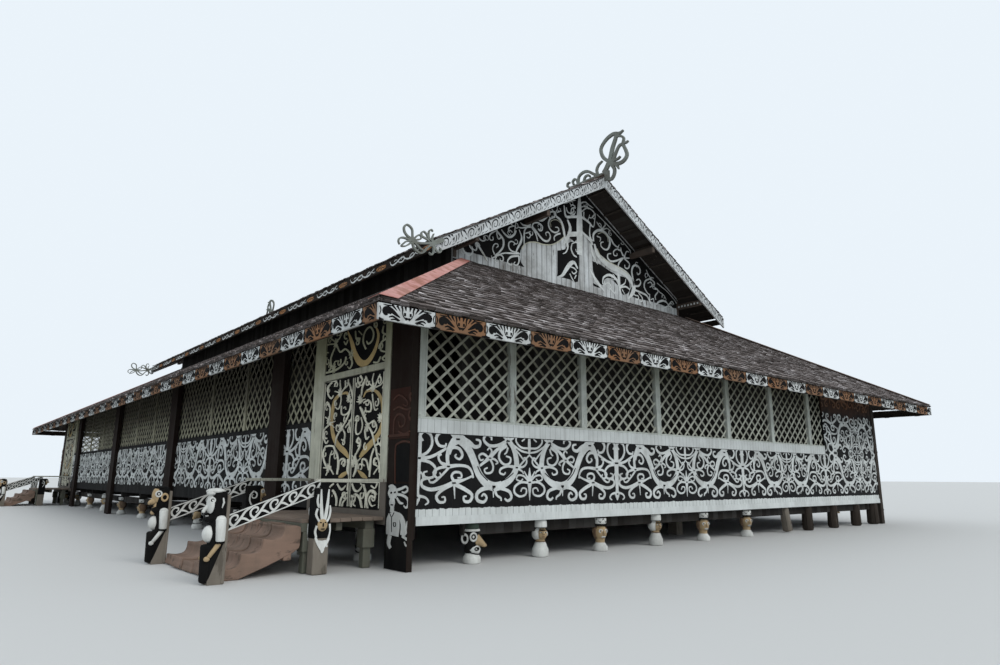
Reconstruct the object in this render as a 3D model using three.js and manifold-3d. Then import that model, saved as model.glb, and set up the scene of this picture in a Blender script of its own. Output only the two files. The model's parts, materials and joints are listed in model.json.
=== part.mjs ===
// A timber longhouse on stilts: painted plank walls with lattice above, a hipped skirt roof,
// a raised gable roof with its own walls, and two entrances with plank porches and log steps.
// Millimetres, +Z up, ground at z = 0. x runs across the house, y along it. The entrances are on
// the -X side. Each piece is one closed solid in a mesh of its own.
import * as THREE from "three";
import { mergeVertices } from "three/addons/utils/BufferGeometryUtils.js";
import Module from "manifold-3d";

const wasm = await Module();
wasm.setup();

// Driving dimensions.
const HALF_WIDTH = 9000; // outer wall face to centre line, across
const HALF_LENGTH = 16200; // outer wall face to centre line, along
const FLOOR = 850; // top of the floor boards over the ground
const GAP = 0.3; // between pieces that rest on each other
const BOARD = 40; // panel and fascia boards
const FRAME = 100; // thickness of the wall frames

const EAVE_OUT = 1300; // fascia face out from the wall face
const DRIP = 30; // roof edge out from the fascia face
const SKIRT_SLOPE = 0.56; // rise over run of the skirt roof
const SKIRT_EDGE = 3630; // underside of the skirt roof at its edge
const FASCIA_FOOT = 3420;
const ROOF_THICK = 90; // both roofs, measured upright

const UPPER_WALL_X = 4900; // outer face of the clerestory walls
const GABLE_Y = 11750; // outer face of the gable walls
const UPPER_WALL = 80; // thickness of the clerestory and gable walls
const INNER_BEAM = { foot: 6290, top: 6590, x0: 4740, x1: 5040 };
const INNER_POST = { count: 5, wide: 300 };
const RIDGE_TOP = 10360;
const UPPER_EAVE_X = 6120;
const UPPER_EAVE_TOP = 6905;
const BARGE = { face: 12750, thick: 50, deep: 265 };
const GABLE_BEAMS = { places: [3250, 4950], wide: 120, tall: 120, drop: 300 };

const END_PANEL = { x0: -8760, x1: 5300, x2: 8760, foot: 640, sill: 770, top: 2060 };
const BAND_TOP = 2280; // top of the white band over the end panels
const END_MULLIONS = [-8760, -6830, -4980, -2600, 190, 2300, 4400]; // left edges
const MULLION = 150;
const SIDE_PANEL = { foot: 800, board: 990, top: 2310 };
const SIDE_RAIL_TOP = 2400;
const PLATE = 150; // height of the wall plates
const LATTICE = { wide: 1200, tall: 830, slat: 85, thick: 30 }; // each stands for four by three
const PILLAR = { wide: 620, thick: 120 };
const PILLAR_Y = [-11370, -3750, 3750, 11370]; // centres of the wall pillars
const CORNER_PILLAR = { out: 16360, in: 15730, post: -8760 };

const DOORWAY = { y0: -15520, split: -14480, y1: -13320, foot: 860, head: 3130 };
const JAMB = { near: 180, far: 210, trim: 220 };
const LINTEL = 110;
const DOOR_THICK = 45;
const DOOR_GAP = 12; // round the door leaves
const PIVOT_RADIUS = 12; // of the pins that carry each leaf, in the middle of its thickness

const PORCH = { x: -10300, y0: -15700, y1: -12980, top: 770, plank: 70, beam: 120 };
const NEWEL = 250;
const TOP_NEWEL = { x: -10090, top: 1210 };
const FRONT_NEWEL = { x: -11500, deep: 300, top: 1220, nose: 130 };
const HANDRAIL = { tall: 190, thick: 50, high: 1340, low: 890 };
const SIDE_BAR = 50;
const LOG = { count: 5, steps: 4, low: 175, rise: 175, end: -11500, deep: 230 };

// Centres of the stilts under an end wall, from the corner.
const END_STILTS = [1350, 2900, 4500, 6300, 8050, 9950, 12050, 13300, 14950, 16500];
const STILT = 250;
const BEARER = { foot: 440, top: 639.7, thick: 240 };
const SIDE_STILTS = 11;
const JOISTS = { count: 13, wide: 120, foot: 640 };

const FRONT_REACH = -FRONT_NEWEL.x + FRONT_NEWEL.deep / 2 + FRONT_NEWEL.nose;
const ORIGIN_X = (HALF_WIDTH + EAVE_OUT + DRIP - FRONT_REACH) / 2; // middle of the whole box

const COLOURS = {
  white: [0.72, 0.74, 0.72],
  cream: [0.6, 0.6, 0.48],
  black: [0.03, 0.03, 0.035],
  darkWood: [0.1, 0.05, 0.035],
  greyWood: [0.3, 0.25, 0.21],
  shingle: [0.25, 0.21, 0.2],
  orange: [0.55, 0.3, 0.13],
};

function paint(colour, roughness = 0.8) {
  return new THREE.MeshStandardMaterial({
    color: new THREE.Color(...COLOURS[colour]),
    roughness,
    metalness: 0,
  });
}

// Solids: three.js makes the shapes, and manifold-3d joins and cuts them.
function toSolid(geometry) {
  const bare = geometry.clone();
  bare.deleteAttribute("normal");
  bare.deleteAttribute("uv");
  const merged = mergeVertices(bare, 1e-3);
  return new wasm.Manifold(
    new wasm.Mesh({
      numProp: 3,
      vertProperties: new Float32Array(merged.attributes.position.array),
      triVerts: new Uint32Array(merged.index.array),
    }),
  );
}

function toGeometry(solid) {
  const mesh = solid.simplify(0.2).getMesh();
  const geometry = new THREE.BufferGeometry();
  geometry.setAttribute("position", new THREE.BufferAttribute(mesh.vertProperties, 3));
  geometry.setIndex(new THREE.BufferAttribute(mesh.triVerts, 1));
  geometry.computeVertexNormals();
  return geometry;
}

function fuse(shapes) {
  return toGeometry(shapes.map(toSolid).reduce((all, next) => all.add(next)));
}

function clip(shape, limit) {
  return toGeometry(toSolid(shape).intersect(toSolid(limit)));
}

function block(x0, x1, y0, y1, z0, z1) {
  const size = [Math.abs(x1 - x0), Math.abs(y1 - y0), Math.abs(z1 - z0)];
  return new THREE.BoxGeometry(...size).translate((x0 + x1) / 2, (y0 + y1) / 2, (z0 + z1) / 2);
}

// A plan outline given a thickness upright, with its base on the plane z0 + a x + b y.
function slopedSlab(outline, thickness, z0, a, b) {
  const shape = new THREE.Shape(outline.map(([x, y]) => new THREE.Vector2(x, y)));
  const slab = new THREE.ExtrudeGeometry(shape, { depth: thickness, bevelEnabled: false });
  const shear = new THREE.Matrix4().set(1, 0, 0, 0, 0, 1, 0, 0, a, b, 1, z0, 0, 0, 0, 1);
  return slab.applyMatrix4(shear);
}

// A shape drawn in x and z, extruded along y from y0 to y1.
function alongY(shape, y0, y1) {
  const options = { depth: y1 - y0, bevelEnabled: false, curveSegments: 8 };
  return new THREE.ExtrudeGeometry(shape, options).rotateX(Math.PI / 2).translate(0, y1, 0);
}

// A shape drawn in y and z, extruded along x from x0 to x1.
function alongX(shape, x0, x1) {
  const options = { depth: x1 - x0, bevelEnabled: false, curveSegments: 8 };
  const turn = new THREE.Matrix4().set(0, 0, 1, x0, 1, 0, 0, 0, 0, 1, 0, 0, 0, 0, 0, 1);
  return new THREE.ExtrudeGeometry(shape, options).applyMatrix4(turn);
}

function outline(points) {
  return new THREE.Shape(points.map(([u, v]) => new THREE.Vector2(u, v)));
}

const house = new THREE.Group();
house.position.x = -ORIGIN_X;

function piece(name, geometry, material, parent = house) {
  const mesh = new THREE.Mesh(geometry, material);
  mesh.name = name;
  parent.add(mesh);
}

// A group that mirrors its pieces to the far end, or to the back side.
function mirror(axis) {
  const group = new THREE.Group();
  group.scale[axis] = -1;
  house.add(group);
  return group;
}

const ends = [["near", house], ["far", mirror("y")]];
const sides = [["front", house], ["back", mirror("x")]];

// Heights of the roofs.
const SKIRT_X = HALF_WIDTH + EAVE_OUT + DRIP;
const SKIRT_Y = HALF_LENGTH + EAVE_OUT + DRIP;
const skirtUnder = (inFromEdge) => SKIRT_EDGE + SKIRT_SLOPE * inFromEdge;
const UPPER_SLOPE = (RIDGE_TOP - UPPER_EAVE_TOP) / UPPER_EAVE_X;
const upperUnder = (x) => RIDGE_TOP - ROOF_THICK - UPPER_SLOPE * Math.abs(x);
const WALL_TOP = skirtUnder(EAVE_OUT + DRIP) - GAP;

// Crossed slats over a rectangle in x and z, joined where they cross.
function lattice(u0, u1, z0, z1) {
  const { wide, tall, slat, thick } = LATTICE;
  const across = Math.max(1, Math.round((u1 - u0) / wide));
  const up = Math.max(1, Math.round((z1 - z0) / tall));
  const pitch = (u1 - u0) / across;
  const angle = Math.atan2((z1 - z0) / up, pitch);
  const length = (2.2 * (z1 - z0)) / Math.sin(angle);
  const slats = [];
  for (let i = -up - 1; i <= across + up; i++) {
    for (const lean of [-1, 1]) {
      slats.push(
        new THREE.BoxGeometry(length, thick, slat)
          .rotateY(lean * angle)
          .translate(u0 + (i + 0.5) * pitch, 0, z0),
      );
    }
  }
  return clip(fuse(slats), block(u0, u1, -thick, thick, z0, z1));
}

// Stilts under one bearer.
function stiltRow(places) {
  const { foot, top, thick } = BEARER;
  const half = STILT / 2;
  const posts = places.map((p) => block(p - half, p + half, -half, half, 0, foot + 1));
  const last = places[places.length - 1];
  return fuse([block(places[0] - half - 60, last + half + 60, -thick / 2, thick / 2, foot, top), ...posts]);
}

const END_ROW_Y = HALF_LENGTH - FRAME - GAP - BEARER.thick / 2;
const SIDE_ROW_X = HALF_WIDTH - FRAME - GAP - BEARER.thick / 2;
for (const [end, group] of ends) {
  const row = stiltRow(END_STILTS.map((x) => x - HALF_WIDTH)).translate(0, -END_ROW_Y, 0);
  piece(`${end}_stilts`, row, paint("greyWood"), group);
}
const sideHalf = END_ROW_Y - 1300;
const sidePlaces = Array.from({ length: SIDE_STILTS }, (_, i) => sideHalf * ((2 * i) / (SIDE_STILTS - 1) - 1));
for (const [name, x] of [["front", -SIDE_ROW_X], ["middle", 0], ["back", SIDE_ROW_X]]) {
  piece(`${name}_stilts`, stiltRow(sidePlaces).rotateZ(Math.PI / 2).translate(x, 0, 0), paint("greyWood"));
}

// Floor boards on joists that lie across the bearers.
const FLOOR_X = HALF_WIDTH - FRAME - GAP;
const FLOOR_Y = HALF_LENGTH - FRAME - GAP;
const joists = Array.from({ length: JOISTS.count }, (_, i) => {
  const y = (FLOOR_Y - 160) * ((2 * i) / (JOISTS.count - 1) - 1);
  return block(-FLOOR_X, FLOOR_X, y - JOISTS.wide / 2, y + JOISTS.wide / 2, JOISTS.foot, FLOOR - 49);
});
const boards = block(-FLOOR_X, FLOOR_X, -FLOOR_Y, FLOOR_Y, FLOOR - 50, FLOOR);
piece("floor", fuse([boards, ...joists]), paint("greyWood"));

// End walls: a painted plank panel that rises to the eaves at one side, and lattice beside it.
for (const [end, group] of ends) {
  const { x0, x1, x2, foot, sill, top } = END_PANEL;
  const face = -HALF_LENGTH;
  const planks = fuse([
    block(x0, x2, face, face + BOARD, sill - 1, top),
    block(x1, x2, face, face + BOARD, top - 1, WALL_TOP),
    block(x0, x2, face - 20, face + BOARD, foot, sill),
    block(x0, x2, face, face + FRAME, foot, sill),
  ]);
  piece(`${end}_end_panel`, planks, paint("black"), group);
  const z0 = top + GAP;
  const right = x1 - GAP;
  const half = FRAME / 2;
  const net = fuse([
    block(x0, right, -half, half, z0, BAND_TOP),
    block(x0, right, -half, half, WALL_TOP - PLATE, WALL_TOP),
    ...END_MULLIONS.map((x) => block(x, x + MULLION, -half, half, BAND_TOP - 1, WALL_TOP - 1)),
    lattice(x0, right, BAND_TOP - 1, WALL_TOP - PLATE + 1),
  ]);
  piece(`${end}_end_lattice`, net.translate(0, face + half, 0), paint("cream"), group);
}

// Side walls: pillars under a wall plate, and behind them a painted panel with lattice above.
const DOOR_SIDE = -DOORWAY.y1 - JAMB.far - JAMB.trim - GAP; // half length between the entrances
const BACK_SIDE = CORNER_PILLAR.in - GAP;
const plateOut = HALF_WIDTH + PILLAR.thick + GAP;
const PLATE_TOP = skirtUnder(SKIRT_X - plateOut) - GAP;
const PLATE_FOOT = PLATE_TOP - PLATE;
const cornerTop = skirtUnder(SKIRT_Y - CORNER_PILLAR.out) - GAP;
for (const [side, group] of sides) {
  const half = side === "front" ? DOOR_SIDE : BACK_SIDE;
  const face = -HALF_WIDTH;
  const { foot, board, top } = SIDE_PANEL;
  const panel = fuse([
    block(face, face + BOARD, -half, half, board - 1, top),
    block(face, face + FRAME, -half, half, foot, board),
    block(face, face + FRAME, -half, half, top - 1, SIDE_RAIL_TOP),
  ]);
  piece(`${side}_panel`, panel, paint("black"), group);
  const net = lattice(-half, half, SIDE_RAIL_TOP + GAP, PLATE_FOOT - GAP);
  const netX = face + FRAME / 2;
  piece(`${side}_lattice`, net.rotateZ(Math.PI / 2).translate(netX, 0, 0), paint("cream"), group);
  const pillars = PILLAR_Y.map((y) =>
    block(-plateOut, face - GAP, y - PILLAR.wide / 2, y + PILLAR.wide / 2, 0, PLATE_TOP - 1),
  );
  const plate = block(-plateOut, face + FRAME, -BACK_SIDE, BACK_SIDE, PLATE_FOOT, PLATE_TOP);
  piece(`${side}_frame`, fuse([plate, ...pillars]), paint("darkWood"), group);
  for (const [name, end] of [["near", -1], ["far", 1]]) {
    const { out, post } = CORNER_PILLAR;
    const inner = HALF_LENGTH - FRAME;
    const corner = fuse([
      block(face, face + FRAME, end * out, end * CORNER_PILLAR.in, 0, cornerTop),
      block(face + FRAME - 1, post - GAP, end * HALF_LENGTH, end * inner, BEARER.foot, cornerTop),
    ]);
    piece(`${name}_${side}_corner`, corner, paint("darkWood"), group);
  }
}

// Entrances: a frame with a painted board over the head, and two leaves that open inwards.
const LEAF_FACE = -HALF_WIDTH + 20;
for (const [end, group] of ends) {
  const { y0, split, y1, foot, head } = DOORWAY;
  const out = -HALF_WIDTH;
  const inner = out + FRAME;
  const low = JOISTS.foot;
  const high = PLATE_FOOT - GAP;
  const frame = fuse([
    block(out, inner, y0 - 1, y1 + 1, low, FLOOR),
    block(out, inner, y0 - JAMB.near, y0, low, high),
    block(out, inner, y1, y1 + JAMB.far + JAMB.trim, low, high),
    block(out, inner, y0 - 1, y1 + 1, head, head + LINTEL),
    block(LEAF_FACE, LEAF_FACE + BOARD, y0 - 1, y1 + 1, head + LINTEL - 1, high),
  ]);
  piece(`${end}_door_frame`, frame, paint("cream"), group);
  const leaf = (a, b, pivotY) => {
    const pin = (z0, z1) =>
      new THREE.CylinderGeometry(PIVOT_RADIUS, PIVOT_RADIUS, z1 - z0, 8)
        .rotateX(Math.PI / 2)
        .translate(LEAF_FACE + DOOR_THICK / 2, pivotY, (z0 + z1) / 2);
    const top = head - DOOR_GAP;
    const board = block(LEAF_FACE, LEAF_FACE + DOOR_THICK, a, b, foot, top);
    return fuse([board, pin(FLOOR + GAP, foot + 1), pin(top - 1, head - GAP)]);
  };
  const outerEdge = y0 + DOOR_GAP;
  const innerEdge = y1 - DOOR_GAP;
  const outer = leaf(outerEdge, split - DOOR_GAP / 2, outerEdge + DOOR_THICK / 2);
  const innerLeaf = leaf(split + DOOR_GAP / 2, innerEdge, innerEdge - DOOR_THICK / 2);
  piece(`${end}_door_outer`, outer, paint("black"), group);
  piece(`${end}_door_inner`, innerLeaf, paint("black"), group);
}

// The skirt roof: two end slopes and two side slopes, which meet on the hips.
const HIP_RUN = SKIRT_X - UPPER_WALL_X;
const hipTopY = SKIRT_Y - HIP_RUN;
const endSlope = [
  [-SKIRT_X, -SKIRT_Y],
  [SKIRT_X, -SKIRT_Y],
  [UPPER_WALL_X, -hipTopY],
  [UPPER_WALL_X, -GABLE_Y - GAP],
  [-UPPER_WALL_X, -GABLE_Y - GAP],
  [-UPPER_WALL_X, -hipTopY],
];
for (const [end, group] of ends) {
  const z0 = SKIRT_EDGE + SKIRT_SLOPE * SKIRT_Y;
  const slab = slopedSlab(endSlope, ROOF_THICK, z0, 0, SKIRT_SLOPE);
  piece(`${end}_skirt_roof`, slab, paint("shingle"), group);
  const faceY = -HALF_LENGTH - EAVE_OUT;
  const faceX = HALF_WIDTH + EAVE_OUT;
  const fascia = block(-faceX, faceX, faceY, faceY + BOARD, FASCIA_FOOT, skirtUnder(DRIP) - GAP);
  piece(`${end}_fascia`, fascia, paint("orange"), group);
}
const HIP_GAP = 2 * GAP; // along y, so that the hip joint is open by GAP or more
const sideSlope = [
  [-SKIRT_X, -SKIRT_Y + HIP_GAP],
  [-UPPER_WALL_X - HIP_GAP, -hipTopY],
  [-UPPER_WALL_X - HIP_GAP, hipTopY],
  [-SKIRT_X, SKIRT_Y - HIP_GAP],
];
for (const [side, group] of sides) {
  const slab = slopedSlab(sideSlope, ROOF_THICK, SKIRT_EDGE + SKIRT_SLOPE * SKIRT_X, SKIRT_SLOPE, 0);
  piece(`${side}_skirt_roof`, slab, paint("shingle"), group);
  const faceX = -HALF_WIDTH - EAVE_OUT;
  const half = HALF_LENGTH + EAVE_OUT - BOARD - GAP;
  const fascia = block(faceX, faceX + BOARD, -half, half, FASCIA_FOOT, skirtUnder(DRIP) - GAP);
  piece(`${side}_fascia`, fascia, paint("orange"), group);
}

// Inner posts under a beam, and the clerestory wall that stands on the beam.
const innerHalf = GABLE_Y - UPPER_WALL - GAP;
for (const [side, group] of sides) {
  const { foot, top, x0, x1 } = INNER_BEAM;
  const { count, wide } = INNER_POST;
  const posts = Array.from({ length: count }, (_, i) => {
    const y = (GABLE_Y - wide / 2) * ((2 * i) / (count - 1) - 1);
    return block(-x1, -x0, y - wide / 2, y + wide / 2, FLOOR + GAP, foot + 1);
  });
  const beam = block(-x1, -x0, -GABLE_Y, GABLE_Y, foot, top);
  piece(`${side}_inner_posts`, fuse([beam, ...posts]), paint("darkWood"), group);
  const outFace = -UPPER_WALL_X + GAP;
  const wallTop = upperUnder(UPPER_WALL_X) - GAP;
  const wall = block(outFace, outFace + UPPER_WALL, -innerHalf, innerHalf, top + GAP, wallTop);
  piece(`${side}_clerestory`, wall, paint("darkWood"), group);
}

// Gable walls, each with a ledger under the skirt roof and short beams out to the barge boards.
for (const [end, group] of ends) {
  const foot = INNER_BEAM.top + GAP;
  const shoulder = upperUnder(UPPER_WALL_X) - GAP;
  const wall = outline([
    [-UPPER_WALL_X, foot],
    [UPPER_WALL_X, foot],
    [UPPER_WALL_X, shoulder],
    [0, upperUnder(0) - GAP],
    [-UPPER_WALL_X, shoulder],
  ]);
  const ledgerOut = GABLE_Y + 160;
  const ledgerTop = skirtUnder(SKIRT_Y - ledgerOut) - GAP;
  const { places, wide, tall, drop } = GABLE_BEAMS;
  const stubs = [-1, 1].flatMap((hand) =>
    places.map((x) => {
      const top = upperUnder(x) - drop;
      const y0 = -BARGE.face + BARGE.thick + GAP;
      return block(hand * x - wide / 2, hand * x + wide / 2, y0, -GABLE_Y + 1, top - tall, top);
    }),
  );
  const ledger = block(-UPPER_WALL_X, UPPER_WALL_X, -ledgerOut, -GABLE_Y + 1, foot, ledgerTop);
  const made = fuse([alongY(wall, -GABLE_Y, -GABLE_Y + UPPER_WALL), ledger, ...stubs]);
  piece(`${end}_gable_wall`, made, paint("white"), group);
}

// The main roof with its ridge, barge boards and eave fascias.
const fasciaHalf = BARGE.face - BARGE.thick - GAP;
for (const [side, group] of sides) {
  const slope = outline([
    [-UPPER_EAVE_X, upperUnder(UPPER_EAVE_X)],
    [-GAP, upperUnder(GAP)],
    [-GAP, upperUnder(GAP) + ROOF_THICK],
    [-UPPER_EAVE_X, UPPER_EAVE_TOP],
  ]);
  piece(`${side}_main_roof`, alongY(slope, -BARGE.face, BARGE.face), paint("shingle"), group);
  const outX = -UPPER_EAVE_X + DRIP;
  const top = upperUnder(outX) - GAP;
  const fascia = block(outX, outX + BOARD, -fasciaHalf, fasciaHalf, top - 200, top);
  piece(`${side}_upper_fascia`, fascia, paint("darkWood"), group);
}
for (const [end, group] of ends) {
  const out = UPPER_EAVE_X;
  const both = outline([
    [-out, upperUnder(out) - GAP - BARGE.deep],
    [0, upperUnder(0) - GAP - BARGE.deep],
    [out, upperUnder(out) - GAP - BARGE.deep],
    [out, upperUnder(out) - GAP],
    [0, upperUnder(0) - GAP],
    [-out, upperUnder(out) - GAP],
  ]);
  const made = alongY(both, -BARGE.face, -BARGE.face + BARGE.thick);
  piece(`${end}_barge_boards`, made, paint("white"), group);
}
const RIDGE_CAP = { half: 260, thick: 25 };
const capLow = RIDGE_TOP + 5 - UPPER_SLOPE * RIDGE_CAP.half;
const cap = outline([
  [-RIDGE_CAP.half, capLow],
  [0, RIDGE_TOP + 5],
  [RIDGE_CAP.half, capLow],
  [RIDGE_CAP.half, capLow + RIDGE_CAP.thick],
  [0, RIDGE_TOP + 5 + RIDGE_CAP.thick],
  [-RIDGE_CAP.half, capLow + RIDGE_CAP.thick],
]);
piece("ridge_cap", alongY(cap, -BARGE.face, BARGE.face), paint("greyWood"));

// Openwork ornaments, cut from board. Each band is a smooth line through [u, height, width].
function band(points) {
  const line = new THREE.CatmullRomCurve3(points.map((p) => new THREE.Vector3(...p)));
  const steps = 3 * (points.length - 1);
  const edges = [[], []];
  for (let i = 0; i <= steps; i++) {
    const at = line.getPoint(i / steps);
    const along = line.getTangent(i / steps);
    const reach = at.z / 2 / Math.hypot(along.x, along.y);
    edges[0].push([at.x - along.y * reach, at.y + along.x * reach]);
    edges[1].unshift([at.x + along.y * reach, at.y - along.x * reach]);
  }
  return outline([...edges[0], ...edges[1]]);
}

function disc(u, v, radius) {
  const shape = new THREE.Shape();
  shape.absarc(u, v, radius, 0, 2 * Math.PI);
  return shape;
}

const ORNAMENT_THICK = 70;
const RIDGE_BANDS = [
  [[-11315, 10430, 60], [-11195, 10505, 60], [-11205, 10600, 55], [-11305, 10615, 40]],
  [[-11650, 10430, 70], [-11600, 10585, 65], [-11505, 10650, 60], [-11425, 10595, 60], [-11460, 10485, 55]],
  [[-11650, 10430, 75], [-11695, 10670, 75], [-11875, 10750, 80], [-12075, 10710, 85], [-12285, 10555, 90],
    [-12460, 10430, 100]],
  [[-11890, 10430, 65], [-11965, 10575, 65], [-12100, 10575, 60], [-12155, 10500, 50]],
  [[-12485, 10430, 70], [-12435, 10620, 70], [-12510, 10760, 65], [-12670, 10840, 40]],
  [[-12715, 10430, 150], [-12820, 10540, 150], [-12930, 10700, 150]],
  [[-12920, 10735, 105], [-12735, 10910, 100], [-12645, 11090, 90], [-12630, 11265, 90], [-12755, 11420, 95],
    [-12950, 11525, 100], [-13160, 11550, 100], [-13380, 11480, 80], [-13515, 11520, 40]],
  [[-12970, 10735, 145], [-13025, 10925, 135], [-13090, 11130, 125], [-13185, 11320, 115], [-13245, 11475, 105]],
  [[-13060, 10640, 90], [-13210, 10915, 85], [-13340, 11080, 80], [-13475, 11100, 75]],
  [[-13000, 10640, 120], [-13315, 10525, 105], [-13510, 10555, 105], [-13615, 10675, 100], [-13575, 10855, 90],
    [-13485, 11095, 80], [-13520, 11250, 70], [-13425, 11365, 70], [-13230, 11450, 75]],
  [[-13490, 11115, 70], [-13605, 11085, 60], [-13685, 11110, 35]],
  [[-13060, 10700, 75], [-13285, 10690, 65], [-13370, 10730, 45]],
  [[-13060, 10640, 80], [-13240, 10470, 70], [-13290, 10355, 30]],
  [[-13000, 10620, 100], [-13130, 10410, 95], [-13105, 10230, 95], [-12995, 10135, 95], [-12860, 10200, 80]],
];
const EYE = { y: -12975, z: 10690, radius: 110 };
const capTop = RIDGE_TOP + 5 + RIDGE_CAP.thick;
for (const [end, group] of ends) {
  const half = ORNAMENT_THICK / 2;
  const bands = RIDGE_BANDS.map((points) => alongX(band(points), -half, half));
  const made = fuse([
    block(-half, half, -12900, -11250, capTop + GAP, capTop + 60),
    block(-half, half, -12920, -BARGE.face - GAP, capTop - 230, capTop + 59),
    alongX(disc(EYE.y, EYE.z, EYE.radius), -half, half),
    ...bands,
  ]);
  const roof = block(-half - 1, half + 1, -BARGE.face - GAP, 0, 0, capTop + GAP);
  const clear = toGeometry(toSolid(made).subtract(toSolid(roof)));
  piece(`${end}_ridge_ornament`, clear, paint("greyWood"), group);
}

const EAVE_BANDS = [
  [[-6800, 6620, 60], [-6595, 6615, 50], [-6470, 6640, 50], [-6250, 6695, 65]],
  [[-6795, 6665, 45], [-6930, 6705, 45], [-7015, 6790, 45], [-7030, 6890, 42], [-6965, 6970, 40],
    [-6875, 6950, 40], [-6815, 6890, 40], [-6800, 6755, 40], [-6785, 6640, 55]],
  [[-6805, 6635, 55], [-6950, 6640, 45], [-7050, 6640, 40], [-7135, 6605, 35], [-7165, 6530, 30], [-7130, 6460, 25]],
  [[-6805, 6615, 55], [-6935, 6585, 40], [-7025, 6510, 35], [-7085, 6435, 30], [-6990, 6450, 30],
    [-6885, 6520, 40], [-6805, 6595, 45]],
  [[-6765, 6650, 40], [-6715, 6730, 38], [-6625, 6805, 35], [-6560, 6790, 32], [-6580, 6715, 32],
    [-6670, 6680, 35], [-6755, 6645, 40]],
  [[-6805, 6605, 50], [-6760, 6490, 50], [-6685, 6415, 50], [-6580, 6380, 45], [-6475, 6435, 45],
    [-6395, 6545, 42], [-6260, 6670, 45]],
  [[-6740, 6600, 45], [-6635, 6525, 45], [-6550, 6475, 40], [-6450, 6450, 35]],
  [[-6280, 6710, 45], [-6420, 6765, 45], [-6540, 6800, 40], [-6560, 6870, 36], [-6500, 6920, 36],
    [-6435, 6890, 36], [-6350, 6780, 40], [-6280, 6710, 45]],
  [[-6270, 6715, 45], [-6350, 6810, 45], [-6360, 6900, 40], [-6340, 6980, 36], [-6285, 7020, 30], [-6245, 6980, 25]],
  [[-6250, 6720, 40], [-6255, 6830, 36], [-6215, 6935, 20]],
  [[-6245, 6665, 45], [-6205, 6560, 45], [-6220, 6465, 40], [-6280, 6405, 36], [-6335, 6450, 30]],
  [[-6225, 6670, 45], [-6145, 6555, 45], [-6055, 6510, 40], [-6000, 6570, 40], [-6030, 6620, 35]],
  [[-6250, 6690, 105], [-6100, 6765, 110], [-5935, 6855, 100]],
];
const EAVE_HUBS = [[-6795, 6635, 75], [-6255, 6690, 80]];
for (const [end, group] of ends) {
  const y1 = -BARGE.face - GAP;
  const y0 = y1 - 50;
  const made = fuse([
    ...EAVE_BANDS.map((points) => alongY(band(points), y0, y1)),
    ...EAVE_HUBS.map((hub) => alongY(disc(...hub), y0, y1)),
  ]);
  piece(`${end}_eave_scroll`, made, paint("white"), group);
}

// Plank porches with carved newels, sloping handrail boards and a stair of notched logs.
const newelBlock = (y, reach = 0) => {
  const half = NEWEL / 2 + reach;
  return block(TOP_NEWEL.x - half, TOP_NEWEL.x + half, y - half, y + half, -reach, TOP_NEWEL.top);
};
function balustrade(y) {
  const { x, deep, top, nose } = FRONT_NEWEL;
  const front = x - deep / 2;
  const figure = outline([
    [x + deep / 2, 0],
    [x + deep / 2, top],
    [front, top],
    [front, top - 90],
    [front - nose, top - 260],
    [front - 60, top - 370],
    [front - 50, top - 480],
    [front + 60, top - 530],
    [front, top - 700],
    [front - 20, top - 850],
    [front + 20, 0],
  ]);
  const railEnd = TOP_NEWEL.x - 10;
  const rail = outline([
    [x, HANDRAIL.low - HANDRAIL.tall],
    [railEnd, HANDRAIL.high - HANDRAIL.tall],
    [railEnd, HANDRAIL.high],
    [x, HANDRAIL.low],
  ]);
  const half = HANDRAIL.thick / 2;
  const barFoot = HANDRAIL.high - SIDE_BAR;
  return fuse([
    newelBlock(y),
    alongY(figure, y - NEWEL / 2, y + NEWEL / 2),
    alongY(rail, y - half, y + half),
    block(railEnd - 100, -HALF_WIDTH - GAP, y - 30, y + 30, barFoot, HANDRAIL.high),
  ]);
}
for (const [end, group] of ends) {
  const { x, y0, y1, top, plank, beam } = PORCH;
  const wall = -HALF_WIDTH - GAP;
  const low = top - plank;
  const legs = [x + 60, wall - 260].flatMap((legX) =>
    [y0 + 160, y1 - 310].map((y) => block(legX, legX + 150, y, y + 150, 0, low - beam + 1)),
  );
  const frame = fuse([
    block(x, wall, y0, y1, low, top),
    block(x, x + 100, y0 + 60, y1 - 60, low - beam, low + 1),
    block(x + 60, x + 230, y0 + 130, y1 - 130, low - beam, low + 1),
    block(wall - 260, wall - 110, y0 + 60, y1 - 60, low - beam, low + 1),
    ...legs,
  ]);
  const notches = toSolid(newelBlock(y0, GAP)).add(toSolid(newelBlock(y1, GAP)));
  piece(`${end}_porch`, toGeometry(toSolid(frame).subtract(notches)), paint("greyWood"), group);
  piece(`${end}_outer_balustrade`, balustrade(y0), paint("white"), group);
  piece(`${end}_inner_balustrade`, balustrade(y1), paint("white"), group);

  const from = x - GAP;
  const run = (from - LOG.end) / LOG.steps;
  const tops = [];
  for (let i = LOG.steps; i > 0; i--) {
    const z = LOG.low + (i - 1) * LOG.rise;
    const back = from - (LOG.steps - i) * run;
    tops.push([back, z], [back - run, z]);
  }
  const log = outline([...tops, [LOG.end, 0], [LOG.end + LOG.deep, 0], [from, low - LOG.deep]]);
  const between = y1 - y0 - NEWEL - 10;
  const pitch = between / LOG.count;
  const first = y0 + NEWEL / 2 + 5;
  const logs = Array.from({ length: LOG.count }, (_, i) =>
    alongY(log, first + i * pitch + 4, first + (i + 1) * pitch - 4),
  );
  const tie = block(from - 240, from - 120, first + 4, first + between - 4, low - LOG.deep - 150, low - LOG.deep + 20);
  piece(`${end}_stair`, fuse([tie, ...logs]), paint("greyWood"), group);
}

export default house;
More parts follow.
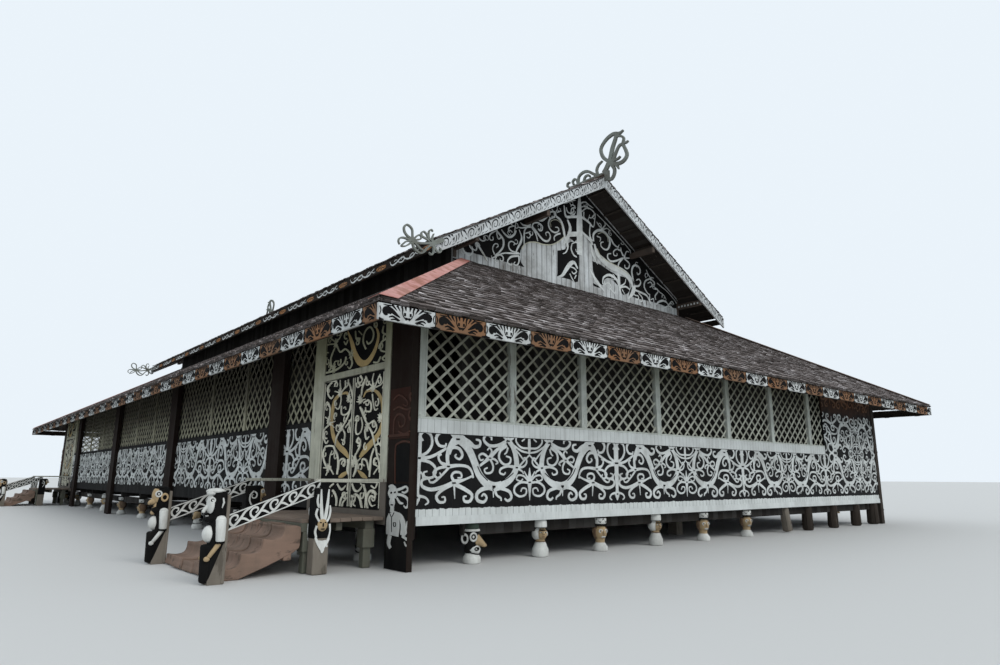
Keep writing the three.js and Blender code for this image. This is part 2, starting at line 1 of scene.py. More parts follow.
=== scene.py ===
# %% [markdown]
# # A painted timber longhouse on stilts
# The real house is a long timber hall on short stilts, with black walls covered in white
# scrolls, lattice above them, a shingled skirt roof and a raised gable roof.
# The measured frame of the house comes first, because every finished piece is fitted to it.
# Its parts could be drawn again here, but then a door might no longer meet its jamb.

# %% Load the measured frame
import json
from math import cos, pi, radians, sin, sqrt

import bpy
import numpy as np
from mathutils import Matrix, Vector

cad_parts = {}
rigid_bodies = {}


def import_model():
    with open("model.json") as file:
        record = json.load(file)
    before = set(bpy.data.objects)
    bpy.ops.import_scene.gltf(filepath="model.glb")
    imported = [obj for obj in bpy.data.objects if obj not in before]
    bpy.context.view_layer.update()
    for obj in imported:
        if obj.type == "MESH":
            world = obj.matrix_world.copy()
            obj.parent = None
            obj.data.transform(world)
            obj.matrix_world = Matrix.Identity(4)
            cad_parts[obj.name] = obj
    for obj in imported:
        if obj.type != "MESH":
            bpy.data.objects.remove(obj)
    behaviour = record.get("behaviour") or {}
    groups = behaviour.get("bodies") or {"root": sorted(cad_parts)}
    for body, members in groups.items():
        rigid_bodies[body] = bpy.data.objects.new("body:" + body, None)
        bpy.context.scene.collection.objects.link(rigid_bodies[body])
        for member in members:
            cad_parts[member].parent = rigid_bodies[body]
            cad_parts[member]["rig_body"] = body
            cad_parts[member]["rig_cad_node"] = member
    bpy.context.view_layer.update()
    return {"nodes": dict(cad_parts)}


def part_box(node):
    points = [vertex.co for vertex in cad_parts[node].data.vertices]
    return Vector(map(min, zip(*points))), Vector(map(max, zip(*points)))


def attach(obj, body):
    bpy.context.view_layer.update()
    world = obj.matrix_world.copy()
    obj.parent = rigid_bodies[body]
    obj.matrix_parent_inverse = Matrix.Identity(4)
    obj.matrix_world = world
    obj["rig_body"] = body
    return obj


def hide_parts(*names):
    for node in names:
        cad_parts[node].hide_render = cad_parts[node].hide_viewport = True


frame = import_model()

scene = bpy.context.scene
nodes = frame["nodes"]
MIDDLE = 0.725  # x of the ridge line, because the stairs stand out on one side only
WALL_X, WALL_Y = 9.0, 16.2  # the outer faces of the walls, from the middle of the house

# %% [markdown]
# ## The camera
# The photograph was taken from eye height beside the near corner. Where the camera stood was
# worked out from the measured house, so the camera is simply put there, with no tilting by eye.

# %% Camera
camera_data = bpy.data.cameras.new("camera")
camera_data.lens = 24.25
camera_data.sensor_width = 36.0
camera_data.clip_end = 600.0
camera = bpy.data.objects.new("camera", camera_data)
scene.collection.objects.link(camera)
YAW, PITCH, ROLL = radians(-40.36), radians(102.138), radians(0.277)
aim = Matrix.Rotation(YAW, 4, "Z") @ Matrix.Rotation(PITCH, 4, "X") @ Matrix.Rotation(ROLL, 4, "Z")
camera.matrix_world = Matrix.Translation((-13.964, -25.157, 1.372)) @ aim
scene.camera = camera
print("camera looks along", [round(v, 3) for v in aim @ Vector((0, 0, -1))])

# %% [markdown]
# ## Small habits at the bench
# An operator works on everything that is selected, so each step starts by clearing the
# selection and taking up one piece. A finished piece keeps its place in its mesh, with its
# own origin on the ground in the middle of the house, as the measured parts have.


# %% Selecting
def put_down():
    """Nothing is selected and no piece is being edited."""
    if bpy.context.object and bpy.context.object.mode != "OBJECT":
        bpy.ops.object.mode_set(mode="OBJECT")
    bpy.ops.object.select_all(action="DESELECT")


def take(*pieces):
    """Only these pieces are selected, and the first one is active."""
    put_down()
    for piece in pieces:
        piece.select_set(True)
    bpy.context.view_layer.objects.active = pieces[0]
    return pieces[0]


KINDS = {"VERT": (True, False, False), "EDGE": (False, True, False), "FACE": (False, False, True)}


def edit(piece, kind="FACE", test=None):
    """Open a piece for editing, with faces, edges or points selected by a test of their place."""
    take(piece)
    bpy.context.tool_settings.mesh_select_mode = KINDS[kind]
    mesh = piece.data
    for group in (mesh.vertices, mesh.edges, mesh.polygons):
        group.foreach_set("select", [test is None] * len(group))
    if test is not None and kind == "FACE":
        for face in mesh.polygons:
            face.select = bool(test(face.center, face.normal))
    elif test is not None and kind == "EDGE":
        for line in mesh.edges:
            start, end = (mesh.vertices[i].co for i in line.vertices)
            line.select = bool(test((start + end) / 2, (end - start).normalized()))
    elif test is not None:
        for point in mesh.vertices:
            point.select = bool(test(point.co, point.normal))
    bpy.ops.object.mode_set(mode="EDIT")


def close(piece):
    """Stop editing."""
    bpy.ops.object.mode_set(mode="OBJECT")
    return piece


print("selecting:", put_down.__name__, take.__name__, edit.__name__, close.__name__)


# %% Placing, copying and cutting
def settle(piece, matrix=None):
    """Move the mesh of a piece, and leave the piece itself at the origin."""
    take(piece)
    bpy.ops.object.transform_apply(location=True, rotation=True, scale=True)
    if matrix is not None:
        piece.data.transform(matrix)
        if matrix.to_3x3().determinant() < 0:
            piece.data.flip_normals()
    piece.data.update()
    return piece


def copy_of(piece, name, matrix=None):
    """A second piece with its own mesh."""
    twin = piece.copy()
    twin.data = piece.data.copy()
    twin.name = twin.data.name = name
    scene.collection.objects.link(twin)
    return settle(twin, matrix)


def join(name, pieces):
    """Several pieces become one."""
    take(*pieces)
    if len(pieces) > 1:
        bpy.ops.object.join()
    pieces[0].name = pieces[0].data.name = name
    return pieces[0]


def modify(piece, kind, **values):
    """Add a modifier and apply it straight away."""
    take(piece)
    bpy.ops.object.modifier_add(type=kind)
    modifier = piece.modifiers[-1]
    for name, value in values.items():
        setattr(modifier, name, value)
    bpy.ops.object.modifier_apply(modifier=modifier.name)
    return piece


def array(piece, count, step):
    """Repeat a piece in a straight line."""
    return modify(
        piece, "ARRAY", count=count, use_relative_offset=False, use_constant_offset=True,
        constant_offset_displace=step,
    )


def cut(piece, point, outward):
    """Cut a piece by a plane, throw away what lies outward of it, and close the cut."""
    edit(piece)
    bpy.ops.mesh.bisect(plane_co=point, plane_no=outward, use_fill=True, clear_outer=True)
    return close(piece)


def from_faces(name, points, faces):
    """A piece of the given points and faces."""
    mesh = bpy.data.meshes.new(name)
    mesh.from_pydata(points, [], faces)
    piece = bpy.data.objects.new(name, mesh)
    scene.collection.objects.link(piece)
    return piece


def box(name, low, high, bevel=0.0):
    """A block between two corners, with its edges broken by a small bevel."""
    put_down()
    low, high = Vector(low), Vector(high)
    bpy.ops.mesh.primitive_cube_add(size=1.0, location=(low + high) / 2, scale=high - low)
    block = bpy.context.object
    block.name = block.data.name = name
    settle(block)
    if bevel:
        edit(block, "EDGE")
        bpy.ops.mesh.bevel(offset=bevel, segments=2)
        close(block)
    return block


def finish(piece, material=None, body="house", smooth=None, replaces=()):
    """Give a piece its finish, its shading and its body, and hide the parts that it replaces."""
    if smooth is not None:
        take(piece)
        bpy.ops.object.shade_smooth_by_angle(angle=radians(smooth))
    if material is not None:
        piece.data.materials.clear()
        piece.data.materials.append(material)
        piece.data.polygons.foreach_set("material_index", [0] * len(piece.data.polygons))
    if replaces:
        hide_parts(*replaces)
    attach(piece, body)
    print(f"{piece.name}: {len(piece.data.polygons)} faces")
    return piece


FAR_MIRROR = Matrix.Diagonal((1, -1, 1, 1))  # the far end mirrors the near end
BACK_MIRROR = Matrix.Translation((2 * MIDDLE, 0, 0)) @ Matrix.Diagonal((-1, 1, 1, 1))
print("placing:", settle.__name__, copy_of.__name__, join.__name__, modify.__name__, box.__name__)

# %% [markdown]
# ## Floor and light
# The house is shown on a plain pale floor under a bright, even sky, as on the overcast day of
# the photograph. One wide, weak sun from the front right gives the end wall a little more light
# than the entrance side. Its disc is large, because a small one would draw hard shadows.

# %% Floor
put_down()
bpy.ops.mesh.primitive_plane_add(size=900.0, location=(MIDDLE, 0.0, -0.002))
ground = bpy.context.object
ground.name = "ground"
pale = bpy.data.materials.new("pale_ground")
pale.use_nodes = True
pale.node_tree.nodes["Principled BSDF"].inputs["Base Color"].default_value = (0.56, 0.56, 0.55, 1.0)
pale.node_tree.nodes["Principled BSDF"].inputs["Roughness"].default_value = 0.9
ground.data.materials.append(pale)
print("floor is", ground.dimensions.x, "m wide")

# %% Sky and sun
sky = bpy.data.worlds.new("overcast")
scene.world = sky
sky.use_nodes = True
sky.node_tree.nodes["Background"].inputs["Color"].default_value = (0.86, 0.935, 1.0, 1.0)
sky.node_tree.nodes["Background"].inputs["Strength"].default_value = 0.96
sun_data = bpy.data.lights.new("soft_sun", "SUN")
sun_data.energy = 1.1
sun_data.angle = radians(35.0)
sun_data.color = (1.0, 0.98, 0.94)
sun = bpy.data.objects.new("soft_sun", sun_data)
sun.rotation_euler = (radians(48.0), 0.0, radians(4.0))
scene.collection.objects.link(sun)
scene.view_settings.view_transform = "Standard"
print("sun disc:", round(sun_data.angle, 2), "rad")

# %% [markdown]
# ## Reusable effects
# Timber weathers in the same few ways all over a house: grain, gaps between boards, rain
# streaks, and paint that has gone in spots. Each effect is built once as a node group and gets
# its own values in every finish. The small class below only saves typing while nodes are joined.


# %% Joining nodes
class Bench:
    """Adds nodes to a node tree and joins them up."""

    def __init__(self, tree):
        self.tree = tree

    def put(self, socket, value):
        if isinstance(value, bpy.types.NodeSocket):
            self.tree.links.new(value, socket)
        else:
            socket.default_value = value

    def node(self, kind, settings=None, **inputs):
        made = self.tree.nodes.new("ShaderNode" + kind)
        for name, value in (settings or {}).items():
            setattr(made, name, value)
        for name, value in inputs.items():
            self.put(made.inputs[name.replace("_", " ")], value)
        return made

    def math(self, operation, a, b=None, clamp=False):
        made = self.tree.nodes.new("ShaderNodeMath")
        made.operation = operation
        made.use_clamp = clamp
        self.put(made.inputs[0], a)
        if b is not None:
            self.put(made.inputs[1], b)
        return made.outputs[0]

    def between(self, value, low, high):
        """0 at low, 1 at high, smooth between them."""
        made = self.node("MapRange", {"interpolation_type": "SMOOTHSTEP"}, Value=value,
            From_Min=low, From_Max=high)
        return made.outputs["Result"]

    def times(self, vector, scale):
        made = self.tree.nodes.new("ShaderNodeVectorMath")
        made.operation = "MULTIPLY"
        self.put(made.inputs[0], vector)
        self.put(made.inputs[1], scale)
        return made.outputs[0]

    def noise(self, vector, scale, detail=3.0, rough=0.55):
        return self.node("TexNoise", Vector=vector, Scale=scale, Detail=detail,
            Roughness=rough).outputs[0]

    def mix(self, factor, a, b, blend="MIX"):
        made = self.tree.nodes.new("ShaderNodeMix")
        made.data_type = "RGBA"
        made.blend_type = blend
        self.put(made.inputs[0], factor)
        self.put(made.inputs[6], a)
        self.put(made.inputs[7], b)
        return made.outputs[2]

    def use(self, group, **inputs):
        made = self.tree.nodes.new("ShaderNodeGroup")
        made.node_tree = group
        for name, value in inputs.items():
            self.put(made.inputs[name.replace("_", " ")], value)
        return made.outputs


def new_effect(name, inputs, outputs):
    """An empty node group with named sockets, its bench, its inputs and its output node."""
    group = bpy.data.node_groups.new(name, "ShaderNodeTree")
    for socket, kind, value in inputs:
        made = group.interface.new_socket(name=socket, in_out="INPUT", socket_type="NodeSocket" + kind)
        if value is not None:
            made.default_value = value
    for socket in outputs:
        group.interface.new_socket(name=socket, in_out="OUTPUT", socket_type="NodeSocketFloat")
    given = group.nodes.new("NodeGroupInput").outputs
    result = group.nodes.new("NodeGroupOutput").inputs
    return group, Bench(group), given, result


print("bench methods:", [m for m in vars(Bench) if not m.startswith("_")])

# %% Effect: gaps between boards
board_gaps, bench, given, result = new_effect(
    "board_gaps",
    [("Across", "Float", 0.0), ("Board", "Float", 0.13), ("Gap", "Float", 0.006)],
    ["Line", "Tone"],
)
place = bench.math("DIVIDE", given["Across"], given["Board"])
share = bench.math("FRACT", place)
near_edge = bench.math("MINIMUM", share, bench.math("SUBTRACT", 1.0, share))
from_edge = bench.math("MULTIPLY", near_edge, given["Board"])
bench.put(result["Line"], bench.math("SUBTRACT", 1.0, bench.between(from_edge, 0.0, given["Gap"]),
    clamp=True))
number = bench.math("FLOOR", place)
tone = bench.node("TexWhiteNoise", {"noise_dimensions": "1D"}, W=number).outputs["Value"]
bench.put(result["Tone"], tone)
print("effect:", board_gaps.name)

# %% Effect: grain and grime
grain_and_grime, bench, given, result = new_effect(
    "grain_and_grime",
    [("Vector", "Vector", None), ("Along", "Vector", (1.0, 1.0, 1.0)), ("Fine", "Float", 30.0),
        ("Broad", "Float", 1.3)],
    ["Grain", "Grime"],
)
drawn = bench.times(given["Vector"], given["Along"])
fine = bench.noise(drawn, given["Fine"], 4.0, 0.7)
coarse = bench.noise(drawn, bench.math("MULTIPLY", given["Fine"], 0.2), 3.0)
blend = bench.math("ADD", bench.math("MULTIPLY", fine, 0.5), bench.math("MULTIPLY", coarse, 0.5))
bench.put(result["Grain"], bench.between(blend, 0.33, 0.67))
bench.put(result["Grime"], bench.between(bench.noise(given["Vector"], given["Broad"], 5.0, 0.65),
    0.38, 0.68))
print("effect:", grain_and_grime.name)

# %% Effect: worn paint
worn_paint, bench, given, result = new_effect(
    "worn_paint",
    [("Vector", "Vector", None), ("Along", "Vector", (1.0, 1.0, 1.0)), ("Size", "Float", 9.0),
        ("Amount", "Float", 0.2)],
    ["Bare"],
)
drawn = bench.times(given["Vector"], given["Along"])
spots = bench.noise(drawn, given["Size"], 6.0, 0.72)
where = bench.noise(given["Vector"], 0.7, 2.0)
level = bench.math("ADD", bench.math("MULTIPLY", spots, 0.7), bench.math("MULTIPLY", where, 0.3))
start = bench.math("SUBTRACT", 0.72, bench.math("MULTIPLY", given["Amount"], 0.4))
bench.put(result["Bare"], bench.between(level, start, bench.math("ADD", start, 0.035)))
print("effect:", worn_paint.name)

# %% Effect: rain streaks
rain_streaks, bench, given, result = new_effect(
    "rain_streaks", [("Vector", "Vector", None), ("Spread", "Float", 7.0)], ["Streak"]
)
drawn = bench.times(given["Vector"], (1.0, 1.0, 0.06))
streak = bench.noise(drawn, given["Spread"], 4.0, 0.6)
patch = bench.noise(given["Vector"], 0.9, 2.0)
bench.put(result["Streak"], bench.math("MULTIPLY", bench.between(streak, 0.45, 0.72),
    bench.between(patch, 0.35, 0.65)))
print("effect:", rain_streaks.name)

# %% [markdown]
# ## Finishes
# Most surfaces are boards under old paint. One function makes such a finish from its paint
# colour, the bare wood under it, the direction of the grain and the width of its boards, so
# that black walls, cream frames and white bands age in the same way but keep their own colours.


# %% Painted boards
def colour(red, green, blue):
    return (red, green, blue, 1.0)


BARE_GREY = colour(0.22, 0.19, 0.155)
DIRT = colour(0.09, 0.08, 0.065)
DARK_DIRT = colour(0.03, 0.027, 0.023)


def painted(
    name, paint, bare=BARE_GREY, wear=0.25, grime=0.35, streaks=0.3, boards=None, gap=0.006,
    across=(1, 1, 0),
    along=(1, 1, 0.12), rough=0.7, shade=0.12, split=None, squares=None, dirt=None,
    seams_above=None, stain_and_shade_above=None, grain=0.22,
):
    """Old paint over timber. split is (height, paint above it, ragged edge), squares is (axis, start,
    width, second paint), and stain_and_shade_above is (no tint below, full tint above, its colour): a
    stain, with painted shade under the eaves where the tint is dark."""
    material = bpy.data.materials.new(name)
    material.use_nodes = True
    tree = material.node_tree
    shader = tree.nodes["Principled BSDF"]
    bench = Bench(tree)
    place = bench.node("TexCoord").outputs["Object"]
    wood = bench.use(grain_and_grime, Vector=place, Along=along, Fine=26.0)
    dirt = dirt or (DIRT if max(paint[:3]) > 0.1 else DARK_DIRT)
    top = paint
    if split:
        height, above, ragged = split
        parts = bench.node("SeparateXYZ", Vector=place).outputs
        wave = bench.math("MULTIPLY", bench.math("SUBTRACT", bench.noise(place, 14.0, 2.0), 0.5),
            ragged)
        edge = bench.math("ADD", parts["Z"], wave)
        top = bench.mix(bench.between(edge, height - 0.004, height + 0.004), paint, above)
    if squares:
        axis, start, wide, second = squares
        parts = bench.node("SeparateXYZ", Vector=bench.times(place, axis)).outputs
        from_start = bench.math("SUBTRACT", bench.math("ADD", parts["X"], parts["Y"]), start)
        number = bench.math("FLOOR", bench.math("DIVIDE", from_start, wide))
        odd = bench.math("MODULO", bench.math("ADD", number, 100.0), 2.0)
        top = bench.mix(odd, paint, second)
    # Darker and tinted towards the top: a stain, and painted shade under the eaves where the tint is
    # dark.
    if stain_and_shade_above:
        clean, full, stain = stain_and_shade_above
        wander = bench.math("MULTIPLY", bench.math("SUBTRACT", bench.noise(place, 2.2, 4.0), 0.5), 1.1)
        level = bench.math("ADD", bench.node("SeparateXYZ", Vector=place).outputs["Z"], wander)
        top = bench.mix(bench.math("MULTIPLY", bench.between(level, clean, full), 0.88), top,
            colour(*stain))
    if boards:
        parts = bench.node("SeparateXYZ", Vector=bench.times(place, across)).outputs
        sideways = bench.math("ADD", bench.math("ADD", parts["X"], parts["Y"]), parts["Z"])
        seams = bench.use(board_gaps, Across=sideways, Board=boards, Gap=gap)
        dull = bench.math("MULTIPLY", seams["Tone"], shade)
        top = bench.mix(dull, top, colour(0.3, 0.3, 0.29))
    top = bench.mix(bench.math("MULTIPLY", wood["Grain"], grain), top, dirt)
    top = bench.mix(bench.math("MULTIPLY", wood["Grime"], grime), top, dirt)
    if streaks:
        streak = bench.use(rain_streaks, Vector=place)["Streak"]
        top = bench.mix(bench.math("MULTIPLY", streak, streaks), top, dirt)
    height_map = wood["Grain"]
    if wear:
        gone = bench.use(worn_paint, Vector=place, Along=along, Size=11.0, Amount=wear)["Bare"]
        wood_colour = bench.mix(wood["Grain"], bare, dirt)
        top = bench.mix(gone, top, wood_colour)
        height_map = bench.math("SUBTRACT", height_map, gone)
    if boards:
        if seams_above:
            upper = bench.math("GREATER_THAN", bench.node("SeparateXYZ", Vector=place).outputs["Z"],
                seams_above)
            seams = {"Line": bench.math("MULTIPLY", seams["Line"], upper)}
        top = bench.mix(bench.math("MULTIPLY", seams["Line"], 0.85), top, colour(0.012, 0.012, 0.012))
        height_map = bench.math("SUBTRACT", height_map, bench.math("MULTIPLY", seams["Line"], 4.0))
    bench.put(shader.inputs["Base Color"], top)
    bench.put(shader.inputs["Roughness"], bench.math("ADD", rough,
        bench.math("MULTIPLY", wood["Grain"], 0.15)))
    bump = bench.node("Bump", Height=height_map)
    bump.inputs["Strength"].default_value = 0.35
    bump.inputs["Distance"].default_value = 0.004
    bench.put(shader.inputs["Normal"], bump.outputs["Normal"])
    shader.inputs["Specular IOR Level"].default_value = 0.15 if max(paint[:3]) > 0.05 else 0.05
    return material


BLACK = colour(0.0035, 0.0038, 0.0046)
WHITE = colour(0.64, 0.67, 0.66)
CREAM = colour(0.56, 0.56, 0.45)
OCHRE = colour(0.52, 0.38, 0.17)
ORANGE = colour(0.42, 0.19, 0.07)
print("finish maker:", painted.__name__)

# %% The painted finishes
white_scrolls = painted("white_scrolls", WHITE, wear=0.12, grime=0.25, streaks=0.15, along=(1, 1, 1))
end_boards = painted(
    "end_wall_boards", WHITE, boards=0.13, split=(0.885, BLACK, 0.05), seams_above=0.77, wear=0.08,
    grime=0.18,
    streaks=0.12, shade=0.01, bare=colour(0.1, 0.09, 0.075), dirt=colour(0.021, 0.019, 0.017),
    grain=0.12, stain_and_shade_above=(3.1, 3.45, (0.05, 0.022, 0.012)),
)
side_boards = painted(
    "side_wall_boards", colour(0.0065, 0.007, 0.008), boards=0.13, wear=0.1, grime=0.2,
    streaks=0.25, shade=0.03, bare=colour(0.1, 0.09, 0.075),
)
white_band = painted("white_band", WHITE, boards=0.13, gap=0.004, wear=0.12, grime=0.18,
    streaks=0.2, shade=0.03, grain=0.07)
cream_slats = painted("cream_slats", CREAM, wear=0.3, grime=0.4, streaks=0.35, along=(1, 1, 1))
# The lattice and frame finishes below darken towards the top: a stain, with painted shade under the
# eaves.
end_slats = painted(
    "end_lattice_slats", colour(0.6, 0.61, 0.52), wear=0.25, grime=0.35, streaks=0.3, along=(1, 1, 1),
    stain_and_shade_above=(2.75, 4.2, (0.1, 0.095, 0.045)),
)
# The back layer of slats has the same paint made darker, as painted shade behind the front layer.
end_slats_shaded_behind = painted(
    "end_lattice_slats_behind", colour(0.4, 0.41, 0.34), wear=0.3, grime=0.4, streaks=0.3,
    along=(1, 1, 1), stain_and_shade_above=(2.6, 4.0, (0.07, 0.066, 0.03)),
)
end_frames = painted(
    "end_lattice_frames", colour(0.62, 0.66, 0.61), wear=0.3, grime=0.3, streaks=0.4,
    stain_and_shade_above=(2.9, 4.3, (0.16, 0.17, 0.1)),
)
# These slats go nearly black towards the top: painted shade under the eaves, with a little stain.
side_slats = painted(
    "side_lattice_slats", colour(0.42, 0.41, 0.3), wear=0.3, grime=0.4, streaks=0.35, along=(1, 1, 1),
    stain_and_shade_above=(2.3, 3.6, (0.04, 0.034, 0.02)),
)
cream_frames = painted(
    "cream_frames", colour(0.52, 0.52, 0.44), wear=0.4, grime=0.35, streaks=0.5,
    stain_and_shade_above=(2.9, 4.3, (0.13, 0.125, 0.065)),
)
dark_pillars = painted("dark_pillars", colour(0.013, 0.0065, 0.005), bare=colour(0.04, 0.02, 0.014),
    wear=0.25, grime=0.4)
# Nearly black timber for what lies in shade: the rooms, the floor and the bearers under it. It is
# painted shade.
dark_inside = painted("dark_inside", colour(0.012, 0.01, 0.009), bare=colour(0.03, 0.024, 0.018),
    boards=0.2)
ochre_paint = painted("ochre_paint", OCHRE, wear=0.15, grime=0.3, streaks=0.1, along=(1, 1, 1))
black_paint = painted("black_paint", BLACK, bare=colour(0.09, 0.08, 0.07), wear=0.1, grime=0.15,
    streaks=0.1)
orange_paint = painted("orange_paint", ORANGE, wear=0.25, grime=0.4, streaks=0.3, along=(1, 1, 1))
bare_timber = painted("bare_timber", colour(0.2, 0.175, 0.145), bare=colour(0.12, 0.1, 0.08),
    wear=0.35, grime=0.4)
red_brown_logs = painted("red_brown_logs", colour(0.25, 0.165, 0.125),
    bare=colour(0.13, 0.085, 0.065), wear=0.5, along=(0.15, 1, 0.6))
print("painted finishes:", len(bpy.data.materials))

# %% [markdown]
# ## Finish of the shingles
# Each split shingle weathers to its own grey or brown. A number from 0 to 1 on every shingle picks its
# colour, and its place on the slope draws the grain and the rain streaks, so that both run down the
# roof on all its sides. The butt ends are darker: dark end grain, and painted shade between the
# courses.

# %% Shingle finish
weathered_shingles = bpy.data.materials.new("weathered_shingles")
weathered_shingles.use_nodes = True
bench = Bench(weathered_shingles.node_tree)
shader = weathered_shingles.node_tree.nodes["Principled BSDF"]
own = bench.node("Attribute", {"attribute_name": "tone"}).outputs["Fac"]
slope_place = bench.node("Attribute", {"attribute_name": "slope_place"}).outputs["Vector"]
ramp = bench.node("ValToRGB", Fac=own)
stops = ramp.color_ramp.elements
stops[0].position, stops[0].color = 0.0, colour(0.05, 0.04, 0.036)
stops[1].position, stops[1].color = 1.0, colour(0.82, 0.77, 0.77)
for position, shade in ((0.3, (0.17, 0.14, 0.13)), (0.6, (0.34, 0.3, 0.295)),
        (0.85, (0.57, 0.52, 0.515))):
    stops.new(position).color = colour(*shade)
drawn = bench.times(slope_place, (1.0, 0.07, 1.0))
fibres = bench.noise(drawn, 55.0, 4.0, 0.7)
stain = bench.between(bench.noise(drawn, 3.0, 4.0, 0.6), 0.42, 0.68)
patches = bench.between(bench.noise(slope_place, 0.35, 3.0), 0.35, 0.7)
surface = bench.mix(bench.math("MULTIPLY", fibres, 0.42), ramp.outputs["Color"],
    colour(0.07, 0.055, 0.048))
surface = bench.mix(bench.math("MULTIPLY", stain, 0.42), surface, colour(0.055, 0.045, 0.04))
surface = bench.mix(bench.math("MULTIPLY", patches, 0.2), surface, colour(0.2, 0.17, 0.15))
# The butt faces are darkened: dark end grain, and painted shade between the courses.
butt_grain_and_shade = bench.node("Attribute", {"attribute_name": "butt"}).outputs["Fac"]
surface = bench.mix(bench.math("MULTIPLY", butt_grain_and_shade, 0.75), surface, colour(0.03, 0.025, 0.023))
bench.put(shader.inputs["Base Color"], surface)
bench.put(shader.inputs["Roughness"], bench.math("ADD", 0.72, bench.math("MULTIPLY", fibres, 0.2)))
bump = bench.node("Bump", Height=fibres)
bump.inputs["Strength"].default_value = 0.4
bump.inputs["Distance"].default_value = 0.004
bench.put(shader.inputs["Normal"], bump.outputs["Normal"])
shader.inputs["Specular IOR Level"].default_value = 0.2
print("shingle colours:", len(stops))

# %% [markdown]
# ## Shingles
# The roofs are covered with split wooden shingles, about 15 cm wide and 20 cm showing. They
# could be painted on as a bump, but their ragged lower edges show against the sky and along the
# hips. So one thin wedge is modelled, repeated with arrays in staggered rows, and every copy is
# then shifted a little. The rows are laid flat, cut to the outline of the slope, and put up.

# %% One shingle
SHINGLE_WIDE, SHINGLE_LONG, SHINGLE_BUTT = 0.14, 0.42, 0.03
ROW, PITCH = 0.2, 0.15  # how much of a row shows, and the distance between shingles


def one_shingle():
    """A wedge that lies with its thick end at y 0 and its thin end up the slope."""
    put_down()
    size = (SHINGLE_WIDE, SHINGLE_LONG, SHINGLE_BUTT)
    bpy.ops.mesh.primitive_cube_add(size=1.0, location=(0, SHINGLE_LONG / 2,
        SHINGLE_BUTT / 2 + 0.01), scale=size)
    wedge = settle(bpy.context.object)
    edit(wedge, "VERT", lambda co, normal: co.y > 0.1 and co.z > 0.02)
    bpy.ops.transform.translate(value=(0, 0, -SHINGLE_BUTT))
    bpy.ops.mesh.select_all(action="SELECT")
    bpy.ops.mesh.remove_doubles(threshold=0.001)
    close(wedge)
    edit(wedge, "VERT", lambda co, normal: co.y > 0.1)
    bpy.ops.transform.translate(value=(0, 0, -0.008))
    return close(wedge)


pattern_shingle = one_shingle()
print("points on one shingle:", len(pattern_shingle.data.vertices))


# %% Laying a slope
def lay_shingles(name, wide, long, seed):
    """Staggered rows over a slope: x across it, y up it from the eave, z out of it."""
    columns, pairs = int(wide / PITCH) + 2, int(long / ROW / 2) + 1
    row = copy_of(pattern_shingle, name, Matrix.Translation((-wide / 2, 0, 0)))
    array(row, columns, (PITCH, 0, 0))
    upper = copy_of(row, name + "_upper", Matrix.Translation((-PITCH * 0.47, ROW, 0)))
    roof = array(join(name, [row, upper]), pairs, (0, 2 * ROW, 0))
    mesh, corners = roof.data, len(pattern_shingle.data.vertices)
    points = np.zeros(len(mesh.vertices) * 3)
    mesh.vertices.foreach_get("co", points)
    points = points.reshape(-1, corners, 3)
    chance = np.random.default_rng(seed)
    count = len(points)
    butt = points[:, :, 1] < points[:, :, 1].min(axis=1)[:, None] + 0.01
    points[:, :, 0] += chance.uniform(-0.012, 0.012, (count, 1))
    points[:, :, 1] += np.where(butt, chance.uniform(-0.012, 0.03, (count, 1)), 0.0)
    points[:, :, 2] += np.where(butt, chance.uniform(0.0, 0.02, (count, 1)), 0.0)
    lean = chance.uniform(-0.03, 0.03, (count, 1))
    points[:, :, 1] += lean * (points[:, :, 0] - points[:, :, 0].mean(axis=1)[:, None]) * butt * 4
    mesh.vertices.foreach_set("co", points.ravel())
    tone = mesh.attributes.new("tone", "FLOAT", "POINT")
    tone.data.foreach_set("value", np.repeat(chance.beta(1.2, 1.5, count), corners))
    place = mesh.attributes.new("slope_place", "FLOAT_VECTOR", "POINT")
    shift = points + np.concatenate([chance.uniform(0, 40, (count, 1, 1)), np.zeros((count, 1, 2))],
        axis=2)
    place.data.foreach_set("vector", shift.ravel())
    mesh.update()
    # Faces at the thick ends are marked, for the finish to darken them: end grain, and painted shade
    # between the courses.
    ends = mesh.attributes.new("butt", "FLOAT", "FACE")
    ends.data.foreach_set("value", [float(face.normal.y < -0.7) for face in mesh.polygons])
    return roof


def raise_slope(roof, foot, across, up):
    """Stand a laid slope up: its eave's middle at foot, with its own directions across and up."""
    across, up = Vector(across).normalized(), Vector(up).normalized()
    out = across.cross(up)
    turn = Matrix((across, up, out)).transposed().to_4x4()
    return settle(roof, Matrix.Translation(foot) @ turn)


print("rows on a slope:", lay_shingles.__name__, raise_slope.__name__)

# %% Roof measures
skirt_low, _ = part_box("near_skirt_roof")
main_low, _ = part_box("front_main_roof")
SLAB = 0.09
RIDGE_TOP, MAIN_EAVE_TOP = 10.36, 6.905
main_x, main_y = 6.12, 12.75
SKIRT_RISE, MAIN_RISE = 0.56, (RIDGE_TOP - MAIN_EAVE_TOP) / main_x
skirt_x, skirt_y = 10.33, 17.53
edge_top = skirt_low.z + SLAB
GABLE_FACE, upper_x = 11.75, 4.9
print("skirt edge top:", round(edge_top, 3), "rises", SKIRT_RISE)
print("main eave top:", round(main_low.z + SLAB, 3), "rises", round(MAIN_RISE, 4))

# %% [markdown]
# ### The skirt roof
# Four slopes meet on the hips, which run at 45 degrees in plan. The end slopes go on up to the
# gable walls. Each slope is laid wider than it is, and cut along its hips.

# %% Skirt slopes
INSET = 0.055  # the lowest row stays just inside the edge of the roof
SINK = 0.065  # the shingles lie within the measured thickness of the roof
EAVE_COURSES = (0.03,)  # how far the starter course lies below the first row


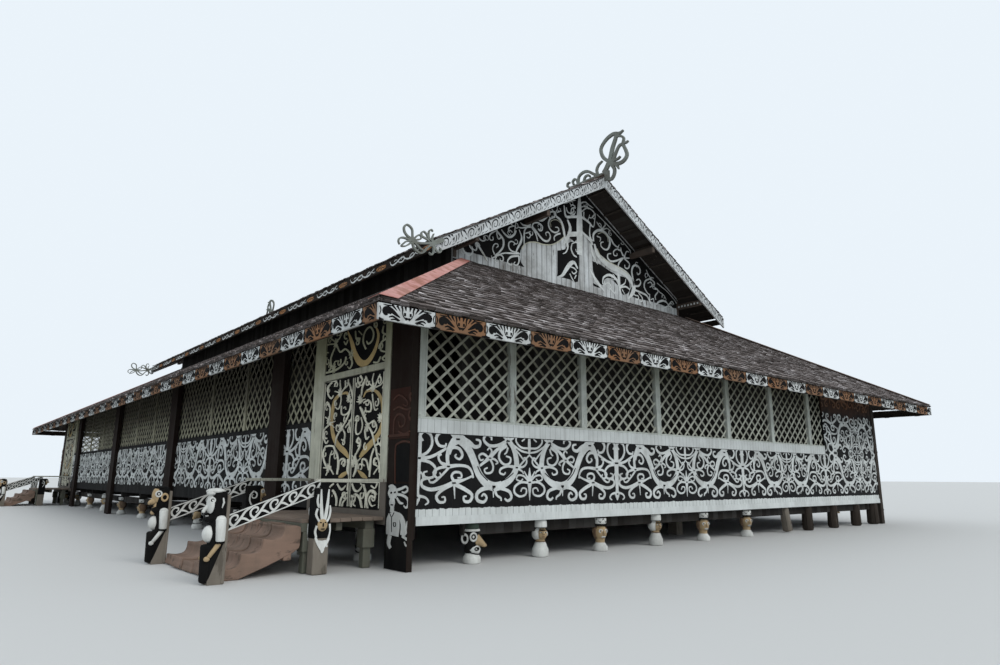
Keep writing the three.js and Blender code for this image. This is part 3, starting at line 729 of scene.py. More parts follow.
def starter_courses(name, wide, foot, across, up, seed):
    """Short doubled rows at the eave, each one a little lower, as the real ones are laid."""
    courses = []
    for number, drop in enumerate(EAVE_COURSES):
        course = lay_shingles(f"{name}_{number}", wide, 0.2, seed + number)
        cut(course, (0, 0.19, 0), (0, 1, 0))
        courses.append(raise_slope(course, Vector(foot) - Vector((0, 0, drop)), across, up))
    return courses


end_long = (skirt_y - GABLE_FACE) * sqrt(1 + SKIRT_RISE**2) - 0.03
near_shingles = lay_shingles("near_skirt_shingles", 2 * skirt_x, end_long, 11)
cut(near_shingles, (0, end_long, 0), (0, 1, 0))
near_eave = ((MIDDLE, -skirt_y + INSET, edge_top + INSET * SKIRT_RISE - SINK), (1, 0, 0),
    (0, 1, SKIRT_RISE))
raise_slope(near_shingles, *near_eave)
near_shingles = join(near_shingles.name, [near_shingles,
    *starter_courses("near_starter", 2 * skirt_x, *near_eave, 31)])
for side in (-1, 1):
    cut(near_shingles, (MIDDLE + side * (skirt_x - 0.012), -skirt_y, 0), (side, 1, 0))
far_shingles = copy_of(near_shingles, "far_skirt_shingles", FAR_MIRROR)

side_long = (skirt_x - upper_x) * sqrt(1 + SKIRT_RISE**2) - 0.02
front_shingles = lay_shingles("front_skirt_shingles", 2 * skirt_y, side_long, 12)
cut(front_shingles, (0, side_long, 0), (0, 1, 0))
front_eave = ((MIDDLE - skirt_x + INSET, 0, edge_top + INSET * SKIRT_RISE - SINK), (0, -1, 0),
    (1, 0, SKIRT_RISE))
raise_slope(front_shingles, *front_eave)
front_shingles = join(front_shingles.name, [front_shingles,
    *starter_courses("front_starter", 2 * skirt_y, *front_eave, 35)])
for end in (-1, 1):
    cut(front_shingles, (MIDDLE - skirt_x, end * (skirt_y - 0.012), 0), (1, end, 0))
back_shingles = copy_of(front_shingles, "back_skirt_shingles", BACK_MIRROR)
for piece in (near_shingles, far_shingles, front_shingles, back_shingles):
    finish(piece, weathered_shingles)

# %% [markdown]
# ### The main roof
# Its two slopes are straight rectangles. Only the front one is laid, and the back one mirrors it.

# %% Main slopes
main_long = main_x * sqrt(1 + MAIN_RISE**2)
front_main = lay_shingles("front_main_shingles", 2 * main_y + 0.3, main_long - 0.05, 13)
cut(front_main, (0, main_long - 0.05, 0), (0, 1, 0))
for end in (-1, 1):
    cut(front_main, (end * (main_y - 0.006), 0, 0), (end, 0, 0))
raise_slope(front_main, (MIDDLE - main_x + INSET, 0, MAIN_EAVE_TOP + INSET * MAIN_RISE - SINK),
    (0, -1, 0),
    (1, 0, MAIN_RISE))
back_main = copy_of(front_main, "back_main_shingles", BACK_MIRROR)
for piece in (front_main, back_main):
    finish(piece, weathered_shingles)
bpy.data.objects.remove(pattern_shingle)

# %% [markdown]
# ### Decks under the shingles
# Under the shingles lies a deck of boards, which is seen from below as the dark soffit. Its boards are
# weathered timber, painted nearly black partly as painted shade under the eaves. It stops a little
# short of the shingles at the eaves, so that their ragged ends stand free. Each deck starts as a merged
# copy of the measured slab. Its top is lowered to carry the shingles, and its edge is drawn back.


# %% Roof decks
DECK_END, DECK_SIDE, MAIN_DECK_SIDE = 17.4, 10.2, 6.0  # the edge of a deck lies beyond these


def deck_of(node, outer, back):
    """A deck from a measured slab, with the points that pass the test moved back up the slope."""
    deck = copy_of(nodes[node], node + "_deck")
    deck.parent = None
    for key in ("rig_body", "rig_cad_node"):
        if key in deck:
            del deck[key]
    edit(deck)
    bpy.ops.mesh.remove_doubles(threshold=0.0002)
    bpy.ops.mesh.tris_convert_to_quads()
    close(deck)
    edit(deck, "FACE", lambda middle, normal: normal.z > 0.5)
    bpy.ops.transform.translate(value=(0, 0, 0.004 - SINK))
    close(deck)
    edit(deck, "VERT", lambda co, normal: outer(co))
    bpy.ops.transform.translate(value=back)
    return close(deck)


# Nearly black boards: weathered timber, darkened as painted shade under the eaves.
soffit = painted("soffit_boards", colour(0.035, 0.028, 0.024), boards=0.16, across=(1, 0, 0),
    wear=0.3, grime=0.5, streaks=0.0)
DRAW = 0.09
BARGE_THICK = 0.05
for end, name in ((-1, "near"), (1, "far")):
    deck = deck_of(name + "_skirt_roof", lambda co: abs(co.y) > DECK_END,
        (0, -end * DRAW, DRAW * SKIRT_RISE))
    finish(deck, soffit, replaces=[name + "_skirt_roof"])
for side, name in ((-1, "front"), (1, "back")):
    deck = deck_of(name + "_skirt_roof", lambda co: abs(co.x - MIDDLE) > DECK_SIDE,
        (-side * DRAW, 0, DRAW * SKIRT_RISE))
    finish(deck, soffit, replaces=[name + "_skirt_roof"])
    deck = deck_of(name + "_main_roof", lambda co: abs(co.x - MIDDLE) > MAIN_DECK_SIDE,
        (-side * DRAW, 0, DRAW * MAIN_RISE))
    for end in (-1, 1):
        cut(deck, (0, end * (main_y - BARGE_THICK - 0.005), 0), (0, end, 0))
    finish(deck, soffit, replaces=[name + "_main_roof"])

# %% [markdown]
# ### Sheet metal on the hips
# The hip beside the entrance has a wide folded strip of sheet metal with faded red paint. The
# other hips have the same strip, narrower and rusted. A strip is two wings that meet on the hip.
# They are drawn as one folded sheet, which then gets its thickness.

# %% Faded red metal
faded_metal = bpy.data.materials.new("faded_red_metal")
faded_metal.use_nodes = True
bench = Bench(faded_metal.node_tree)
shader = faded_metal.node_tree.nodes["Principled BSDF"]
place = bench.node("TexCoord").outputs["Object"]
rust = bench.between(bench.noise(place, 2.6, 6.0, 0.7), 0.44, 0.62)
fade = bench.between(bench.noise(place, 0.9, 3.0), 0.35, 0.65)
paint = bench.mix(fade, colour(0.5, 0.24, 0.21), colour(0.42, 0.15, 0.12))
paint = bench.mix(bench.math("MULTIPLY", rust, 0.65), paint, colour(0.2, 0.085, 0.045))
bench.put(shader.inputs["Base Color"], paint)
bench.put(shader.inputs["Roughness"], bench.math("ADD", 0.5, bench.math("MULTIPLY", rust, 0.35)))
bump = bench.node("Bump", Height=bench.noise(place, 6.0, 4.0))
bump.inputs["Strength"].default_value = 0.3
bump.inputs["Distance"].default_value = 0.01
bench.put(shader.inputs["Normal"], bump.outputs["Normal"])
rusted_metal = painted("rusted_metal", colour(0.13, 0.085, 0.07), bare=colour(0.2, 0.1, 0.06),
    wear=0.4, grime=0.5, along=(1, 1, 1))
print("finishes:", faded_metal.name, rusted_metal.name)


# %% Hip strips
def hip_strip(name, side, end, wing, start=0.0, stop=1.0):
    """Two wings on the slopes beside one hip, from start to stop of its length."""
    rise = 0.03
    foot = Vector((MIDDLE + side * (skirt_x - 0.03), end * (skirt_y - 0.03), edge_top + rise))
    head = Vector((MIDDLE + side * upper_x, end * (skirt_y - skirt_x + upper_x),
        edge_top + (skirt_x - upper_x) * SKIRT_RISE + rise))
    low, high = foot.lerp(head, start), foot.lerp(head, stop)
    points, faces = [], []
    for t in range(9):
        at = low.lerp(high, t / 8)
        points += [at + Vector((-side * wing, 0, 0)), at + Vector((0, 0, 0.012)),
            at + Vector((0, -end * wing, 0))]
    for t in range(8):
        a = 3 * t
        faces += [(a, a + 1, a + 4, a + 3), (a + 1, a + 2, a + 5, a + 4)]
    strip = from_faces(name, points, faces)
    edit(strip)
    bpy.ops.mesh.normals_make_consistent(inside=False)
    close(strip)
    modify(strip, "SOLIDIFY", thickness=0.006, offset=0.0)
    edit(strip)
    bpy.ops.mesh.normals_make_consistent(inside=False)
    return close(strip)


for side, end, name, wing in ((-1, -1, "near_front", 0.3), (-1, 1, "far_front", 0.2),
        (1, -1, "near_back", 0.14), (1, 1, "far_back", 0.14)):
    strip_paint = faded_metal if side < 0 else rusted_metal
    finish(hip_strip(name + "_hip_strip", side, end, wing), strip_paint)
nodes["ridge_cap"].data.materials.clear()
nodes["ridge_cap"].data.materials.append(rusted_metal)

# %% [markdown]
# ## Lattice walls
# The upper walls are open lattice: two layers of thin slats that cross in diamonds 30 cm wide
# and 27 cm high. One slat is made, repeated with an array, mirrored for the second layer, and
# both layers are trimmed to the opening. The posts and rails round it are separate boards.

# %% Slats
END_DIAMOND, SIDE_DIAMOND = (0.30, 0.27), (0.28, 0.31)  # width and height


def lattice_net(name, left, right, low, high, paints, diamond=END_DIAMOND, slat=0.045, thick=0.011):
    """Crossed slats in the plane y 0, front layer towards -y."""
    wide = diamond[0]
    tall = high - low
    reach = tall * wide / diamond[1]
    length = sqrt(tall**2 + reach**2) + 0.3
    put_down()
    bpy.ops.mesh.primitive_cube_add(size=1.0, scale=(slat, thick, length))
    first = settle(bpy.context.object)
    edit(first, "EDGE", lambda middle, line: abs(line.z) > 0.9 and middle.y < 0)
    bpy.ops.mesh.bevel(offset=0.004, segments=1)
    close(first)
    lean = -np.arctan2(reach, tall)
    middle_z = (low + high) / 2
    settle(first, Matrix.Translation((left - reach / 2 + 0.05, -thick * 0.55,
        middle_z)) @ Matrix.Rotation(-lean, 4, "Y"))
    array(first, int((right - left + reach) / wide) + 2, (wide, 0, 0))
    second = copy_of(first, name + "_second", Matrix.Translation((left + right, 0,
        0)) @ Matrix.Diagonal((-1, -1, 1, 1)))
    for layer, paint in zip((first, second), paints):
        layer.data.materials.append(paint)
    net = join(name, [first, second])
    for point, outward in (
        ((left, 0, 0), (-1, 0, 0)), ((right, 0, 0), (1, 0, 0)), ((0, 0, low), (0, 0, -1)),
        ((0, 0, high), (0, 0, 1)),
    ):
        cut(net, point, outward)
    return net


print("diamonds:", END_DIAMOND, "and", SIDE_DIAMOND, "m")

# %% [markdown]
# ### The end walls
# A white band of short boards runs over the painted panel. On it stand the posts of the
# lattice, and a rail closes them under the eaves.

# %% End wall lattice
low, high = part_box("near_end_lattice")
BAND_TOP, RAIL_FOOT = 2.28, 4.2245
POSTS = [-8.76, -6.83, -4.98, -2.6, 0.19, 2.3, 4.4]
POST_WIDE = 0.15
net = lattice_net("near_end_net", low.x + 0.02, high.x - 0.01, BAND_TOP - 0.02, RAIL_FOOT + 0.02,
    (end_slats, end_slats_shaded_behind))
settle(net, Matrix.Translation((0, -16.145, 0)))
band = box("near_band", (low.x, -WALL_Y, low.z), (high.x, -16.15, BAND_TOP), 0.006)
band.data.materials.append(white_band)
ledge = box("near_ledge", (low.x, -16.199, BAND_TOP), (high.x, -16.105, BAND_TOP + 0.035), 0.006)
frames = [ledge, box("near_rail", (low.x, -WALL_Y, RAIL_FOOT), (high.x, -16.1, high.z), 0.006)]
for x in POSTS:
    post_low = (MIDDLE + x, -WALL_Y, BAND_TOP + 0.035)
    frames.append(box("post", post_low, (MIDDLE + x + POST_WIDE, -16.1, RAIL_FOOT), 0.008))
    groove = MIDDLE + x + POST_WIDE / 2
    edit(frames[-1], "FACE", lambda co, normal: normal.y < -0.9)
    bpy.ops.mesh.inset(thickness=0.028, depth=0.0)
    bpy.ops.transform.translate(value=(0, 0.012, 0))
    close(frames[-1])
frames = join("near_frames", frames)
frames.data.materials.append(end_frames)
near_lattice = join("near_lattice_wall", [net, band, frames])
far_lattice = copy_of(near_lattice, "far_lattice_wall", FAR_MIRROR)
finish(near_lattice, replaces=["near_end_lattice"])
finish(far_lattice, replaces=["far_end_lattice"])

# %% [markdown]
# ### The side walls
# On the sides the lattice runs on behind the pillars, from end to end. Thin upright boards
# stiffen it between the pillars, and a pale rail closes its foot.

# %% Side wall lattice
SIDE_FOOT, SIDE_UPRIGHTS = 2.312, (1.15, 6.76, 9.2, 11.5)
for side, name in ((-1, "front"), (1, "back")):
    low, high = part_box(name + "_lattice")
    half = high.y
    net = lattice_net(name + "_net", -half, half, SIDE_FOOT, high.z, (side_slats, side_slats),
        SIDE_DIAMOND)
    frames = [box("rail", (-half, -0.03, SIDE_FOOT), (half, 0.012, SIDE_FOOT + 0.035), 0.005)]
    for place in SIDE_UPRIGHTS:
        for hand in (-1, 1):
            frames.append(box("upright", (hand * place - 0.05, -0.03, SIDE_FOOT + 0.035),
                (hand * place + 0.05, 0.012, high.z), 0.006))
    frames = join("frames", frames)
    frames.data.materials.append(side_slats)
    net = join(name + "_lattice_wall", [net, frames])
    turn = Matrix.Rotation(side * pi / 2, 4, "Z")
    settle(net, Matrix.Translation((MIDDLE + side * 8.945, 0, 0)) @ turn)
    finish(net, replaces=[name + "_lattice"])

# %% [markdown]
# ## Painted scrolls
# The black walls carry white scrolls: broad swags with crests at their ends, fleurs and stars
# between them, and curls in every gap. Each brush stroke is a line with a width that changes
# along it. Extruding hundreds of strokes by hand would take days, and an image could not be
# edited or kept sharp, so a stroke is written down as a few points (sideways, up, width, in
# centimetres), a smooth curve is drawn through them, and a thin raised ribbon follows it.


# %% From strokes to ribbons
def smooth_line(points, steps=3):
    """A smooth curve through points of any number of values each."""
    given = np.array(points, float)
    given = np.vstack([2 * given[0] - given[1], given, 2 * given[-1] - given[-2]])
    curve = []
    for a, b, c, d in zip(given, given[1:], given[2:], given[3:]):
        for t in np.arange(steps) / steps:
            curve.append(0.5 * (
                2 * b + (c - a) * t + (2 * a - 5 * b + 4 * c - d) * t**2
                + (3 * b - a - 3 * c + d) * t**3
            ))
    return np.array(curve + [given[-2]])


def ribbons(name, strokes, lift=0.006, steps=3, layers=9, scale=0.01, widen=1.0):
    """Closed thin ribbons in the plane y 0 that face -y. Neighbours differ in lift, so none fight."""
    points, faces = [], []
    for number, stroke in enumerate(strokes):
        line = smooth_line(stroke, steps) * scale
        ahead = np.gradient(line[:, :2], axis=0)
        ahead /= np.maximum(np.linalg.norm(ahead, axis=1), 1e-9)[:, None]
        out = np.column_stack([-ahead[:, 1], ahead[:, 0]]) * np.maximum(line[:, 2:3] * widen, 0.004) / 2
        front = -lift - 0.0007 * (number % layers)
        first = len(points)
        for (u, z), (du, dz) in zip(line[:, :2], out):
            points += [(u + du, front, z + dz), (u - du, front, z - dz), (u - du, 0.003, z - dz),
                (u + du, 0.003, z + dz)]
        for i in range(len(line) - 1):
            a = first + 4 * i
            faces += [(a + k, a + (k + 1) % 4, a + 4 + (k + 1) % 4, a + 4 + k) for k in range(4)]
        last = first + 4 * (len(line) - 1)
        faces += [(first + 3, first + 2, first + 1, first), (last, last + 1, last + 2, last + 3)]
    return from_faces(name, points, faces)


def mirrored(piece, axis=0.0):
    """A piece with its mirror image beside it, a hair further out."""
    flip = Matrix.Translation((2 * axis, -0.0003, 0)) @ Matrix.Diagonal((-1, 1, 1, 1))
    return join(piece.name, [piece, copy_of(piece, piece.name + "_twin", flip)])


def trim(piece, left=None, right=None, low=None, high=None):
    """Cut a flat pattern to its field."""
    for value, axis, sign in ((left, 0, -1), (right, 0, 1), (low, 2, -1), (high, 2, 1)):
        if value is not None:
            point, outward = [0, 0, 0], [0, 0, 0]
            point[axis], outward[axis] = value, sign
            cut(piece, point, outward)
    return piece


def wall_place(side, out, sideways=0.0, up=0.0):
    """Puts a flat pattern on a wall: side is the way the wall looks."""
    turn = {"near": 0.0, "far": pi, "front": -pi / 2, "back": pi / 2}[side]
    move = {"near": (MIDDLE, -out, 0), "far": (MIDDLE, out, 0), "front": (MIDDLE - out, 0, 0),
        "back": (MIDDLE + out, 0, 0)}[side]
    stand = Matrix.Translation(move) @ Matrix.Rotation(turn, 4, "Z")
    return stand @ Matrix.Translation((sideways, 0, up))


def spiral(u, z, radius, start, hand=1, wide=2.6):
    """A stroke that winds inwards round one place, from the angle start, anticlockwise with hand 1."""
    points = []
    for number in range(9):
        turn, reach = radians(start) + hand * number * 0.72, radius * (1 - number / 11)
        points.append((u + cos(turn) * reach, z + sin(turn) * reach, wide * (1 - number / 16)))
    return points


print("strokes become ribbons with:", ribbons.__name__)

# %% [markdown]
# ### How painted lines are written down
# The lines of the walls, gables, doors and pillar were picked, point by point, in enlarged views of the
# photograph. A point is written as its place in the view, with the breadth of the line there. The sight
# line of the fitted camera through it meets the wall, and so each line gets its centimetres. Lines that
# were drawn without a view stand in centimetres already.
#
# ### The wall scrolls
# Half of the repeat is written down, from the middle of a fleur to the middle of a star. Its
# mirror image completes it, and arrays carry it round the house.

# %% Sight lines
# The fitted camera again, with all the digits that the lines need to keep their place.
EYE = np.array((-13.96427, -25.15664, 1.37183))
EYE_TURNS = (-40.36022, 102.13839, 0.27721)  # degrees: yaw, pitch, roll
FOCAL = 673.6173  # pixels
PHOTO_MIDDLE = (500.0, 332.5)  # pixel
SHORT_WAY = 8  # pixels of a view, the height that a breadth is measured by
BY_X, BY_Y = 0, 1  # the axis that a wall stands across
# Left and top edge in pixels of the photograph, enlargement, axis and place of the wall.
WALL_VIEW = (415, 425, 1568 / 225, BY_Y, -WALL_Y)
GABLE_LEFT_VIEW = (455, 190, 1568 / 145, BY_Y, -GABLE_FACE)
GABLE_RIGHT_VIEW = (570, 185, 1568 / 145, BY_Y, -GABLE_FACE)
DOOR_VIEW = (310, 318, 854 / 110, BY_X, MIDDLE - WALL_X)
PILLAR_VIEW = (310, 318, 7.763, BY_X, MIDDLE - WALL_X)
FOOT_VIEW = (120, 440, 5.227, BY_X, MIDDLE - WALL_X)
DOOR_ZERO, PILLAR_ZERO = 14.0, 16.0  # along the front, from its middle to the near end


def turned(degrees, first, second):
    """A turn that moves the first axis towards the second, as a matrix."""
    matrix = np.eye(3)
    matrix[first, first] = matrix[second, second] = np.cos(radians(degrees))
    matrix[second, first] = np.sin(radians(degrees))
    matrix[first, second] = -matrix[second, first]
    return matrix


EYE_AIM = turned(EYE_TURNS[0], 0, 1) @ turned(EYE_TURNS[1], 1, 2) @ turned(EYE_TURNS[2], 0, 1)


def on_wall(view, x, y):
    """Where the sight line through a point of a view meets the wall of that view."""
    left, top, enlarged, axis, place = view
    over = left + x / enlarged - PHOTO_MIDDLE[0]
    under = top + y / enlarged - PHOTO_MIDDLE[1]
    ray = EYE_AIM @ np.array((over, -under, -FOCAL))
    spot = EYE + ray * ((place - EYE[axis]) / ray[axis])
    return (spot[0] if axis == BY_Y else -spot[1]), spot[2]


def traced(view, zero, foot, strokes, whole=True):
    """Strokes of a view in centimetres on its wall, from zero sideways and from foot upwards."""
    found = []
    for stroke in strokes:
        line = []
        for x, y, wide in stroke:
            across, high = on_wall(view, x, y)
            drop = abs(high - on_wall(view, x, y + SHORT_WAY)[1])
            broad = round(wide * drop / SHORT_WAY * 100, 1)
            if whole:
                broad = max(round(broad), 1)
            line.append((round(100 * (across - zero)), round(100 * (high - foot)), broad))
        found.append(line)
    return found


def outlined(view, zero, foot, outlines):
    """The same for outlines, which have no breadth."""
    strokes = traced(view, zero, foot, [[(x, y, 1) for x, y in line] for line in outlines])
    return [[(u, z) for u, z, _ in line] for line in strokes]


PANEL_FOOT = 0.85
FLEUR_IN_VIEW = (798, 400)  # a point on the upright line of the fleur
FLEUR_X, _ = on_wall(WALL_VIEW, *FLEUR_IN_VIEW)
print("the first fleur stands at", round(FLEUR_X, 3))

# %% Strokes of the wall
WALL_SCROLLS = traced(WALL_VIEW, FLEUR_X, PANEL_FOOT, [
    [(798, 75, 18), (798, 150, 26), (800, 205, 8)],
    [(802, 165, 14), (850, 160, 14), (885, 130, 13), (880, 92, 12), (845, 78, 11), (828, 100, 10),
        (848, 118, 10)],
    [(800, 195, 12), (850, 185, 14), (905, 150, 14)],
    [(795, 205, 10), (835, 250, 12), (872, 295, 14)],
    [(905, 165, 12), (868, 205, 11), (835, 250, 10)],
    [(798, 300, 6), (799, 350, 26), (799, 400, 40), (799, 450, 24), (799, 525, 5)],
    [(800, 400, 14), (835, 360, 13), (875, 352, 12), (885, 378, 11), (858, 392, 10), (845, 376, 8)],
    [(800, 402, 16), (855, 398, 16), (895, 425, 16), (900, 465, 16), (868, 495, 15),
        (828, 482, 13), (822, 448, 12), (848, 440, 10), (858, 462, 9)],
    [(799, 385, 12), (822, 350, 12), (835, 325, 7)],
    [(935, 118, 34), (905, 165, 36), (888, 230, 42), (885, 300, 46), (920, 370, 50),
        (975, 415, 54), (1028, 425, 58), (1075, 400, 54), (1110, 345, 52), (1135, 270, 50),
        (1165, 195, 52), (1212, 140, 66), (1252, 185, 36), (1270, 245, 26), (1265, 305, 24)],
    [(925, 120, 22), (898, 95, 14), (905, 70, 11), (925, 78, 8)],
    [(945, 118, 20), (968, 95, 13), (965, 70, 10), (948, 80, 8)],
    [(936, 120, 26), (936, 85, 8)],
    [(950, 130, 24), (1000, 160, 20), (1050, 165, 20), (1080, 135, 18), (1068, 102, 16),
        (1040, 108, 14), (1036, 132, 11)],
    [(945, 160, 20), (985, 195, 17), (993, 245, 17), (965, 282, 16), (930, 272, 15),
        (924, 238, 13), (950, 228, 11)],
    [(940, 170, 14), (948, 200, 12), (962, 215, 8)],
    [(955, 145, 20), (1005, 190, 22), (1050, 242, 26), (1105, 298, 14)],
    [(1048, 245, 16), (1020, 252, 14), (1002, 272, 12), (1015, 285, 9)],
    [(1048, 240, 16), (1035, 205, 14), (1048, 182, 11), (1062, 196, 9)],
    [(1052, 246, 16), (1085, 222, 15), (1108, 238, 13), (1098, 262, 11), (1082, 256, 8)],
    [(1047, 250, 16), (1030, 295, 15), (1038, 335, 14), (1068, 342, 13), (1078, 318, 11),
        (1060, 306, 9)],
    [(882, 300, 30), (935, 293, 16), (982, 308, 15), (990, 338, 14), (965, 350, 12), (955, 332, 9)],
    [(880, 300, 20), (838, 290, 14), (818, 262, 13), (822, 232, 12), (842, 236, 9)],
    [(880, 305, 18), (850, 325, 12), (838, 345, 8)],
    [(1020, 430, 26), (972, 442, 22), (930, 462, 22), (920, 500, 20), (942, 522, 17),
        (962, 505, 12)],
    [(1022, 436, 22), (1010, 480, 16), (985, 500, 14), (985, 522, 10)],
    [(1036, 430, 28), (1090, 440, 26), (1122, 470, 24), (1118, 510, 22), (1085, 522, 18),
        (1068, 495, 16), (1085, 472, 14), (1098, 488, 9)],
    [(1028, 430, 18), (1029, 495, 5)],
    [(1200, 140, 40), (1160, 155, 28), (1132, 182, 24), (1105, 172, 20), (1102, 142, 16),
        (1125, 138, 12)],
    [(1228, 132, 34), (1262, 100, 22), (1300, 112, 20), (1320, 150, 20), (1308, 190, 17),
        (1280, 192, 14), (1274, 172, 10)],
    [(1205, 130, 20), (1188, 108, 12), (1180, 92, 5)],
    [(1215, 130, 16), (1218, 100, 5)],
    [(1262, 232, 22), (1246, 196, 20), (1212, 200, 19), (1196, 235, 18), (1212, 262, 14),
        (1232, 248, 11), (1224, 232, 8)],
    [(1265, 305, 34), (1300, 285, 15), (1312, 255, 14), (1298, 238, 10)],
    [(1262, 305, 24), (1215, 298, 18), (1170, 305, 17), (1148, 335, 15), (1140, 372, 12)],
    [(1270, 308, 18), (1312, 318, 16), (1335, 345, 15), (1320, 372, 13), (1300, 362, 11),
        (1306, 345, 8)],
    [(1262, 310, 16), (1290, 350, 14), (1330, 395, 14), (1352, 400, 10)],
    [(1240, 400, 36), (1190, 385, 15), (1145, 360, 13)],
    [(1238, 395, 22), (1250, 360, 16), (1235, 338, 15), (1205, 342, 14), (1200, 368, 12),
        (1220, 372, 9)],
    [(1245, 402, 24), (1290, 425, 22), (1345, 440, 21), (1385, 420, 19), (1385, 388, 16),
        (1360, 378, 13), (1352, 398, 9)],
    [(1235, 408, 24), (1185, 440, 24), (1148, 475, 22), (1158, 512, 20), (1188, 512, 17),
        (1192, 485, 13), (1176, 480, 9)],
    [(1246, 410, 22), (1292, 440, 20), (1322, 475, 19), (1312, 510, 17), (1285, 508, 14),
        (1284, 485, 11), (1298, 484, 8)],
    [(1240, 405, 16), (1237, 495, 4)],
    [(1405, 95, 5), (1406, 160, 24), (1406, 235, 30), (1406, 268, 44), (1407, 300, 26),
        (1408, 380, 32), (1409, 450, 20), (1410, 485, 46), (1411, 525, 5)],
    [(1404, 262, 18), (1362, 232, 16), (1340, 185, 16), (1346, 135, 15), (1375, 120, 13),
        (1390, 145, 12), (1378, 172, 10)],
    [(1402, 268, 20), (1350, 258, 18), (1305, 228, 17), (1272, 200, 14)],
    [(1402, 275, 18), (1350, 288, 17), (1324, 325, 16), (1338, 368, 15), (1370, 370, 13),
        (1378, 345, 11), (1360, 338, 8)],
    [(1404, 330, 12), (1384, 350, 11), (1380, 380, 10)],
    [(1408, 470, 18), (1372, 482, 13), (1358, 508, 12), (1372, 522, 8)],
], whole=False)
SCROLL_EYES = [
    [(79, 37, 3.2), (86, 37, 3.2)],
    [(47, 114, 2.2), (53, 114, 2.2)],
    [(156, 113, 2.6), (163, 113, 2.6)],
    [(28, 69, 2.4), (33, 69, 2.4)],
    [(175, 69, 2.4), (181, 69, 2.4)],
    [(89, 84, 2), (94, 84, 2)],
    [(163, 43, 2.2), (170, 43, 2.2)],
    [(236, 81, 3), (242, 81, 3)],
    [(235, 21, 2.6), (239, 21, 2.6)],
    [(-3, 44, 2.4), (3, 44, 2.4)],
    [(38, 60, 1.2), (52, 51, 1.4), (66, 46, 1.2)],
    [(96, 47, 1.2), (110, 58, 1.4), (118, 70, 1.2)],
]
HALF_REPEAT = 2.37
print("strokes in half a repeat:", len(WALL_SCROLLS))


# %% A frieze of wall scrolls
def spread(piece, places, wanted):
    """Shift a pattern sideways, so that what is at the places comes to the wanted ones."""
    points = np.zeros(len(piece.data.vertices) * 3)
    piece.data.vertices.foreach_get("co", points)
    points[0::3] = np.interp(points[0::3], places, wanted)
    piece.data.vertices.foreach_set("co", points)
    piece.data.update()
    return piece


def frieze(name, left, right, fleur, low, high, base=0.0, crowded=None):
    """Wall scrolls from left to right, with one fleur at the given place and the foot at base."""
    white = ribbons(name, WALL_SCROLLS)
    white.data.materials.append(white_scrolls)
    eyes = ribbons("eyes", SCROLL_EYES, lift=0.0135, steps=2)
    eyes.data.materials.append(black_paint)
    strokes = mirrored(join(name, [white, eyes]))
    first = fleur - 2 * HALF_REPEAT * (max(0, int((fleur - left) / (2 * HALF_REPEAT))) + 1)
    count = int((right - first) / (2 * HALF_REPEAT)) + 2
    array(strokes, count, (2 * HALF_REPEAT, 0, 0))
    settle(strokes, Matrix.Translation((first, 0, base)))
    if crowded:
        spread(strokes, *crowded)
    return trim(strokes, left, right, low, high)


END_FIELD = (0.885, 2.05)
CROWDED = ((-14.0, 0.73, 3.1, 5.47, 7.84, 10.21, 16.0), (-14.0, 0.73, 2.97, 5.18, 7.45, 9.15, 15.0))
ROW_MIRROR = 2.12  # height between the lower row and its mirror image on the tall panel
FLEUR_PLACE = 2.62 - WALL_X  # from the middle of the wall
ROW_START, TALL_PANEL, ROW_END = -8.75, 5.3, 8.75  # along the end wall
SCROLLS_TOP, STAINED_TOP = 3.36, 4.36  # where the white rows and the stained one are cut off
STAINED_UP = 2.5  # how far the stained row stands above the lowest one
near_scrolls = frieze("near_wall_scrolls", ROW_START, TALL_PANEL, FLEUR_PLACE, *END_FIELD,
    PANEL_FOOT, CROWDED)
upper = frieze("upper", TALL_PANEL, ROW_END, FLEUR_PLACE, END_FIELD[0], ROW_MIRROR, PANEL_FOOT, CROWDED)
rows = [copy_of(upper, "row"), copy_of(upper, "row_over",
    Matrix.Translation((0, 0, 2 * ROW_MIRROR)) @ Matrix.Diagonal((1, 1, -1, 1)))]
stained_row = copy_of(upper, "near_stained_scrolls", Matrix.Translation((0, 0, STAINED_UP)))
bpy.data.objects.remove(upper)
near_scrolls = join("near_wall_scrolls", [near_scrolls] + rows)
trim(near_scrolls, high=SCROLLS_TOP)
trim(stained_row, high=STAINED_TOP)
settle(stained_row, wall_place("near", WALL_Y))
settle(near_scrolls, wall_place("near", WALL_Y))
far_scrolls = copy_of(near_scrolls, "far_wall_scrolls", FAR_MIRROR)

SIDE_FIELD = (0.99, 2.3)
SIDE_TALL = (SIDE_FIELD[1] - SIDE_FIELD[0]) / (END_FIELD[1] - END_FIELD[0])
for side, half in (("front", 12.88), ("back", 15.72)):
    strokes = frieze(side + "_wall_scrolls", -half, half, 0.0, *END_FIELD, base=PANEL_FOOT)
    stretch = Matrix.Translation((0, 0, SIDE_FIELD[0])) @ Matrix.Diagonal((1, 1, SIDE_TALL, 1))
    stretch = stretch @ Matrix.Translation((0, 0, -END_FIELD[0]))
    settle(strokes, wall_place(side, WALL_X) @ stretch)
    finish(strokes)
for piece in (near_scrolls, far_scrolls):
    finish(piece)
stained_paint = painted(
    "stained_scrolls", colour(0.16, 0.075, 0.04), bare=colour(0.06, 0.035, 0.022), wear=0.35,
    grime=0.5, along=(1, 1, 1)
)
far_stained = copy_of(stained_row, "far_stained_scrolls", FAR_MIRROR)
for piece in (stained_row, far_stained):
    finish(piece, stained_paint)

# %% [markdown]
# ## Painted fascias
# The fascia boards under the eaves are painted in squares, white and orange in turn, and each
# square carries the same black face of curls, rays and two round eyes. The colours of the squares
# belong to the finish of the board, and the black curls are ribbons, as on the walls. Half a
# square is written down, mirrored, and repeated along the board.


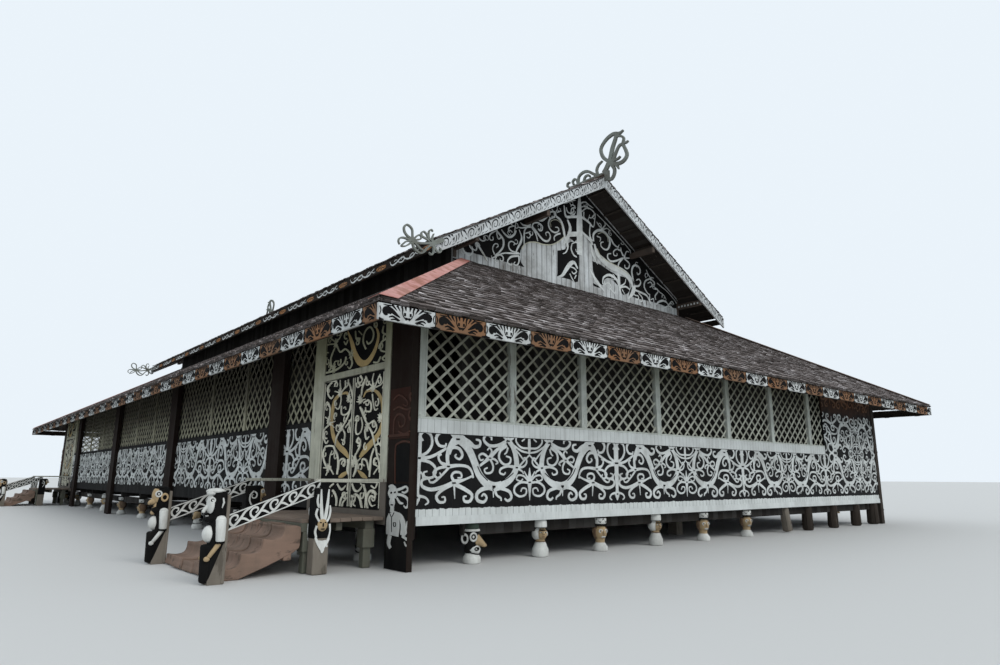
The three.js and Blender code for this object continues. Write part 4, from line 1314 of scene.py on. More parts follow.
# %% Boards in two colours
def in_squares(name, along, start, wide, first, second, **values):
    """A painted finish with squares of two paints in turn, from start along one axis."""
    return painted(name, first, squares=(along, start, wide, second), **values)


END_FASCIA, SIDE_FASCIA = 10.3, 17.46
END_SQUARES, SIDE_SQUARES, SIDE_REST = 23, 37, 0.39
END_SQUARE = 0.92  # starts at the corner beside the entrance, so the last one is cut short
SIDE_SQUARE = 2 * (SIDE_FASCIA - SIDE_REST) / SIDE_SQUARES
FASCIA_WHITE, FASCIA_ORANGE = colour(0.62, 0.645, 0.64), colour(0.24, 0.115, 0.052)
WEATHERED = {"wear": 0.25, "grime": 0.38, "streaks": 0.35}
end_squares = in_squares(
    "end_fascia_squares", (1, 0, 0), MIDDLE - END_FASCIA, END_SQUARE, FASCIA_WHITE, FASCIA_ORANGE,
    **WEATHERED
)
side_squares = in_squares(
    "side_fascia_squares", (0, 1, 0), -SIDE_FASCIA + SIDE_REST, SIDE_SQUARE, FASCIA_WHITE,
    FASCIA_ORANGE, **WEATHERED
)
print("squares on a fascia:", END_SQUARES, "and", SIDE_SQUARES, "of", round(END_SQUARE, 3), "m")

# %% The black face in each square
FASCIA_HALF = [
    [(-31, 8, 1), (-34, 7.5, 2.5), (-37, 10, 3), (-36.5, 14.5, 4), (-31, 16.5, 5), (-24, 13.5, 5),
        (-17, 9, 3), (-12, 6.5, 1)],
    [(-29, 4.5, 1), (-24, 6.5, 2), (-18, 4.5, 2), (-12, 2, 1)],
    [(-26, 1.5, 1), (-20, 2.8, 1.5), (-14, 1, 0.8)],
    [(-4, 22.6, 3), (-3, 17, 0.4)],
    [(-10, 22.6, 2.6), (-7.5, 16, 0.4)],
    [(-17, 22.6, 3), (-12, 15, 0.4)],
    [(-25, 22.6, 3), (-17, 15.5, 0.5)],
    [(-26, 20.8, 1.6), (-33, 20.5, 1.2), (-38, 21, 0.6)],
    [(-43.4, 18, 0.8), (-41.4, 12.5, 1.1), (-43.4, 6, 0.8)],
    [(-45, 0, 0.8), (-45, 22.6, 0.8)],
    [(-6, 12, 3.4), (-2.8, 12, 3.4)],
    [(-4, 7, 1.6), (0, 6, 2.2)],
    [(-9, 20, 1), (-8.5, 13, 1), (-6, 8, 1), (-2, 4, 1)],
    [(-35, 9, 3), (-33, 12, 6), (-29, 13, 6), (-25, 11, 4)],
    [(-46, 1, 3), (-41, 0.3, 2), (-37, 0, 1)],
]
FASCIA_BROAD = 1.3


def fascia_faces(name, side, out, square, count, start, half):
    """The black pattern on one fascia board, from start, cut to the board's half length."""
    pattern = mirrored(ribbons(name, FASCIA_HALF, lift=0.003, steps=2, layers=5, widen=FASCIA_BROAD))
    settle(pattern, Matrix.Diagonal((square / 0.9, 1, 1, 1)))
    array(pattern, count, (square, 0, 0))
    settle(pattern, Matrix.Translation((start + square / 2, 0, FASCIA_FOOT)))
    trim(pattern, -half, half)
    return settle(pattern, wall_place(side, out))


FASCIA_FOOT = 3.42
END_OUT, SIDE_OUT = 17.5, 10.3  # the outer faces of the fascia boards
END_HALF, SIDE_HALF = 10.29, 17.45  # half the length that is painted
near_faces = fascia_faces("near_fascia_faces", "near", END_OUT, END_SQUARE, END_SQUARES,
    -END_FASCIA, END_HALF)
far_faces = copy_of(near_faces, "far_fascia_faces", FAR_MIRROR)
side_start = -SIDE_FASCIA + SIDE_REST - SIDE_SQUARE
front_faces = fascia_faces("front_fascia_faces", "front", SIDE_OUT, SIDE_SQUARE,
    SIDE_SQUARES + 2, side_start, SIDE_HALF)
back_faces = copy_of(front_faces, "back_fascia_faces", BACK_MIRROR)
for piece in (near_faces, far_faces, front_faces, back_faces):
    finish(piece, black_paint)

# %% [markdown]
# ### Bands under the upper eaves
# The boards under the eaves of the main roof are nearly black. White swags with a curl alternate
# with patches of orange paint.

# %% Upper bands
UPPER_FOOT, UPPER_HALF, UPPER_OUT = 6.6317, 12.7, 6.09
UPPER_COUNT = 12
UPPER_STEP = 2 * UPPER_HALF / UPPER_COUNT
upper_band = painted("upper_band", colour(0.016, 0.012, 0.01), bare=colour(0.15, 0.07, 0.04),
    wear=0.4, grime=0.3)
UPPER_SWAGS = [
    [(-100, 17, 1), (-95, 8, 3), (-84, 4, 4), (-68, 7, 4), (-52, 13, 3), (-40, 17, 1.5)],
    [(-62, 9, 2), (-52, 4, 2.6), (-40, 3, 3), (-31, 8, 2.8), (-36, 14, 2.4), (-44, 13, 2),
        (-45, 9, 1.4)],
    [(-36, 17, 1.5), (-27, 8, 3), (-12, 4, 4), (6, 5, 4), (20, 12, 3), (32, 17, 1.5)],
    [(-8, 6, 2), (-2, 12, 2.4), (8, 14, 2), (12, 10, 1.4)],
    [(20, 10, 2), (30, 6, 2), (38, 8, 1)],
    [(-80, 12, 1.4), (-72, 15, 1.8), (-64, 13, 1)],
]
UPPER_PATCHES = [[(44, 10, 5), (56, 10, 12), (76, 10, 12), (92, 11, 6)]]
UPPER_MARKS = [
    [(48, 7, 1.6), (60, 13, 2), (70, 8, 1.6), (66, 5, 1)],
    [(68, 14, 1.6), (80, 9, 2), (92, 12, 1.4)],
    [(54, 15, 1), (58, 5, 1.4)],
]
for side in ("front", "back"):
    parts = []
    for strokes, lift, paint in (
        (UPPER_SWAGS, 0.003, white_scrolls), (UPPER_PATCHES, 0.002, orange_paint),
        (UPPER_MARKS, 0.005, black_paint),
    ):
        parts.append(array(ribbons(side + "_upper_swags", strokes, lift=lift, steps=2, layers=3),
            UPPER_COUNT, (UPPER_STEP, 0, 0)))
        parts[-1].data.materials.append(paint)
    pattern = join(side + "_upper_swags", parts)
    settle(pattern, wall_place(side, UPPER_OUT, -(UPPER_COUNT - 1) / 2 * UPPER_STEP, UPPER_FOOT))
    finish(pattern)

# %% [markdown]
# ### Backs of the fascias
# From inside the eaves a fascia is bare timber, with a lath along its foot. Both are painted nearly
# black, as painted shade under the eaves.

# %% Fascia backs
# Nearly black timber behind the fascias: painted shade under the eaves.
dark_timber = painted("dark_timber", colour(0.03, 0.023, 0.018), bare=colour(0.1, 0.08, 0.06),
    wear=0.3, grime=0.4, along=(0.15, 0.15, 1))
BACK_THICK = 0.008


def fascia_back(name, side, half, out, foot, tall):
    """A dark board behind a fascia, with its lath, in the plane of the board's back."""
    back = box(name, (-half, 0.0, foot + 0.012), (half, BACK_THICK, foot + tall), 0.002)
    lath = box("lath", (-half, -0.002, foot - 0.001), (half, 0.035, foot + 0.03), 0.006)
    return finish(settle(join(name, [back, lath]), wall_place(side, out)), dark_timber)


for side in ("near", "far"):
    fascia_back(side + "_fascia_back", side, 10.25, 17.459, FASCIA_FOOT, 0.2)
for side in ("front", "back"):
    fascia_back(side + "_fascia_back", side, 17.4, 10.259, FASCIA_FOOT, 0.2)
    fascia_back(side + "_upper_back", side, 12.69, 6.049, UPPER_FOOT, 0.17)

# %% [markdown]
# ## Painted barge boards
# The sloping boards of the gable are grey-white, with a row of dark curls: rings with a
# hook inside, and leaves leaning between them. One repeat is 88 cm long. Board and pattern are
# laid out flat and sheared into the slope of the roof with one matrix.

# %% Barge pattern
BARGE_STEP = 0.88
BARGE_DROP = 0.05  # the painted board hangs this far below the measured one
BARGE_BOARD = 0.265  # the height of the measured one
BARGE_TALL = BARGE_BOARD + BARGE_DROP + SLAB - SINK - 0.01
barge_white = painted("barge_white", colour(0.6, 0.63, 0.64), wear=0.3, grime=0.35, streaks=0.3,
    grain=0.15)
barge_marks = painted("barge_marks", colour(0.022, 0.024, 0.028), bare=colour(0.2, 0.2, 0.2),
    wear=0.3, grime=0.2)
BARGE_CURLS = [
    [(-10, 6, 1), (-11, 14, 3), (-6, 21, 3.5), (3, 22, 3.5), (10, 17, 3), (9, 9, 2.5), (3, 6, 2),
        (-3, 9, 1.6), (-3, 14, 1.4), (2, 15, 1)],
    [(-28, 26, 6), (-20, 20, 3.5), (-15, 12, 1)],
    [(-36, 26, 4), (-33, 18, 3), (-28, 11, 1)],
    [(11, 26, 6), (17, 20, 1)],
    [(20, 26, 6), (26, 20, 1)],
    [(25, 13, 3), (30, 17, 4), (28, 8, 1)],
    [(36, 20, 2), (38, 12, 3.5), (34, 6, 1)],
    [(44, 22, 4), (46, 15, 3), (43, 9, 1)],
    [(-16, 4, 4), (-21, 9, 1)],
    [(14, 6, 3), (20, 12, 1)],
    [(24, 3, 2), (32, 5, 1)],
    [(-36, 3, 2), (-28, 5, 1)],
    [(40, 3, 2), (48, 5, 1)],
    # A dark line along the top of the board: painted shadow under the roof edge.
    [(-44, 26, 2), (0, 26, 1.4), (44, 26, 2)],
]


def barge_side(name, hand):
    """One sloping board with its curls, with hand -1 for the entrance side."""
    curls = array(ribbons(name, BARGE_CURLS, lift=0.003, steps=2, layers=4, widen=0.85), 9,
        (BARGE_STEP, 0, 0))
    curls.data.materials.append(barge_marks)
    long = main_x * sqrt(1 + MAIN_RISE**2)
    settle(curls, Matrix.Translation((0.3, 0, 0)) @ Matrix.Diagonal((1, 1, BARGE_TALL / 0.27, 1)))
    trim(curls, 0.01, long - 0.12, 0.006, BARGE_TALL - 0.006)
    board = box(name, (0, 0, 0), (long, BARGE_THICK, BARGE_TALL), 0.005)
    board.data.materials.append(barge_white)
    slope = Matrix.Identity(4)
    slope[0][0] = main_x / long
    slope[2][0] = MAIN_RISE * main_x / long
    side = join(name, [board, curls])
    foot = MAIN_EAVE_TOP - SLAB - BARGE_BOARD - BARGE_DROP
    settle(side, Matrix.Translation((-main_x, 0, foot)) @ slope)
    flip = Matrix.Diagonal((-hand, 1, 1, 1))
    return settle(side, Matrix.Translation((MIDDLE, -main_y, 0)) @ flip)


near_barge = join("near_barge_front", [barge_side("near_barge_front", -1),
    barge_side("near_barge_back", 1)])
near_barge.name = "near_painted_barge"
far_barge = copy_of(near_barge, "far_painted_barge", FAR_MIRROR)
finish(near_barge, replaces=["near_barge_boards"])
finish(far_barge, replaces=["far_barge_boards"])


# %% [markdown]
# ## The painted gables
# The gable walls are bare silver boards. Black fields are painted on them, and on the black a
# standing figure of a trunk with ribbons and curls on both sides, in white. The fields are thin
# plates cut to their outlines, because their edges are brush drawn, and the curls are ribbons.

# %% Fields and curls of the gable
GABLE_FIELDS = outlined(GABLE_LEFT_VIEW, MIDDLE, 0.0, [
    [(20, 640), (85, 712), (180, 735), (185, 722), (270, 745), (345, 785), (365, 742), (450, 790),
        (455, 800), (530, 802), (540, 812), (615, 832), (700, 842), (748, 862), (712, 780),
        (702, 690), (722, 612), (768, 572), (850, 562), (950, 585), (1040, 588), (1108, 556),
        (1185, 505), (1240, 520), (1335, 520), (1345, 90), (1280, 100), (1190, 135), (1080, 195),
        (880, 270), (560, 380), (300, 470), (120, 560)],
    [(1105, 655), (1190, 640), (1225, 575), (1260, 560), (1330, 580), (1342, 720), (1330, 1000),
        (1250, 1005), (1225, 975), (1110, 965), (1108, 905)],
]) + outlined(GABLE_RIGHT_VIEW, MIDDLE, 0.0, [
    [(105, 150), (180, 190), (290, 315), (520, 555), (650, 715), (735, 850), (840, 930),
        (940, 1050), (1060, 1155), (1155, 1285), (1150, 1402), (960, 1340), (860, 1302),
        (640, 1242), (668, 1100), (600, 970), (430, 880), (300, 770), (235, 650), (150, 530),
        (120, 380)],
    [(240, 820), (330, 862), (430, 930), (512, 985), (525, 1090), (440, 1010), (375, 1020),
        (352, 1085), (290, 1030), (250, 930)],
    [(250, 1060), (345, 1145), (258, 1102)],
    [(540, 985), (600, 1000), (642, 1060), (640, 1150), (600, 1195), (560, 1180), (548, 1100)],
])
GABLE_STROKES = traced(GABLE_LEFT_VIEW, MIDDLE, 0.0, [
    [(75, 610, 14), (95, 660, 18), (140, 705, 20), (180, 690, 20), (190, 655, 16), (162, 615, 16),
        (152, 570, 14), (180, 540, 14), (215, 560, 16), (235, 600, 16), (225, 650, 14),
        (195, 640, 12), (178, 605, 9)],
    [(215, 540, 10), (255, 610, 22), (300, 680, 24), (352, 768, 6)],
    [(190, 510, 8), (250, 520, 14), (290, 550, 16), (325, 540, 14), (320, 505, 12), (300, 500, 8)],
    [(455, 420, 12), (450, 480, 14), (470, 530, 14), (495, 510, 12), (485, 480, 9)],
    [(440, 430, 16), (480, 480, 22), (520, 540, 26), (520, 610, 24), (480, 670, 20),
        (430, 710, 14)],
    [(440, 445, 12), (390, 470, 14), (370, 510, 14), (385, 545, 13), (410, 535, 11), (405, 505, 8)],
    [(500, 430, 10), (540, 480, 20), (590, 510, 22), (640, 480, 20), (660, 440, 12)],
    [(425, 700, 14), (405, 640, 13), (420, 590, 13), (450, 580, 12), (465, 605, 11), (445, 625, 8)],
    [(432, 720, 34), (448, 722, 34)],
    [(440, 720, 14), (400, 735, 12), (393, 708, 8)],
    [(440, 725, 14), (430, 770, 10), (450, 790, 8), (465, 775, 6)],
    [(445, 715, 14), (490, 700, 14), (520, 730, 14), (515, 765, 12), (485, 760, 9), (490, 742, 7)],
    [(450, 706, 12), (540, 682, 16), (640, 688, 18), (700, 690, 12)],
    [(690, 715, 14), (610, 720, 22), (570, 760, 16), (575, 800, 14), (610, 810, 12), (615, 790, 8)],
    [(690, 710, 18), (690, 780, 14), (665, 815, 14), (635, 800, 12), (650, 775, 8)],
    [(650, 690, 8), (680, 620, 22), (712, 560, 26), (716, 500, 18), (690, 430, 8)],
    [(690, 680, 12), (620, 665, 14), (585, 630, 14), (580, 580, 13), (605, 555, 12),
        (640, 570, 11), (635, 600, 8)],
    [(745, 600, 10), (745, 490, 18), (752, 430, 16), (790, 390, 14)],
    [(760, 470, 12), (800, 460, 13), (815, 495, 12), (795, 520, 11), (772, 505, 8)],
    [(796, 390, 40), (816, 392, 40)],
    [(800, 385, 18), (740, 380, 14), (705, 350, 9)],
    [(800, 380, 16), (790, 330, 14), (760, 318, 8)],
    [(810, 380, 16), (825, 320, 14), (830, 270, 8)],
    [(800, 400, 14), (720, 412, 14), (680, 400, 8)],
    [(642, 400, 22), (658, 402, 22)],
    [(645, 395, 12), (610, 380, 10), (600, 350, 7)],
    [(655, 390, 12), (650, 350, 9), (625, 340, 6)],
    [(650, 410, 12), (640, 470, 10), (612, 512, 7)],
    [(630, 392, 12), (590, 400, 14), (575, 430, 14), (592, 462, 9)],
    [(830, 400, 14), (850, 360, 14), (900, 355, 14), (940, 390, 14), (940, 435, 13),
        (910, 440, 11), (905, 415, 8)],
    [(825, 400, 16), (870, 470, 18), (895, 555, 10)],
    [(835, 395, 16), (890, 470, 20), (950, 540, 22), (1000, 552, 20), (1030, 510, 16),
        (1010, 460, 13), (980, 465, 11), (986, 495, 8)],
    [(870, 250, 12), (890, 310, 20), (940, 330, 22), (990, 290, 20), (1030, 240, 18),
        (1080, 235, 12)],
    [(1068, 262, 40), (1092, 264, 40)],
    [(1070, 245, 12), (1045, 205, 7)],
    [(1100, 245, 14), (1145, 225, 9)],
    [(1085, 250, 12), (1100, 215, 7)],
    [(1080, 290, 20), (1030, 310, 22), (1010, 370, 22), (1030, 430, 20), (1080, 460, 18),
        (1120, 440, 14), (1110, 405, 12), (1082, 402, 8)],
    [(1090, 285, 24), (1140, 330, 28), (1165, 400, 32), (1180, 470, 30), (1190, 530, 22)],
    [(1140, 470, 16), (1100, 480, 16), (1070, 510, 14), (1075, 550, 12)],
    [(1345, 75, 30), (1345, 180, 56), (1345, 300, 80), (1345, 430, 86), (1345, 560, 80),
        (1345, 700, 70)],
    [(1178, 170, 14), (1195, 285, 28), (1250, 290, 26), (1320, 290, 26)],
    [(1215, 320, 16), (1242, 400, 36), (1235, 470, 40), (1200, 540, 36), (1170, 590, 14)],
    [(1220, 480, 50), (1330, 478, 50)],
    [(1200, 190, 12), (1215, 235, 14), (1250, 255, 14), (1282, 225, 12), (1268, 190, 9)],
    [(1180, 150, 8), (1240, 125, 14), (1300, 110, 12)],
    [(1300, 180, 12), (1270, 160, 12), (1250, 180, 8)],
    [(1200, 540, 30), (1218, 610, 20), (1200, 670, 14), (1165, 690, 6)],
    [(1115, 935, 8), (1160, 920, 30), (1200, 860, 46), (1245, 800, 46), (1290, 785, 34),
        (1325, 850, 16)],
    [(1240, 830, 10), (1285, 845, 14), (1312, 880, 13), (1285, 908, 12), (1262, 885, 9)],
    [(1240, 905, 10), (1262, 955, 14), (1290, 1000, 8)],
    [(1310, 920, 12), (1290, 960, 10)],
    [(1262, 580, 10), (1255, 640, 18), (1280, 700, 20), (1315, 725, 12)],
    [(1262, 582, 10), (1310, 568, 14), (1342, 610, 14), (1340, 660, 13), (1310, 668, 10),
        (1303, 638, 8)],
]) + traced(GABLE_RIGHT_VIEW, MIDDLE, 0.0, [
    [(130, 350, 26), (200, 400, 26), (252, 455, 14), (268, 360, 10), (276, 305, 6)],
    [(218, 430, 14), (210, 520, 16), (225, 600, 30), (238, 650, 40)],
    [(130, 510, 24), (190, 570, 34), (240, 615, 50)],
    [(225, 640, 34), (240, 740, 24), (265, 800, 16), (297, 858, 5)],
    [(255, 610, 16), (250, 540, 22), (280, 500, 26), (330, 490, 28), (380, 520, 28),
        (420, 570, 26), (430, 630, 24), (410, 690, 20), (375, 700, 16), (335, 662, 14),
        (335, 625, 12), (360, 618, 9)],
    [(290, 555, 12), (328, 575, 12), (320, 612, 7)],
    [(342, 478, 30), (358, 484, 30)],
    [(340, 470, 14), (310, 440, 12), (285, 395, 8)],
    [(350, 470, 12), (380, 430, 12), (368, 398, 7)],
    [(360, 480, 12), (400, 470, 10), (430, 500, 10), (428, 530, 6)],
    [(120, 290, 12), (180, 250, 14), (230, 268, 14), (262, 310, 14), (240, 350, 12),
        (205, 350, 10), (212, 320, 7)],
    [(150, 290, 12), (150, 350, 12), (190, 382, 10), (200, 352, 6)],
    [(110, 200, 12), (160, 185, 12), (200, 215, 12), (250, 250, 8)],
    [(120, 240, 10), (170, 228, 12), (200, 262, 8)],
    [(60, 250, 12), (20, 250, 14), (10, 300, 14), (40, 320, 12), (60, 290, 8)],
    [(290, 320, 8), (400, 430, 9), (520, 560, 9), (640, 700, 9), (655, 740, 6)],
    [(390, 540, 12), (440, 580, 18), (470, 640, 18), (510, 670, 14), (530, 648, 7)],
    [(578, 778, 34), (596, 784, 34)],
    [(580, 770, 14), (555, 720, 12), (550, 675, 8)],
    [(590, 765, 14), (610, 720, 12), (640, 728, 7)],
    [(600, 790, 14), (650, 790, 12), (667, 768, 7)],
    [(590, 800, 16), (640, 850, 16), (630, 900, 15), (595, 895, 13), (590, 862, 9)],
    [(575, 790, 18), (530, 840, 18), (515, 900, 12)],
    [(570, 770, 12), (545, 710, 14), (505, 695, 14), (470, 720, 14), (475, 760, 12),
        (505, 765, 10), (507, 740, 7)],
    [(560, 792, 14), (500, 820, 20), (440, 825, 20), (405, 790, 18), (410, 750, 14), (442, 742, 9)],
    [(262, 640, 24), (290, 740, 50), (350, 810, 64), (430, 872, 70), (520, 915, 70),
        (600, 962, 70), (655, 1030, 66), (688, 1110, 56), (668, 1180, 44), (625, 1235, 8)],
    [(352, 1070, 10), (358, 1005, 20), (410, 975, 26), (460, 990, 28), (510, 1040, 28),
        (540, 1120, 26)],
    [(518, 930, 16), (522, 1000, 24), (532, 1100, 30), (545, 1190, 16)],
    [(370, 1085, 10), (400, 1060, 13), (435, 1080, 13), (440, 1120, 12), (415, 1125, 10),
        (412, 1100, 6)],
    [(440, 1130, 14), (480, 1172, 12), (492, 1130, 8)],
    [(205, 890, 10), (250, 980, 28), (300, 1060, 38), (367, 1148, 6)],
    [(545, 1095, 18), (590, 1060, 14), (602, 1015, 6)],
    [(545, 1110, 18), (600, 1100, 18), (645, 1130, 12)],
    [(560, 1130, 14), (592, 1185, 8)],
    [(690, 1090, 24), (675, 1000, 22), (665, 930, 22), (680, 882, 22), (715, 868, 20),
        (750, 900, 18), (756, 950, 16), (730, 970, 12), (722, 945, 7)],
    [(690, 1095, 18), (740, 1092, 18), (762, 1052, 16), (742, 1020, 13), (715, 1032, 9)],
    [(690, 1130, 20), (760, 1160, 22), (830, 1200, 20), (862, 1265, 12)],
    [(680, 1150, 12), (700, 1190, 14), (735, 1200, 13), (737, 1235, 12), (705, 1238, 8)],
    [(740, 1170, 12), (780, 1220, 14), (772, 1260, 12), (742, 1250, 7)],
    [(864, 1013, 30), (880, 1018, 30)],
    [(865, 1000, 12), (840, 960, 10), (824, 920, 5)],
    [(875, 1000, 12), (905, 1008, 8)],
    [(860, 1015, 14), (812, 1040, 16), (800, 1100, 18), (830, 1162, 14), (862, 1192, 8)],
    [(880, 1025, 12), (912, 1060, 12), (900, 1102, 8)],
    [(838, 1062, 10), (870, 1050, 11), (886, 1085, 11), (860, 1105, 8)],
    [(914, 1120, 24), (930, 1123, 24)],
    [(925, 1115, 12), (952, 1150, 12), (920, 1200, 14), (926, 1245, 8)],
    [(935, 1120, 10), (970, 1160, 12), (1012, 1192, 10), (1042, 1245, 6)],
    [(860, 1180, 12), (860, 1250, 16), (872, 1292, 8)],
    [(872, 1240, 10), (900, 1230, 11), (905, 1268, 8)],
    [(930, 1295, 8), (960, 1262, 20), (1010, 1252, 22), (1045, 1275, 12)],
    [(1056, 1300, 30), (1070, 1303, 30)],
    [(1055, 1290, 12), (1028, 1245, 7)],
    [(1070, 1290, 12), (1100, 1260, 12), (1122, 1292, 8)],
    [(1070, 1310, 12), (1112, 1340, 12), (1100, 1372, 6)],
    [(1055, 1310, 12), (1010, 1332, 10), (1000, 1310, 6)],
    [(1060, 1315, 12), (1062, 1355, 6)],
    [(940, 1060, 8), (1000, 1112, 8), (1060, 1165, 8), (1155, 1290, 10), (1160, 1410, 12)],
])
GABLE_RIMS = traced(GABLE_LEFT_VIEW, MIDDLE, 0.0, [
    [(720, 640, 10), (742, 600, 10), (790, 567, 10), (870, 565, 10), (950, 588, 10),
        (1030, 592, 10), (1100, 572, 10), (1150, 532, 10), (1180, 500, 8)],
    [(1035, 400, 8), (1030, 350, 8), (1055, 325, 8), (1100, 325, 8), (1140, 360, 8),
        (1160, 410, 6)],
    [(345, 768, 5), (310, 705, 8), (280, 650, 8)],
]) + traced(GABLE_RIGHT_VIEW, MIDDLE, 0.0, [
    [(290, 690, 9), (340, 785, 9), (440, 845, 9), (540, 900, 9), (632, 968, 9)],
    [(300, 530, 7), (350, 515, 8), (400, 560, 8), (412, 620, 6)],
])
print("strokes on a gable:", len(GABLE_STROKES) + len(GABLE_RIMS))


# %% Thin plates with a drawn outline
def plates(name, outlines, lift):
    """Flat closed plates in the plane y 0 that face -y, from outlines in centimetres."""
    points, faces = [], []
    for outline in outlines:
        line = smooth_line([*outline, outline[0]], 2)[:-1] * 0.01
        ahead = np.roll(line, -1, axis=0)
        if (line[:, 0] * ahead[:, 1] - ahead[:, 0] * line[:, 1]).sum() < 0:
            line = line[::-1]
        first = len(points)
        points += [(u, -lift, z) for u, z in line]
        faces.append(list(range(first, len(points))))
    piece = from_faces(name, points, faces)
    return modify(piece, "SOLIDIFY", thickness=lift + 0.003, offset=-1.0)


def under_roof(piece, plane_y, gap=0.02):
    """Cut a piece of the gable along the underside of the main roof."""
    for hand in (-1, 1):
        top = (MIDDLE, plane_y, RIDGE_TOP - SLAB - gap)
        cut(piece, top, (hand * MAIN_RISE, 0, 1))
    return piece


BARE_STRIP_TOP = 717  # the boards stay bare below this height, in centimetres
UNDER_RIDGE = 1025  # the underside of the roof at the ridge, in centimetres


def up_to_roof(outline, near=45, lift=45):
    """Raise the points of an outline that lie close under the roof, to be cut off there."""
    close_to = UNDER_RIDGE - near
    raised = [(u, z + lift if z > close_to - MAIN_RISE * abs(u) else z) for u, z in outline]
    return [(u, max(z, BARE_STRIP_TOP)) for u, z in raised]


GABLE_SPIRALS = [
    spiral(-456, 713, 9, 90), spiral(-412, 741, 10, 0), spiral(-379, 768, 11, 200, -1),
    spiral(-296, 803, 11, 30),
    spiral(-273, 831, 10, 90, -1), spiral(-183, 853, 11, 250), spiral(-138, 900, 10, 0, -1),
    spiral(-97, 929, 11, 120),
    spiral(-43, 965, 9, 200), spiral(-44, 931, 9, 20, -1), spiral(23, 974, 10, 180),
    spiral(56, 946, 10, 60, -1),
    spiral(84, 925, 9, 300), spiral(136, 909, 11, 90), spiral(176, 868, 10, 20, -1),
    spiral(196, 893, 9, 200),
    spiral(267, 830, 11, 60), spiral(318, 805, 11, 250, -1), spiral(355, 771, 11, 90),
    spiral(407, 745, 10, 200, -1),
    spiral(447, 722, 9, 20), spiral(141, 762, 12, 90, -1), spiral(202, 783, 11, 0),
    spiral(-273, 786, 10, 200),
    spiral(-217, 825, 10, 30, -1),
]
fields = plates("near_gable_fields", [up_to_roof(outline) for outline in GABLE_FIELDS], 0.004)
settle(fields, Matrix.Translation((MIDDLE, -GABLE_FACE, 0)))
under_roof(fields, -GABLE_FACE, 0.07)
for side in (-1, 1):
    cut(fields, (MIDDLE + side * 4.88, 0, 0), (side, 0, 0))
curls = ribbons("near_gable_curls", GABLE_STROKES + GABLE_SPIRALS, lift=0.007, steps=3)
rims = ribbons("near_gable_rims", GABLE_RIMS, lift=0.012, steps=3)
for piece, paint in ((curls, white_scrolls), (rims, cream_slats)):
    settle(piece, Matrix.Translation((MIDDLE, -GABLE_FACE, 0)))
    under_roof(piece, -GABLE_FACE)
    piece.data.materials.append(paint)
curls = join("near_gable_curls", [curls, rims])
for piece, paint in ((fields, black_paint), (curls, None)):
    far = copy_of(piece, piece.name.replace("near", "far"), FAR_MIRROR)
    finish(piece, paint)
    finish(far, paint)
soffit_laths = painted("soffit_laths", colour(0.07, 0.058, 0.048), wear=0.2, grime=0.4,
    along=(1, 0.2, 1))
silver_boards = painted(
    "silver_gable_boards", colour(0.6, 0.63, 0.64), boards=0.2, gap=0.014, across=(1, 0, 0),
    wear=0.35, grime=0.5, streaks=0.6, shade=0.4, bare=colour(0.16, 0.16, 0.16),
)

# %% The boards of the gable wall
# Separate boards with open joints stand behind the paint, and are cut along the roof.
GABLE_BACK, GABLE_LOW, GABLE_HALF, GABLE_BOARD = 11.67, 6.5903, 4.9, 0.2
wall = box("near_gable_boards", (MIDDLE - GABLE_HALF, -GABLE_FACE, GABLE_LOW),
    (MIDDLE - GABLE_HALF + GABLE_BOARD - 0.005, -GABLE_BACK, 10.3), 0.004)
array(wall, int(2 * GABLE_HALF / GABLE_BOARD), (GABLE_BOARD, 0, 0))
under_roof(wall, -GABLE_FACE, 0.004)
ledger = box("ledger", (MIDDLE - GABLE_HALF, -11.9, GABLE_LOW),
    (MIDDLE + GABLE_HALF, -11.76, GABLE_LOW + 0.1), 0.006)
wall.data.materials.append(silver_boards)
ledger.data.materials.append(bare_timber)
wall = join("near_gable_boards", [wall, ledger])
far = copy_of(wall, "far_gable_boards", FAR_MIRROR)
finish(wall, replaces=["near_gable_wall"])
finish(far, replaces=["far_gable_wall"])

# %% Beams out to the barge boards
# Four beams carry the roof where it stands out over the gable. The lower ones have white marks.
BEAMS = ((2.35, 8.62, 0.18), (4.84, 7.3, 0.18))  # place from the middle, top and height
BEAM_END = 12.69
carved_brown = painted("carved_brown", colour(0.09, 0.068, 0.055), wear=0.3, grime=0.4,
    along=(1, 0.2, 1))
beams = []
for x, top, tall in BEAMS:
    for hand in (-1, 1):
        middle = MIDDLE + hand * x
        beam = box("beam", (middle - 0.06, -BEAM_END, top - tall),
            (middle + 0.06, -GABLE_FACE, top), 0.01)
        beam.data.materials.append(carved_brown)
        beams.append(beam)
        if top < 8.0:
            for out in (-1, 1):
                mark = box("mark", (middle + out * 0.061 - 0.002, -12.64, top - 0.13),
                    (middle + out * 0.061 + 0.002, -12.58, top - 0.07), 0.001)
                mark.data.materials.append(white_scrolls)
                beams.append(array(mark, 7, (0, 0.125, 0)))
for hand in (-1, 1):
    edge = MIDDLE + hand * (GABLE_HALF - 0.05)
    board = box("corner_board", (edge - 0.05, -GABLE_FACE - 0.02, 6.93),
        (edge + 0.05, -GABLE_FACE, 7.46), 0.006)
    board.data.materials.append(carved_brown)
    beams.append(board)
RAFTER_GAP = 0.75
for number in range(int(main_x / RAFTER_GAP)):
    x = 0.35 + number * RAFTER_GAP
    for hand in (-1, 1):
        middle, top = MIDDLE + hand * x, RIDGE_TOP - SLAB - MAIN_RISE * x
        lath = box("lath", (-0.03, -12.68, -0.05), (0.03, -GABLE_FACE - 0.01, -0.004), 0.006)
        lean = Matrix.Rotation(hand * np.arctan(MAIN_RISE), 4, "Y")
        settle(lath, Matrix.Translation((middle, 0, top)) @ lean)
        lath.data.materials.append(soffit_laths)
        beams.append(lath)
beams = join("near_gable_beams", beams)
far = copy_of(beams, "far_gable_beams", FAR_MIRROR)
finish(beams)
finish(far)

